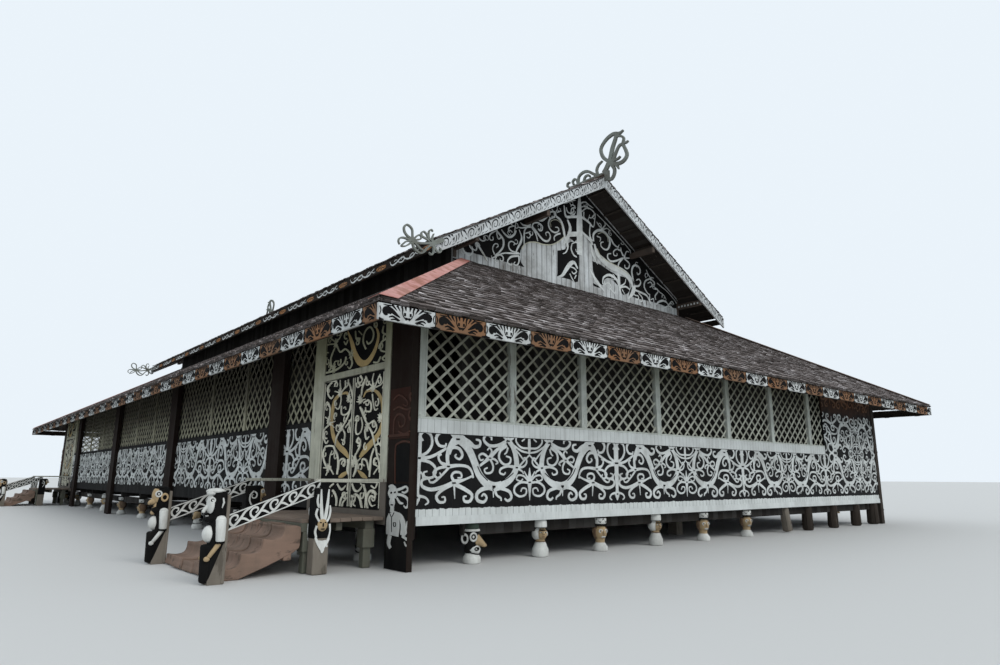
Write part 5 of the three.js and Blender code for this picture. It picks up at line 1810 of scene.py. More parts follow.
# %% [markdown]
# ## Painted doors
# Both leaves together carry an ochre heart, and white curls and star flowers fill the rest. The
# lines are ribbons again. Those of a leaf ride on that leaf, so they turn with it. Inner and
# outer say which leaf it is: the outer one stands nearer to the end of the house.

# %% Lines on the doors
OCHRE_INNER = traced(DOOR_VIEW, DOOR_ZERO, 0.0, [
    [(245, 588, 12), (215, 600, 26), (182, 650, 34), (166, 740, 34), (162, 830, 34),
        (176, 920, 38), (215, 990, 46), (262, 1040, 46), (300, 1088, 20)],
    [(240, 590, 14), (280, 580, 20), (300, 612, 12)],
    [(215, 1238, 12), (248, 1218, 36), (297, 1186, 8)],
])
OCHRE_OUTER = traced(DOOR_VIEW, DOOR_ZERO, 0.0, [
    [(478, 552, 14), (520, 580, 26), (550, 640, 30), (560, 720, 32), (555, 810, 32),
        (530, 890, 38), (480, 960, 46), (425, 1020, 50), (378, 1085, 24)],
    [(475, 560, 12), (430, 570, 20), (408, 612, 10)],
    [(436, 1242, 12), (402, 1217, 36), (362, 1182, 8)],
])
WHITE_INNER = traced(DOOR_VIEW, DOOR_ZERO, 0.0, [
    [(118, 492, 16), (160, 486, 26), (205, 490, 10)],
    [(170, 500, 12), (140, 530, 14), (135, 590, 14), (160, 622, 12), (177, 600, 8)],
    [(228, 580, 30), (244, 582, 30)],
    [(235, 570, 9), (230, 520, 9), (230, 480, 6)],
    [(245, 570, 10), (270, 530, 10), (270, 485, 7)],
    [(225, 580, 9), (188, 568, 8)],
    [(250, 560, 8), (290, 520, 10), (292, 475, 7)],
    [(298, 500, 8), (318, 560, 12), (328, 620, 10)],
    [(312, 635, 26), (318, 655, 26)],
    [(310, 630, 10), (298, 590, 10), (310, 555, 6)],
    [(235, 600, 10), (235, 650, 10), (215, 705, 10), (190, 690, 7)],
    [(240, 680, 12), (240, 740, 14), (270, 752, 14), (300, 720, 12), (310, 660, 10)],
    [(255, 700, 10), (270, 690, 9), (275, 710, 7)],
    [(320, 670, 14), (290, 760, 14), (250, 840, 14), (205, 920, 12), (190, 990, 8)],
    [(330, 700, 10), (318, 780, 12), (268, 852, 10)],
    [(238, 850, 24), (250, 852, 24)],
    [(235, 845, 10), (205, 830, 11), (200, 872, 10), (222, 880, 6)],
    [(250, 860, 10), (266, 900, 12), (260, 952, 11), (240, 940, 7)],
    [(300, 790, 12), (302, 860, 14), (316, 905, 8)],
    [(143, 820, 28), (160, 822, 28)],
    [(145, 800, 12), (150, 740, 14), (150, 690, 14), (130, 655, 13), (110, 682, 8)],
    [(140, 790, 10), (112, 768, 7)],
    [(140, 830, 12), (105, 870, 14), (100, 930, 14), (120, 972, 12), (137, 950, 7)],
    [(165, 810, 9), (192, 798, 6)],
    [(165, 830, 9), (185, 850, 6)],
    [(115, 1000, 14), (96, 1050, 14), (108, 1120, 16), (135, 1170, 12)],
    [(115, 1000, 12), (150, 990, 14), (185, 1002, 12), (180, 1050, 10), (155, 1060, 8)],
    [(175, 1000, 12), (205, 1060, 16), (212, 1130, 18), (205, 1212, 16)],
    [(144, 1160, 26), (158, 1162, 26)],
    [(145, 1150, 10), (150, 1080, 10), (166, 1028, 7)],
    [(140, 1165, 10), (98, 1163, 7)],
    [(155, 1175, 12), (178, 1215, 10)],
    [(140, 1180, 12), (118, 1225, 8)],
    [(215, 1180, 12), (225, 1110, 14), (255, 1090, 13), (270, 1120, 12), (250, 1145, 8)],
    [(290, 1095, 16), (294, 1140, 26), (286, 1180, 20), (300, 1230, 12)],
    [(195, 1478, 14), (200, 1400, 18), (172, 1340, 16), (142, 1362, 12), (152, 1392, 8)],
    [(222, 1478, 14), (235, 1400, 18), (270, 1360, 14), (296, 1360, 8)],
    [(205, 1285, 14), (238, 1332, 16), (272, 1300, 10)],
    [(290, 1285, 12), (282, 1340, 9)],
    [(180, 1285, 12), (150, 1312, 12), (162, 1330, 7)],
    [(240, 1478, 12), (252, 1430, 13), (288, 1392, 9)],
])
WHITE_OUTER = traced(DOOR_VIEW, DOOR_ZERO, 0.0, [
    [(385, 445, 16), (402, 480, 12), (380, 510, 9)],
    [(482, 540, 34), (500, 543, 34)],
    [(490, 530, 9), (480, 480, 9), (490, 430, 6)],
    [(500, 530, 9), (520, 480, 10), (540, 435, 7)],
    [(505, 540, 9), (550, 510, 9), (572, 465, 6)],
    [(480, 530, 9), (450, 500, 9), (428, 450, 7)],
    [(475, 545, 9), (438, 560, 7)],
    [(370, 460, 10), (370, 500, 12), (395, 522, 10), (412, 500, 7)],
    [(432, 455, 10), (402, 540, 12), (395, 600, 10)],
    [(560, 545, 12), (580, 475, 7)],
    [(388, 632, 30), (392, 658, 30)],
    [(380, 650, 8), (355, 652, 6)],
    [(400, 640, 8), (428, 630, 6)],
    [(410, 660, 12), (450, 640, 13), (472, 670, 14), (465, 722, 14), (430, 720, 11), (427, 690, 7)],
    [(480, 590, 10), (485, 650, 10), (500, 712, 11), (522, 700, 7)],
    [(385, 690, 14), (410, 760, 14), (445, 830, 14), (480, 900, 13), (502, 1005, 8)],
    [(398, 700, 10), (432, 785, 9)],
    [(440, 828, 28), (454, 830, 28)],
    [(440, 840, 10), (420, 870, 12), (430, 942, 12), (452, 920, 7)],
    [(455, 820, 10), (490, 800, 12), (512, 850, 12), (490, 892, 10), (470, 870, 6)],
    [(362, 775, 10), (350, 850, 13), (356, 902, 12), (386, 890, 10), (402, 830, 10), (392, 770, 7)],
    [(546, 770, 32), (562, 772, 32)],
    [(545, 760, 9), (522, 748, 6)],
    [(560, 755, 9), (577, 715, 6)],
    [(555, 790, 9), (562, 828, 6)],
    [(545, 780, 9), (528, 795, 6)],
    [(375, 925, 14), (358, 960, 12), (386, 982, 13), (370, 1022, 14), (350, 1062, 8)],
    [(500, 990, 14), (530, 975, 14), (550, 1010, 14), (540, 1062, 12), (520, 1050, 7)],
    [(505, 1000, 14), (512, 1060, 16), (530, 1120, 14), (532, 1200, 10)],
    [(490, 1010, 14), (470, 1080, 16), (460, 1160, 18), (455, 1232, 12)],
    [(350, 1050, 8), (345, 1090, 22), (355, 1130, 28), (350, 1180, 22), (328, 1235, 10)],
    [(340, 1090, 10), (322, 1066, 6)],
    [(365, 1110, 10), (388, 1088, 6)],
    [(450, 1180, 12), (435, 1110, 14), (405, 1095, 13), (400, 1130, 12), (420, 1147, 8)],
    [(520, 1160, 26), (532, 1162, 26)],
    [(520, 1150, 9), (495, 1130, 10), (500, 1098, 7)],
    [(530, 1175, 10), (552, 1215, 7)],
    [(515, 1170, 10), (488, 1215, 9)],
    [(320, 1285, 14), (340, 1335, 18), (370, 1342, 16), (400, 1300, 12), (385, 1285, 8)],
    [(312, 1475, 14), (320, 1400, 20), (350, 1370, 20), (380, 1400, 20), (392, 1460, 18),
        (402, 1480, 10)],
    [(345, 1415, 12), (330, 1445, 10), (347, 1462, 7)],
    [(410, 1290, 14), (430, 1380, 18), (420, 1478, 12)],
    [(442, 1482, 14), (432, 1410, 18), (455, 1350, 18), (490, 1340, 16), (512, 1372, 10)],
    [(502, 1400, 12), (470, 1380, 13), (455, 1420, 13), (475, 1462, 12), (502, 1450, 7)],
    [(518, 1285, 10), (500, 1322, 12), (468, 1300, 8)],
])
OVER_OCHRE = traced(DOOR_VIEW, DOOR_ZERO, 0.0, [
    [(288, 100, 10), (320, 190, 34), (340, 270, 44), (380, 340, 50), (430, 350, 48),
        (480, 290, 38), (515, 200, 28), (525, 120, 22), (500, 55, 10)],
])
OVER_WHITE = traced(DOOR_VIEW, DOOR_ZERO, 0.0, [
    [(430, 240, 12), (410, 180, 14), (420, 110, 14), (460, 70, 14), (490, 110, 12), (480, 170, 12),
        (450, 200, 12), (436, 180, 8)],
    [(192, 190, 24), (206, 193, 24)],
    [(195, 185, 10), (150, 150, 10), (130, 105, 7)],
    [(205, 180, 10), (230, 150, 10), (250, 105, 7)],
    [(195, 200, 10), (130, 210, 12), (115, 260, 12), (142, 270, 7)],
    [(205, 205, 12), (230, 262, 12), (270, 240, 12), (300, 262, 12), (312, 300, 9)],
    [(310, 285, 24), (322, 288, 24)],
    [(315, 300, 10), (325, 350, 11), (305, 392, 10), (288, 375, 6)],
    [(190, 230, 10), (160, 310, 12), (166, 372, 9)],
    [(275, 300, 12), (262, 350, 14), (200, 402, 16), (118, 425, 12)],
    [(174, 390, 28), (190, 393, 28)],
    [(180, 380, 10), (190, 340, 10), (218, 330, 6)],
    [(170, 385, 10), (148, 348, 7)],
    [(568, 60, 10), (560, 110, 12), (592, 130, 7)],
    [(602, 150, 12), (550, 190, 13), (545, 250, 13), (592, 262, 8)],
    [(592, 280, 12), (560, 310, 12), (577, 332, 7)],
    [(490, 345, 14), (522, 342, 12), (545, 300, 8)],
    [(350, 100, 10), (355, 150, 12), (375, 180, 12), (385, 150, 8)],
    [(400, 130, 10), (375, 100, 9)],
    [(260, 180, 10), (275, 205, 11), (290, 170, 8)],
])
DOOR_FACE = 8.98
LEAF_OUTER, LEAF_INNER = (14.5, 15.49), (13.35, 14.46)


BROAD = 1.5  # upright lines are broader than level ones, because the brush was held sideways


def door_lines(name, strokes, lift, field, low, high, out=DOOR_FACE):
    """Ribbons on the entrance front, cut to their field."""
    narrowed = [[(u / BROAD, z, wide) for u, z, wide in stroke] for stroke in strokes]
    lines = ribbons(name, narrowed, lift=lift, steps=3)
    settle(lines, Matrix.Translation((DOOR_ZERO, 0, 0)) @ Matrix.Diagonal((BROAD, 1, 1, 1)))
    trim(lines, field[0], field[1], low, high)
    return settle(lines, wall_place("front", out))


def both_ends(piece, material, body):
    """Finish a piece of the near entrance and its mirror image at the far one."""
    far = copy_of(piece, piece.name.replace("near", "far"), FAR_MIRROR)
    finish(piece, material, body=body)
    finish(far, material, body=body.replace("near", "far"))


EDGE_LINE = 1.3  # cm, the cream line round each leaf
door_cream = painted("door_cream", colour(0.82, 0.8, 0.66), wear=0.15, grime=0.25, streaks=0.1,
    along=(1, 1, 1))
LEAF_STARS = {
    "inner": [(-5, 287), (30, 274), (-43, 238), (6, 224), (-35, 152)],
    "outer": [(113, 285), (71, 268), (100, 219), (141, 232), (58, 161)],
}


def star(u, z, reach=8.5, rays=9):
    """Short pointed strokes round one place."""
    strokes = [[(u - 2, z, 4), (u + 2, z, 4)]]
    for number in range(rays):
        du, dz = cos(0.3 + 2 * pi * number / rays) * reach, sin(0.3 + 2 * pi * number / rays) * reach
        strokes.append([(u + du * 0.2, z + dz * 0.2, 2.8), (u + du, z + dz, 0.7)])
    return strokes


LEAF_SPIRALS = {
    "inner": [
        spiral(-50, 296, 9, 60), spiral(-20, 302, 7, 200, -1), spiral(-18, 268, 6, 90),
        spiral(-52, 262, 8, 20),
        spiral(-16, 246, 7, 250, -1), spiral(22, 236, 7, 120), spiral(-50, 214, 9, 300, -1),
        spiral(-8, 172, 8, 20),
        spiral(24, 158, 8, 180, -1), spiral(-50, 178, 8, 90), spiral(-14, 106, 8, 10),
        spiral(32, 104, 8, 170, -1),
        spiral(-48, 106, 9, 90), spiral(38, 216, 7, 0), spiral(18, 196, 6, 90, -1),
        spiral(20, 300, 6, 150),
    ],
    "outer": [
        spiral(64, 296, 8, 160), spiral(94, 296, 7, 10, -1), spiral(134, 294, 8, 120, -1),
        spiral(98, 262, 7, 200),
        spiral(128, 258, 8, 60, -1), spiral(66, 234, 8, 200, -1), spiral(92, 242, 6, 20),
        spiral(124, 222, 7, 90),
        spiral(74, 196, 8, 250), spiral(142, 196, 8, 30, -1), spiral(98, 186, 7, 100),
        spiral(84, 152, 8, 200, -1),
        spiral(132, 160, 8, 40), spiral(66, 104, 9, 160), spiral(92, 108, 8, 30, -1),
        spiral(130, 104, 9, 120, -1),
    ],
}
for leaf, field, ochre, white in (
    ("outer", LEAF_OUTER, OCHRE_OUTER, WHITE_OUTER), ("inner", LEAF_INNER, OCHRE_INNER, WHITE_INNER),
):
    body = f"near_door_{leaf}_leaf"
    heart = door_lines(f"near_{leaf}_door_heart", ochre, 0.003, field, 0.9, 3.09)
    both_ends(heart, ochre_paint, body)
    left, right = ((edge - DOOR_ZERO) * 100 for edge in field)
    edges = [
        [(left + 1, 88, EDGE_LINE), (left + 1, 308, EDGE_LINE)],
        [(right - 1, 88, EDGE_LINE), (right - 1, 308, EDGE_LINE)],
        [(left + 1, 128, EDGE_LINE), (right - 1, 128, EDGE_LINE)],
    ]
    stars = [stroke for place in LEAF_STARS[leaf] for stroke in star(*place)]
    strokes = white + edges + stars + LEAF_SPIRALS[leaf]
    curls = door_lines(f"near_{leaf}_door_curls", strokes, 0.009, field, 0.87, 3.11)
    both_ends(curls, door_cream, body)
OVER_FIELD = (13.33, 15.51)  # the transom, sideways
OVER_LOW, OVER_HIGH = 3.25, 4.15
LINTEL_LOW, LINTEL_HIGH = 3.13, 3.2385
ground_board = box("near_transom_board", (OVER_FIELD[0], -0.004, 3.243),
    (OVER_FIELD[1], 0.002, OVER_HIGH), 0.001)
settle(ground_board, wall_place("front", DOOR_FACE))
both_ends(ground_board, black_paint, "house")
# The upper half of the lintel is black, with a row of saw teeth along its edge.
SAW_TEETH = 36
teeth = [[(-65 + 6 * k, 319.5, 3), (-65 + 6 * k, 314.5, 1)] for k in range(SAW_TEETH)]
TEETH_BAND = 321.7  # cm, the middle of the black band over the teeth
teeth += [[(u, TEETH_BAND, 4.5) for u in (-67, 40, 151)]]
over = door_lines("near_transom_teeth", teeth, 0.004, OVER_FIELD, LINTEL_LOW, LINTEL_HIGH)
both_ends(over, black_paint, "house")
over = door_lines("near_transom_crescent", OVER_OCHRE, 0.007, OVER_FIELD, OVER_LOW, OVER_HIGH)
both_ends(over, ochre_paint, "house")
OVER_SPIRALS = [
    spiral(-56, 392, 9, 30), spiral(-20, 398, 8, 200, -1), spiral(-60, 352, 9, 120),
    spiral(-14, 344, 8, 40, -1),
    spiral(-52, 340, 7, 250), spiral(16, 340, 7, 90), spiral(8, 392, 8, 300, -1),
    spiral(144, 396, 9, 90, -1),
    spiral(136, 352, 8, 200, -1), spiral(146, 366, 7, 20), spiral(52, 372, 8, 90, -1),
    spiral(116, 394, 7, 150),
]
OVER_STARS = [
    stroke for place in ((-32, 382), (32, 352), (-34, 335)) for stroke in star(*place, reach=10)
]
# Cream that darkens towards the top: a stain, and painted shade under the eaves.
mouldy_cream = painted(
    "mouldy_cream", colour(0.5, 0.5, 0.36), wear=0.2, grime=0.3, streaks=0.2, along=(1, 1, 1),
    stain_and_shade_above=(3.3, 4.5, (0.16, 0.15, 0.06)),
)
over = door_lines("near_transom_curls", OVER_WHITE + OVER_SPIRALS + OVER_STARS, 0.012,
    OVER_FIELD, OVER_LOW, OVER_HIGH)
both_ends(over, mouldy_cream, "house")

# %% [markdown]
# ## Carved figures
# The newels of the porches and the posts under the end wall end in carved and painted figures,
# with round eyes, long noses and hats. They are folk carvings with plain, round forms, so balls,
# cones and rings of paint colours are enough. A few tools place such a form between two points,
# and each figure is joined into one piece with its paints.

# %% Paints of the figures
chalk_white = painted("chalk_white", colour(0.7, 0.71, 0.68), wear=0.2, grime=0.3, streaks=0.25,
    along=(1, 1, 0.4))
tan_paint = painted("tan_paint", colour(0.47, 0.34, 0.19), wear=0.15, grime=0.35, streaks=0.2,
    along=(1, 1, 0.4))
brown_paint = painted("brown_paint", colour(0.2, 0.125, 0.075), wear=0.2, grime=0.35, along=(1, 1, 0.4))
green_paint = painted("green_paint", colour(0.035, 0.06, 0.045), wear=0.15, grime=0.3,
    along=(1, 1, 0.4))
print("figure paints:", chalk_white.name, tan_paint.name, brown_paint.name, green_paint.name)


# %% Forms between two points
def aimed(start, stop):
    """A frame at the middle of two points, with its z axis from start to stop."""
    start, stop = Vector(start), Vector(stop)
    turn = (stop - start).to_track_quat("Z", "Y").to_matrix().to_4x4()
    return Matrix.Translation((start + stop) / 2) @ turn, (stop - start).length


def painted_form(material, matrix):
    """Put the form just added where it belongs, and paint it."""
    form = settle(bpy.context.object, matrix)
    form.data.materials.append(material)
    take(form)
    bpy.ops.object.shade_smooth_by_angle(angle=radians(40.0))
    return form


def ball(centre, radii, material, sides=14):
    put_down()
    bpy.ops.mesh.primitive_uv_sphere_add(segments=sides, ring_count=sides // 2 + 1, radius=1.0)
    return painted_form(material, Matrix.Translation(centre) @ Matrix.Diagonal((*radii, 1.0)))


def limb(start, stop, wide, narrow, material, sides=13):
    """A tapering round form with a rounded rim at both ends."""
    place, long = aimed(start, stop)
    put_down()
    bpy.ops.mesh.primitive_cone_add(vertices=sides, radius1=wide, radius2=narrow, depth=long)
    form = settle(bpy.context.object)
    edit(form, "EDGE", lambda middle, line: abs(abs(middle.z) - long / 2) < 0.001)
    bpy.ops.mesh.bevel(offset=min(wide, narrow, long / 2) * 0.35, segments=2)
    close(form)
    return painted_form(material, place)


def hoop(centre, facing, radius, thick, material, tall=1.0):
    """A ring of paint or wood that looks the way of facing."""
    place, _ = aimed(centre, Vector(centre) + Vector(facing) * 0.001)
    put_down()
    bpy.ops.mesh.primitive_torus_add(major_radius=radius, minor_radius=thick, major_segments=16,
        minor_segments=6)
    return painted_form(material, place @ Matrix.Diagonal((1.0, tall, 0.7, 1.0)))


def slab_of(low, high, bevel, material):
    form = box("form", low, high, bevel)
    form.data.materials.append(material)
    return form


print("form tools:", ball.__name__, limb.__name__, hoop.__name__, slab_of.__name__)


# %% A round eye
def eye(centre, facing, size, tall=1.0):
    """A white ring, a black ring and a white middle."""
    centre, facing = Vector(centre), Vector(facing).normalized()
    flat = [0.35 if abs(value) > 0.5 else 1.0 for value in facing]
    flat[2] *= tall
    return [
        ball(centre, [size * 0.95 * value for value in flat], black_paint, 14),
        hoop(centre + facing * size * 0.28, facing, size * 0.85, size * 0.24, chalk_white, tall),
        ball(centre + facing * size * 0.25, [size * 0.36 * value for value in flat], chalk_white, 10),
    ]


print("an eye is made of", ball.__name__, "and", hoop.__name__)

# %% [markdown]
# ### Newels at the foot of the stairs
# Each figure leans out from a thick board, with its face to the visitor. The outer one has a
# white face under a ragged white cap, and the inner one an ochre face with a long muzzle.

# %% Front newels
NEWEL_FRONT_X, NEWEL_WIDE = 11.5, 0.25


def newel_body(skin, sleeve, hand_paint):
    """The board behind the figure, with its chest and both arms, in the plane y 0."""
    back = MIDDLE - NEWEL_FRONT_X
    wedge = slab_of((back - 0.14, -0.107, 0.0), (back + 0.03, 0.107, 0.55), 0.0, bare_timber)
    cut(wedge, (back - 0.12, 0, 0.1), (-0.42, 0, 0.15))
    forms = [
        slab_of((back - 0.13, -0.102, 0.0), (back + 0.03, 0.102, 1.17), 0.02, black_paint),
        slab_of((back + 0.03, -0.115, 0.0), (back + 0.075, 0.115, 1.13), 0.015, bare_timber),
        wedge,
        limb((back - 0.13, 0, 0.02), (back - 0.13, 0, 0.5), 0.085, 0.1, black_paint),
        ball((back - 0.14, 0, 0.63), (0.085, 0.1, 0.11), skin),
        ball((back - 0.1, 0, 0.83), (0.1, 0.112, 0.07), black_paint),
    ]
    for side in (-1, 1):
        y = side * 0.098
        forms += [
            limb((back - 0.03, y, 0.82), (back - 0.02, y, 0.53), 0.07, 0.06, sleeve),
            ball((back - 0.03, y, 0.81), (0.072, 0.04, 0.055), sleeve, 14),
            limb((back - 0.03, y, 0.515), (back - 0.15, y, 0.345), 0.034, 0.026, hand_paint),
            ball((back - 0.17, y, 0.325), (0.04, 0.022, 0.033), hand_paint, 12),
            limb((back - 0.022, y, 0.535), (back - 0.022, y, 0.51), 0.063, 0.06, black_paint),
        ]
    return forms, back


forms, back = newel_body(chalk_white, chalk_white, tan_paint)
forms += [
    limb((back - 0.07, 0, 0.85), (back - 0.06, 0, 1.17), 0.1, 0.115, black_paint, 20),
    ball((back - 0.14, 0, 1.01), (0.06, 0.098, 0.15), chalk_white),
    limb((back - 0.16, 0, 1.0), (back - 0.235, 0, 0.925), 0.034, 0.022, chalk_white),
    ball((back - 0.232, 0, 0.92), (0.025, 0.026, 0.024), chalk_white, 12),
    ball((back - 0.18, 0, 0.885), (0.036, 0.05, 0.016), black_paint, 12),
    ball((back - 0.175, 0, 0.86), (0.03, 0.045, 0.012), chalk_white, 12),
    ball((back - 0.1, 0, 1.175), (0.12, 0.113, 0.042), chalk_white),
    ball((back - 0.16, -0.03, 1.15), (0.06, 0.075, 0.035), chalk_white, 12),
    ball((back - 0.05, 0.02, 1.165), (0.06, 0.1, 0.03), chalk_white, 12),
]
for side in (-1, 1):
    forms += eye((back - 0.152, side * 0.078, 1.06), (-0.3, side, 0), 0.036)
    forms.append(limb((back - 0.03, side * 0.113, 1.09), (back - 0.015, side * 0.113, 1.02), 0.009,
        0.014, chalk_white, 8))
    forms.append(limb((back - 0.02, side * 0.113, 1.02), (back - 0.035, side * 0.113, 0.96), 0.013,
        0.006, chalk_white, 8))
white_figure = join("near_outer_newel", forms)

forms, back = newel_body(chalk_white, chalk_white, chalk_white)
forms += [
    limb((back - 0.05, 0, 0.85), (back - 0.04, 0, 1.19), 0.11, 0.1, black_paint, 20),
    ball((back - 0.12, 0, 1.06), (0.09, 0.1, 0.14), tan_paint),
    limb((back - 0.11, 0, 1.0), (back - 0.235, 0, 0.94), 0.072, 0.038, tan_paint),
    ball((back - 0.235, 0, 0.943), (0.024, 0.045, 0.033), tan_paint, 14),
    limb((back - 0.09, 0, 0.95), (back - 0.17, 0, 0.79), 0.072, 0.035, tan_paint),
    ball((back - 0.17, 0, 0.79), (0.04, 0.045, 0.035), tan_paint, 14),
    ball((back - 0.205, 0, 0.89), (0.042, 0.047, 0.014), black_paint, 12),
    ball((back - 0.08, 0, 1.18), (0.1, 0.1, 0.03), black_paint),
]
for side in (-1, 1):
    forms += eye((back - 0.13, side * 0.085, 1.085), (-0.15, side, 0), 0.05)
    forms.append(hoop((back - 0.04, side * 0.108, 1.03), (0, side, 0), 0.045, 0.014, tan_paint, 1.2))
ochre_figure = join("near_inner_newel", forms)
print("faces on the newels:", len(white_figure.data.polygons), len(ochre_figure.data.polygons))

# %% [markdown]
# ### Newels at the head of the stairs
# The upper newels are square posts. The outer one carries a round mask with two tall horns and
# a pointed collar in relief, and its lower half is bare. The inner one has an ochre face that
# looks at the house. All lines of the reliefs are ribbons with a little more height.

# %% Upper newels
UPPER_NEWEL_X, UPPER_NEWEL_TOP = 10.09, 1.21
HORNED_MASK = [
    [(-5, 119, 2), (-4, 100, 4), (-2, 82, 5), (0, 72, 3)],
    [(7, 119, 2), (6, 100, 4), (4, 82, 5), (2, 72, 3)],
    [(-9, 112, 2), (-10, 102, 3), (-7, 94, 3), (-5, 99, 2)],
    [(-9, 92, 3), (-11, 84, 3), (-7, 76, 3), (-3, 72, 3)],
    [(10, 96, 2), (11, 88, 3), (9, 78, 3), (5, 72, 3)],
    [(-9, 68, 3), (-11, 60, 3), (-9, 52, 3)],
    [(11, 70, 3), (12, 60, 2), (10, 50, 3), (7, 42, 3), (9, 38, 2)],
    [(-10, 52, 3), (-6, 44, 4), (1, 36, 7), (1, 30, 2)],
    [(11, 50, 3), (7, 43, 4), (1, 36, 5)],
    [(-6, 46, 4), (1, 44, 6), (7, 46, 4)],
]


def upper_newel():
    """The post above the rail of a balustrade, with the place and half breadth for its carving."""
    centre = MIDDLE - UPPER_NEWEL_X
    half = NEWEL_WIDE / 2
    forms = [
        slab_of((centre - half, -half + 0.02, 0.5), (centre + half, half - 0.02, UPPER_NEWEL_TOP),
            0.015, black_paint),
        slab_of((centre - half + 0.006, -half + 0.026, 0.0),
            (centre + half - 0.006, half - 0.026, 0.51), 0.02, bare_timber),
    ]
    return forms, centre, half


forms, centre, half = upper_newel()
for side in (-1, 1):
    relief = ribbons("relief", HORNED_MASK, lift=0.009, layers=3)
    relief.data.materials.append(chalk_white)
    turn = Matrix.Identity(4) if side < 0 else Matrix.Rotation(pi, 4, "Z")
    settle(relief, Matrix.Translation((centre, side * (half - 0.021), 0)) @ turn)
    forms.append(relief)
    front = side * (half - 0.03)
    forms += [
        ball((centre, front, 0.69), (0.084, 0.036, 0.096), tan_paint),
        ball((centre, side * (half + 0.002), 0.69), (0.013, 0.012, 0.034), black_paint, 10),
        ball((centre, side * (half - 0.003), 0.632), (0.036, 0.012, 0.009), black_paint, 10),
    ]
    for hand in (-1, 1):
        forms.append(ball((centre + hand * 0.034, side * (half - 0.002), 0.722),
            (0.018, 0.01, 0.009), black_paint, 10))
outer_upper = join("near_outer_upper_newel", forms)

forms, centre, half = upper_newel()
forms += [
    ball((centre + 0.14, 0, 1.09), (0.09, 0.1, 0.125), tan_paint),
    limb((centre + 0.19, 0, 1.1), (centre + 0.25, 0, 1.03), 0.035, 0.022, tan_paint),
    limb((centre + 0.12, 0, 1.02), (centre + 0.16, 0, 0.93), 0.075, 0.04, tan_paint),
    ball((centre + 0.11, 0, 1.17), (0.09, 0.102, 0.045), black_paint),
]
for side in (-1, 1):
    forms += eye((centre + 0.16, side * 0.086, 1.11), (0.3, side, 0), 0.032)
    curl = ribbons("curl", [spiral(0, 104, 7, 80, side, 2.4),
        [(0, 112, 2.2), (-6, 105, 2.6), (-6, 94, 2.4), (0, 84, 2)]], lift=0.008)
    curl.data.materials.append(chalk_white)
    turn = Matrix.Identity(4) if side < 0 else Matrix.Rotation(pi, 4, "Z")
    forms.append(settle(curl, Matrix.Translation((centre, side * (half - 0.021), 0)) @ turn))
inner_upper = join("near_inner_upper_newel", forms)
print("upper newels:", outer_upper.name, inner_upper.name)

# %% [markdown]
# ### Handrails
# A black board slopes down from the upper newel to the head of the figure. White edge lines and
# running spirals with leaves between them cover both its sides. A thin rail runs on to the wall.

# %% Handrails
RAIL_FOOT_X, RAIL_HEAD_X = 11.5, 10.1
RAIL_LOW, RAIL_HIGH, RAIL_TALL, RAIL_THICK = 0.84, 1.34, 0.215, 0.05
RAIL_LONG = RAIL_FOOT_X - RAIL_HEAD_X
SPIRAL_STEP, SPIRALS = 0.27, 5
RAIL_CURLS = [
    [(-6, 1, 2), (2, 4, 3.6), (9, 10, 3.8), (15, 17, 3.4), (24, 20, 2)],
    [(1, 3, 2.4), (-4, 8, 2.6), (-5, 14, 2.8), (-1, 17.5, 2.8), (4, 16, 2.4), (5, 12, 2), (2, 10, 1.8)],
    [(9, 10, 3), (14, 8, 2.6), (19, 4, 2), (22, 1.5, 1)],
    [(-8, 20, 2.4), (-2, 20, 1)],
]


def handrail(name):
    """The sloping board, its painted curls and the level rail, in the plane y 0."""
    rise = (RAIL_HIGH - RAIL_LOW) / RAIL_LONG
    foot = MIDDLE - RAIL_FOOT_X
    board = box(name, (0, -RAIL_THICK / 2, 0), (RAIL_LONG, RAIL_THICK / 2, RAIL_TALL), 0.006)
    board.data.materials.append(black_paint)
    slope = Matrix.Identity(4)
    slope[2][0] = rise
    slope = Matrix.Translation((foot, 0, RAIL_LOW - RAIL_TALL)) @ slope
    curls = array(ribbons("curls", RAIL_CURLS, lift=0.004, layers=4), SPIRALS, (SPIRAL_STEP, 0, 0))
    settle(curls, Matrix.Translation((0.16, 0, 0)))
    trim(curls, 0.06, RAIL_LONG - 0.02, 0.005, RAIL_TALL - 0.004)
    edges = ribbons("edges", [[(8, 1, 1.6), (138, 1, 1.6)], [(8, 20.4, 1.6), (138, 20.4, 1.6)]],
        lift=0.005, layers=2)
    curls = join("curls", [curls, edges])
    curls.data.materials.append(chalk_white)
    settle(curls, Matrix.Translation((0, -RAIL_THICK / 2, 0)))
    flip = Matrix.Diagonal((1, -1, 1, 1))
    pieces = [settle(piece, slope) for piece in (board, curls, copy_of(curls, "curls_behind", flip))]
    bar = box("bar", (MIDDLE - RAIL_HEAD_X - 0.1, -0.03, RAIL_HIGH - 0.05),
        (MIDDLE - WALL_X, 0.03, RAIL_HIGH), 0.008)
    bar.data.materials.append(cream_frames)
    return join(name, [*pieces, bar])


OUTER_Y, INNER_Y = -15.7, -12.98
for which, y, figure, upper in (
    ("outer", OUTER_Y, white_figure, outer_upper), ("inner", INNER_Y, ochre_figure, inner_upper),
):
    whole = join(f"near_{which}_railing", [handrail(f"near_{which}_railing"), figure, upper])
    settle(whole, Matrix.Translation((0, y, 0)))
    far = copy_of(whole, f"far_{which}_railing", FAR_MIRROR)
    for end, piece in (("near", whole), ("far", far)):
        finish(piece, replaces=[f"{end}_{which}_balustrade"])

# %% [markdown]
# ## Porch and stair
# The stair is five heavy logs side by side, notched with an adze into four steps. Each step is a
# hollow scoop with a rounded lip. The side view of one log is drawn as an outline with curves,
# given its breadth, and its edges are rounded. No two logs are notched quite alike, so each is
# shifted a little.

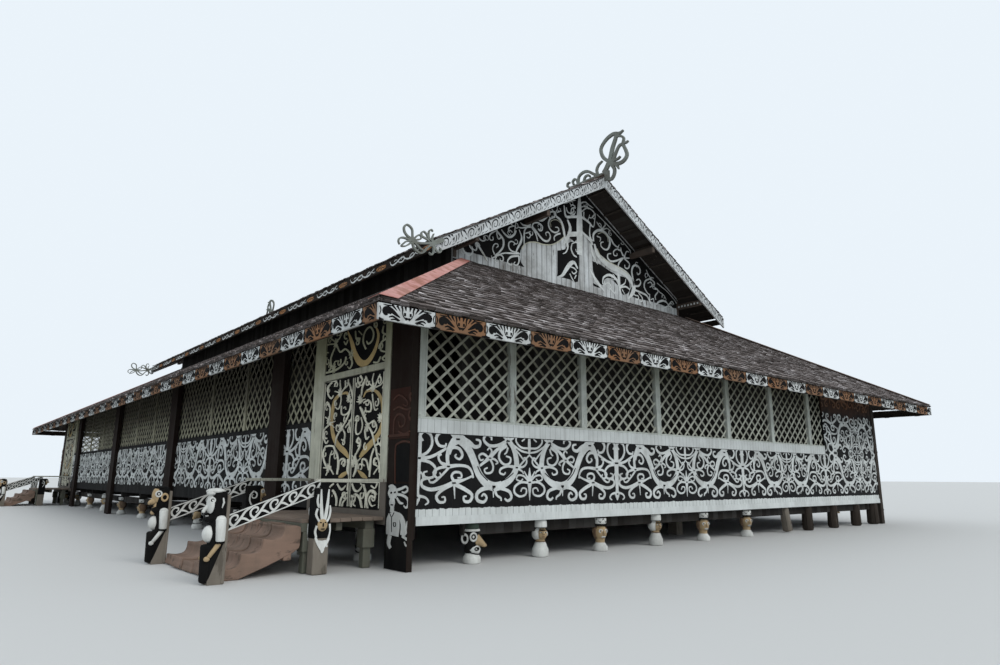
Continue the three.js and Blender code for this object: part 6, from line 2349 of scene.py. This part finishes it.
# %% Log stair
STEP_TOPS = (0.7, 0.525, 0.35, 0.175)
STAIR_BACK, STAIR_END = 10.302, 11.5
LOGS, FIRST_LOG_Y, LOG_PITCH = 5, -15.57, 0.492
STEP_RUN = (STAIR_END - STAIR_BACK) / len(STEP_TOPS)
NOTCH = ((0, 0), (0.004, -0.06), (0.018, -0.12), (0.05, -0.163), (0.11, -0.184), (0.18, -0.187),
    (0.25, -0.178))
ROUNDING = ((0.003, 0.014), (0.008, 0.005), (0.02, 0.0))  # in from a side, and drawn in there
chance = np.random.default_rng(21)


def notched_log(name, shift, drop):
    """One log in the plane y 0 to LOG_PITCH: its side view, drawn in towards both sides."""
    profile = [(0.0, 0.4), (0.0, STEP_TOPS[0] - drop - 0.03), (0.14, STEP_TOPS[0] - drop - 0.015)]
    for number, top in enumerate(STEP_TOPS):
        lip = (number + 1) * STEP_RUN - shift
        profile += [(lip + du, top - drop + dz) for du, dz in NOTCH if top - drop + dz > 0.03]
    profile += [(STAIR_END - STAIR_BACK - shift - 0.03, 0.0), (0.86, 0.0), (0.1, 0.3)]
    line = smooth_line([*profile, profile[0]], 2)[:-1]
    line[:, 1] = np.maximum(line[:, 1], 0.0)
    ahead = np.roll(line, -1, axis=0) - np.roll(line, 1, axis=0)
    out = np.column_stack([-ahead[:, 1], ahead[:, 0]]) / np.linalg.norm(ahead, axis=1)[:, None]
    wide = LOG_PITCH - 0.006
    sections = [*ROUNDING, *((wide - y, inward) for y, inward in reversed(ROUNDING))]
    points, faces, count = [], [], len(line)
    for y, inward in sections:
        points += [(MIDDLE - STAIR_BACK - u, y, max(z, 0.0)) for u, z in line - out * inward]
    for row in range(len(sections) - 1):
        for k in range(count):
            a, b = row * count + k, row * count + (k + 1) % count
            faces.append((a, b, b + count, a + count))
    faces += [list(range(count)), list(range((len(sections) - 1) * count, len(sections) * count))]
    log = from_faces(name, points, faces)
    edit(log)
    bpy.ops.mesh.normals_make_consistent(inside=False)
    return close(log)


logs = []
for number in range(LOGS):
    log = notched_log(f"log_{number}", chance.uniform(0.0, 0.07), chance.uniform(0.0, 0.025))
    logs.append(settle(log, Matrix.Translation((0, FIRST_LOG_Y + number * LOG_PITCH, 0))))
tie = box("tie", (MIDDLE - 10.54, -15.56, 0.2), (MIDDLE - 10.42, -13.12, 0.38), 0.015)
stair = join("near_log_stair", logs + [tie])
far_stair = copy_of(stair, "far_log_stair", FAR_MIRROR)
finish(stair, red_brown_logs, replaces=["near_stair"])
finish(far_stair, red_brown_logs, replaces=["far_stair"])

# %% [markdown]
# ### Porch planks
# Thick old planks run from side to side over a frame of beams. Their ends are uneven.

# %% Porch
PORCH_TOP, PLANK_THICK = 0.77, 0.055
PORCH_LOW_Y, PORCH_HIGH_Y = OUTER_Y, INNER_Y
PORCH_OUT, PORCH_DEEP, PORCH_PLANKS = 10.3, 1.3, 7
SHORT_PLANKS = 2  # the outermost planks are shorter
plank_timber = painted(
    "porch_timber", colour(0.23, 0.175, 0.14), bare=colour(0.12, 0.09, 0.07), along=(1, 0.1, 1),
    wear=0.35, grime=0.45,
)
planks = []
edge = MIDDLE - PORCH_OUT
wide = PORCH_DEEP / PORCH_PLANKS
for number in range(PORCH_PLANKS):
    low_x = edge + number * wide
    inner = 0.12 if number < SHORT_PLANKS else 0.0
    low_y = PORCH_LOW_Y + inner + chance.uniform(0.0, 0.05)
    high_y = PORCH_HIGH_Y - inner - chance.uniform(0.0, 0.05)
    top = PORCH_TOP - chance.uniform(0.0, 0.008)
    plank = box("plank", (low_x + 0.004, low_y, top - PLANK_THICK),
        (low_x + wide - 0.004, high_y, top), 0.008)
    planks.append(plank)
mossy_timber = painted("mossy_timber", colour(0.13, 0.135, 0.105), wear=0.3, grime=0.5)
beams = []
BEAM_SIDES = ((-10.3, -10.2), (-9.26, -9.11), (-9.75, -9.65))
LEG_X = (-10.24, -9.26)
for x0, x1 in BEAM_SIDES:
    beams.append(box("beam", (MIDDLE + x0, PORCH_LOW_Y + 0.13, 0.58),
        (MIDDLE + x1, PORCH_HIGH_Y - 0.13, PORCH_TOP - PLANK_THICK - 0.009), 0.01))
for x in LEG_X:
    for y in (PORCH_LOW_Y + 0.16, PORCH_HIGH_Y - 0.31):
        beams.append(box("leg", (MIDDLE + x, y, 0.0), (MIDDLE + x + 0.13, y + 0.13, 0.32), 0.012))
        beams.append(box("block", (MIDDLE + x - 0.03, y - 0.04, 0.3),
            (MIDDLE + x + 0.17, y + 0.17, 0.585), 0.015))
for piece in planks:
    piece.data.materials.append(plank_timber)
for piece in beams:
    piece.data.materials.append(mossy_timber)
porch = join("near_plank_porch", planks + beams)
far_porch = copy_of(porch, "far_plank_porch", FAR_MIRROR)
finish(porch, replaces=["near_porch"])
finish(far_porch, replaces=["far_porch"])

# %% [markdown]
# ## Carved posts
# The posts under the end wall are carved as busts that carry the house: a black head with a
# long nose, a white-capped one, and one with a zigzag band on its hat, in turn. Three are made
# as compositions of round forms, and copied along the wall with small turns, as no two carvings
# stand quite alike. A squared bearer lies over them, behind the foot board.

# %% Three busts


def shoulders(skin, tall=0.2):
    """A bust on the ground, up to the neck."""
    return [
        limb((0, 0, 0.0), (0, 0, tall * 0.62), 0.122, 0.118, skin, 20),
        limb((0, 0, tall * 0.45), (0, 0, tall), 0.119, 0.075, skin, 20),
    ]


def long_nose():
    """A black head in profile with a long tan nose, a white jaw and a dark hat."""
    forms = shoulders(chalk_white, 0.19) + [
        limb((-0.01, 0, 0.14), (-0.005, 0, 0.5), 0.085, 0.102, black_paint, 20),
        ball((0.022, 0, 0.215), (0.098, 0.098, 0.1), chalk_white),
        hoop((0.01, 0, 0.165), (0.3, 0, 1), 0.092, 0.01, black_paint),
        ball((0.06, 0, 0.335), (0.075, 0.075, 0.07), tan_paint),
        limb((0.03, 0, 0.4), (0.165, -0.02, 0.285), 0.088, 0.036, tan_paint),
        ball((0.163, -0.02, 0.287), (0.039, 0.038, 0.034), tan_paint),
        limb((-0.01, 0, 0.505), (-0.01, 0, 0.54), 0.12, 0.115, chalk_white, 20),
        limb((-0.01, 0, 0.535), (-0.01, 0, 0.635), 0.107, 0.102, green_paint, 20),
    ]
    for side in (-1, 1):
        forms += eye((0.02, side * 0.086, 0.42), (0.25, side, 0), 0.05, 1.45)
        forms.append(hoop((-0.095, side * 0.075, 0.39), (-0.3, side, 0), 0.042, 0.013, chalk_white,
            1.6))
        forms.append(hoop((0.07, side * 0.082, 0.232), (0.6, side, 0), 0.03, 0.01, black_paint, 0.8))
        forms.append(ball((0.079, side * 0.086, 0.235), (0.014, 0.008, 0.012), black_paint, 10))
    return settle(join("bust_long_nose", forms), Matrix.Rotation(radians(-40.0), 4, "Z"))


def white_cap():
    """A tan face that looks out, with white hair and a white cap."""
    forms = shoulders(chalk_white, 0.26) + [
        limb((0, 0, 0.22), (0, 0, 0.3), 0.06, 0.07, tan_paint),
        ball((-0.025, 0.015, 0.4), (0.1, 0.095, 0.13), chalk_white),
        ball((0.012, -0.02, 0.395), (0.082, 0.092, 0.115), tan_paint),
        limb((0.012, -0.1, 0.43), (0.014, -0.128, 0.385), 0.013, 0.021, tan_paint, 10),
        ball((0.014, -0.108, 0.345), (0.026, 0.012, 0.009), brown_paint, 12),
        hoop((0, 0, 0.262), (0, 0, 1), 0.075, 0.008, brown_paint),
        limb((-0.005, 0, 0.49), (-0.005, 0, 0.635), 0.108, 0.1, chalk_white, 20),
        hoop((-0.003, 0, 0.5), (0, 0, 1), 0.106, 0.008, black_paint),
        ball((0.0, -0.1, 0.46), (0.06, 0.02, 0.012), black_paint, 12),
    ]
    for side in (-1, 1):
        forms += [
            ball((0.012 + side * 0.034, -0.098, 0.418), (0.022, 0.012, 0.011), chalk_white, 12),
            ball((0.012 + side * 0.034, -0.107, 0.418), (0.01, 0.008, 0.01), black_paint, 10),
            hoop((0.01 + side * 0.085, -0.02, 0.39), (side, 0, 0), 0.026, 0.008, chalk_white, 1.3),
        ]
    return settle(join("bust_white_cap", forms), Matrix.Rotation(radians(-12.0), 4, "Z"))


def zigzag_hat():
    """A brown face with white-ringed eyes and a hat with a zigzag band."""
    band = [[(x, 53 + 7 * (k % 2), 1.8) for k, x in enumerate(range(-42, 43, 6))]]
    zigzag = ribbons("zigzag", band, lift=0.002, steps=1)
    points = np.array([tuple(v.co) for v in zigzag.data.vertices])
    angle, radius = points[:, 0] / 0.115, 0.106 - points[:, 1]
    wrapped = np.column_stack([radius * np.sin(angle), -radius * np.cos(angle), points[:, 2]])
    zigzag.data.vertices.foreach_set("co", wrapped.ravel())
    zigzag.data.update()
    zigzag.data.materials.append(black_paint)
    forms = shoulders(chalk_white, 0.16) + [
        zigzag,
        limb((0, 0, 0.13), (0, 0, 0.24), 0.07, 0.075, tan_paint),
        ball((0, 0.02, 0.35), (0.116, 0.1, 0.165), brown_paint),
        ball((0, -0.012, 0.345), (0.1, 0.11, 0.15), tan_paint),
        limb((0, -0.1, 0.4), (0, -0.132, 0.32), 0.014, 0.026, tan_paint, 12),
        ball((0, -0.1, 0.262), (0.042, 0.02, 0.02), chalk_white, 14),
        ball((0, -0.116, 0.262), (0.034, 0.008, 0.005), black_paint, 12),
        limb((0, 0, 0.47), (0, 0, 0.5), 0.116, 0.116, black_paint, 20),
        limb((0, 0, 0.495), (0, 0, 0.62), 0.104, 0.107, chalk_white, 20),
        limb((0, 0, 0.612), (0, 0, 0.637), 0.112, 0.112, black_paint, 20),
    ]
    for side in (-1, 1):
        forms += eye((side * 0.045, -0.092, 0.372), (side * 0.3, -1, 0), 0.033)
        forms.append(hoop((side * 0.108, 0, 0.37), (side, 0, 0), 0.036, 0.012, brown_paint, 1.5))
    return settle(join("bust_zigzag_hat", forms), Matrix.Rotation(radians(-18.0), 4, "Z"))


busts = [long_nose(), white_cap(), zigzag_hat()]
print("busts:", [bust.name for bust in busts])

# %% Rows of carved posts
END_POST_X = (1.45, 3.0, 4.6, 6.35, 8.1, 9.95)
PLAIN_POST_X = (11.97, 13.12, 14.67, 16.21, 17.45)
BUST_ORDER = (0, 1, 2, 1, 2, 2, 1, 0, 2, 1)
END_ROW_Y, BEARER_LOW, BEARER_HIGH = 16.07, 0.44, 0.6397
POST_ROW_Y = 15.98
SIDE_ROW_X, SIDE_POSTS = 8.78, 11
SIDE_ROW_HALF = POST_ROW_Y - 1.3
BROADER = 1.22  # the posts are as broad as the squared timber they were carved from


def plain_posts(places):
    """Unpainted posts: a pale leaning one first, then dark ones, the last one the thickest."""
    posts = []
    for number, place in enumerate(places):
        paint, half, lean = old_post, 0.13 + 0.03 * (number == len(places) - 1), 0.0
        if number == 0:
            paint, half, lean = bare_timber, 0.11, 0.12
        post = limb((place, 0, 0.03 if lean else 0.0), (place - lean, 0.0, 0.64), half * 1.08, half,
            paint, 12)
        for groove in range(5):
            turn = 2 * pi * groove / 5 + number
            ridge = (place + cos(turn) * half, sin(turn) * half,
                0.05), (place - lean + cos(turn) * half * 0.94, sin(turn) * half * 0.94, 0.6)
            posts.append(limb(*ridge, 0.022, 0.016, paint, 8))
        posts.append(post)
    return posts


old_post = painted("old_posts", colour(0.045, 0.036, 0.03), bare=colour(0.09, 0.075, 0.06),
    wear=0.4, grime=0.4)


def carved_row(name, side, out, places, plain=()):
    """Busts at their places along one wall, with the bearer that they carry."""
    reach = (min(places) - 0.18, max([*places, *plain]) + 0.18)
    # The bearer is nearly black: painted shade under the floor.
    bearer = box(name, (reach[0], 0.0, BEARER_LOW), (reach[1], 0.12, BEARER_HIGH), 0.012)
    bearer.data.materials.append(dark_inside)
    forms = [bearer, *plain_posts(plain)]
    for number, place in enumerate(places):
        kind = BUST_ORDER[number % len(BUST_ORDER)]
        turn = Matrix.Rotation(chance.uniform(-0.3, 0.2) if kind else 0.0, 4, "Z")
        stand = Matrix.Translation((place, 0, 0)) @ turn @ Matrix.Diagonal((BROADER, BROADER, 1, 1))
        forms.append(copy_of(busts[kind], f"bust_{number}", stand))
    return settle(join(name, forms), wall_place(side, out))


near_row = carved_row(
    "near_carved_posts", "near", END_ROW_Y, [x - WALL_X for x in END_POST_X],
    [x - WALL_X for x in PLAIN_POST_X]
)
far_row = copy_of(near_row, "far_carved_posts", FAR_MIRROR)
side_places = [SIDE_ROW_HALF * (2 * k / (SIDE_POSTS - 1) - 1) for k in range(SIDE_POSTS)]
front_row = carved_row("front_carved_posts", "front", SIDE_ROW_X, side_places)
back_row = copy_of(front_row, "back_carved_posts", BACK_MIRROR)
for name, row in (("near", near_row), ("far", far_row), ("front", front_row), ("back", back_row)):
    finish(row, replaces=[name + "_stilts"])
for bust in busts:
    bpy.data.objects.remove(bust)

# %% [markdown]
# ## Corner pillars
# Each corner pillar beside an entrance is a black plank. It has a dark red plate with curls carved
# in low relief, a framed black panel under it, and at its foot a painted figure with curling
# hair and a white shirt. At the back corners only a squared post is left.

# %% Lines of the corner pillar
# The broad strokes of the figure stand in centimetres, and the thin ones were picked.
FOOT_FIGURE = [
    [(-8, 122, 12), (-7, 113, 21), (-7, 105, 13)],
    [(-8, 106, 8), (-8, 98, 12), (-8, 92, 8)],
] + traced(FOOT_VIEW, PILLAR_ZERO, 0.0, [
    [(1445, 262, 14), (1475, 255, 14), (1497, 243, 12), (1507, 260, 12), (1490, 276, 10),
        (1476, 270, 8)],
    [(1448, 285, 14), (1480, 288, 14), (1505, 308, 14), (1510, 338, 14), (1497, 354, 10),
        (1485, 342, 8)],
    [(1450, 300, 12), (1465, 326, 14), (1484, 332, 8)],
    [(1408, 246, 10), (1425, 238, 12), (1442, 248, 10)],
]) + [
    [(-7, 93, 7), (-7, 84, 8)],
    [(-7, 84, 14), (-4, 76, 25), (-3, 62, 27), (-4, 50, 25)],
    [(2, 83, 5), (17, 79, 8), (26, 68, 9), (24, 52, 7)],
    [(25, 50, 5), (35, 60, 6), (38, 71, 5), (45, 77, 4)],
] + traced(FOOT_VIEW, PILLAR_ZERO, 0.0, [
    [(1500, 474, 12), (1518, 452, 10), (1523, 422, 8)],
    [(1475, 500, 16), (1500, 518, 16), (1512, 540, 14), (1497, 552, 12), (1488, 532, 8)],
]) + [
    [(-11, 50, 8), (-14, 38, 7), (-8, 31, 5)],
]
FOOT_FIGURE_LINES = traced(FOOT_VIEW, PILLAR_ZERO, 0.0, [
    [(1420, 272, 9), (1422, 279, 9)],
    [(1440, 270, 9), (1441, 277, 9)],
    [(1418, 340, 6), (1430, 340, 6)],
    [(1412, 378, 4), (1424, 402, 4), (1438, 378, 4)],
    [(1424, 402, 3), (1424, 480, 3)],
    [(1434, 432, 3), (1444, 432, 3), (1444, 450, 3), (1434, 450, 3), (1434, 432, 3)],
])
PILLAR_RELIEF = traced(PILLAR_VIEW, PILLAR_ZERO, 0.0, [
    [(655, 905, 18), (660, 800, 20), (695, 745, 20), (742, 775, 18), (738, 832, 16),
        (705, 842, 14), (695, 805, 11)],
    [(812, 905, 16), (800, 820, 18), (772, 765, 16), (780, 715, 12)],
    [(655, 715, 14), (700, 690, 16), (760, 712, 16), (812, 682, 14)],
    [(690, 880, 12), (740, 900, 14), (790, 870, 12)],
    [(655, 640, 14), (700, 600, 16), (760, 640, 16), (760, 680, 12), (730, 670, 9)],
    [(812, 560, 14), (780, 600, 16), (790, 650, 14)],
])
PILLAR_ARCH = traced(PILLAR_VIEW, PILLAR_ZERO, 0.0, [
    [(665, 1285, 12), (668, 1020, 14), (690, 975, 15), (740, 958, 15), (790, 975, 15),
        (808, 1020, 14), (812, 1285, 12)],
])
FIGURE_BROAD = 1.4
relief_paint = painted(
    "carved_relief", colour(0.075, 0.026, 0.016), bare=colour(0.1, 0.05, 0.03), wear=0.35,
    grime=0.4, along=(1, 1, 1),
)


def pillar_lines(name, strokes, lift, material, broad=1.0):
    """Ribbons on the pillar. With broad above 1, upright lines get broader than level ones."""
    lines = ribbons(name, [[(u / broad, z, wide) for u, z, wide in stroke] for stroke in strokes],
        lift=lift)
    lines.data.materials.append(material)
    return settle(lines, Matrix.Translation((PILLAR_ZERO, 0, 0)) @ Matrix.Diagonal((broad, 1, 1, 1)))


plate_paint = painted("relief_plate", colour(0.04, 0.013, 0.009), bare=colour(0.06, 0.03, 0.02),
    wear=0.3, grime=0.4)
plate = box("plate", (15.76, -0.008, 1.95), (16.34, 0.003, 2.75), 0.004)
plate.data.materials.append(plate_paint)
forms = [
    plate,
    pillar_lines("relief", PILLAR_RELIEF, 0.018, relief_paint),
    pillar_lines("arch", PILLAR_ARCH, 0.014, relief_paint),
    pillar_lines("figure", FOOT_FIGURE, 0.008, chalk_white, FIGURE_BROAD),
    pillar_lines("figure_lines", FOOT_FIGURE_LINES, 0.016, black_paint, FIGURE_BROAD),
]
PILLAR_LOW, PILLAR_HIGH, CARVED_TOP = 15.735, 16.355, 4.1
ledge = box("ledge", (PILLAR_LOW, -0.02, 1.985), (PILLAR_HIGH, 0.004, 2.03), 0.006)
ledge.data.materials.append(relief_paint)
panel = box("panel", (15.98, -0.006, 1.3), (16.47, 0.003, 1.87), 0.003)
panel.data.materials.append(black_paint)
foot = box("foot_panel", (PILLAR_LOW + 0.002, -0.006, 0.0), (PILLAR_HIGH, 0.003, 1.27), 0.003)
foot.data.materials.append(black_paint)
forms += [ledge, panel, foot]
pillar = join("near_front_pillar_carving", forms)
trim(pillar, PILLAR_LOW, PILLAR_HIGH, 0.005, CARVED_TOP)
settle(pillar, wall_place("front", WALL_X))
finish(copy_of(pillar, "far_front_pillar_carving", FAR_MIRROR))
finish(pillar)

# %% Back corner posts
CORNER_TOP = 4.285
post = box("near_back_corner_post", (MIDDLE + 8.79, -16.215, 0.0),
    (MIDDLE + 8.99, -16.02, CORNER_TOP), 0.015)
for height in (0.4, 2.2):
    strap = box("strap", (MIDDLE + 8.785, -16.22, height), (MIDDLE + 8.995, -16.015, height + 0.05),
        0.006)
    post = join("near_back_corner_post", [post, strap])
far = copy_of(post, "far_back_corner_post", FAR_MIRROR)
finish(post, old_post, replaces=["near_back_corner"])
finish(far, old_post, replaces=["far_back_corner"])

# %% [markdown]
# ## Dark rooms behind the lattice
# Behind the lattice runs a gallery, and the rooms are closed off from it by plank walls, which keep the
# inside as dark as it looks. Their planks are painted nearly black, as painted shade. One plank is made
# and repeated along each wall. The planks stop short of the doorways, so that the leaves can swing in.

# %% Plank walls
PLANK_WIDE, PLANK_BOARD = 0.25, 0.022
INNER_FOOT, INNER_TOP = 0.851, 4.15
END_WALL_Y, SIDE_WALL_X = 15.63, 7.55


def plank_wall(name, side, half, out):
    """A wall of upright planks, from -half to half along one side."""
    count = int(2 * half / PLANK_WIDE)
    plank = box(name, (-half, 0.0, INNER_FOOT), (-half + PLANK_WIDE - 0.003, PLANK_BOARD, INNER_TOP))
    return settle(array(plank, count, (PLANK_WIDE, 0, 0)), wall_place(side, out))


for side, half, out in (
    ("near", SIDE_WALL_X, END_WALL_Y), ("far", SIDE_WALL_X, END_WALL_Y),
    ("front", END_WALL_Y - 0.03, SIDE_WALL_X), ("back", END_WALL_Y - 0.03, SIDE_WALL_X),
):
    finish(plank_wall(side + "_room_wall", side, half, out), dark_inside)

# %% [markdown]
# ## Finishes for the measured parts
# Parts of the frame whose shape is right as it is only get their finish.


# %% Dress the frame
def dress(material, *names):
    for name in names:
        mesh = nodes[name].data
        mesh.materials.clear()
        mesh.materials.append(material)


ENDS, SIDES = ("near", "far"), ("front", "back")
# Grey timber below and cream above, darkening towards the top: a stain, and painted shade under the
# eaves.
entrance_frame = painted(
    "entrance_frame", colour(0.15, 0.13, 0.11), split=(1.33, colour(0.58, 0.58, 0.47), 0.04),
    wear=0.35, grime=0.3, streaks=0.4, stain_and_shade_above=(2.5, 4.3, (0.22, 0.215, 0.1)),
)
weathered_carving = painted(
    "weathered_carving", colour(0.2, 0.22, 0.2), bare=colour(0.14, 0.125, 0.1), wear=0.3,
    grime=0.45, along=(1, 1, 1),
)
for end in ENDS:
    dress(end_boards, end + "_end_panel")
    dress(entrance_frame, end + "_door_frame")
    dress(black_paint, end + "_door_outer", end + "_door_inner")
    dress(weathered_carving, end + "_eave_scroll", end + "_ridge_ornament")
    dress(end_squares, end + "_fascia")
    dress(dark_pillars, end + "_front_corner")
# The inner posts, the clerestory and the floor get nearly black timber: painted shade.
for side in SIDES:
    dress(side_boards, side + "_panel")
    dress(dark_pillars, side + "_frame")
    dress(side_squares, side + "_fascia")
    dress(upper_band, side + "_upper_fascia")
    dress(dark_inside, side + "_inner_posts", side + "_clerestory")
dress(dark_inside, "floor")
dress(bare_timber, "middle_stilts")
print("dressed", len(nodes), "parts")

# %% Count the faces
put_down()
bpy.context.view_layer.update()
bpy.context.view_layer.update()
total = sum(len(o.data.polygons) for o in scene.objects if o.type == "MESH")
print("faces in the scene:", total)
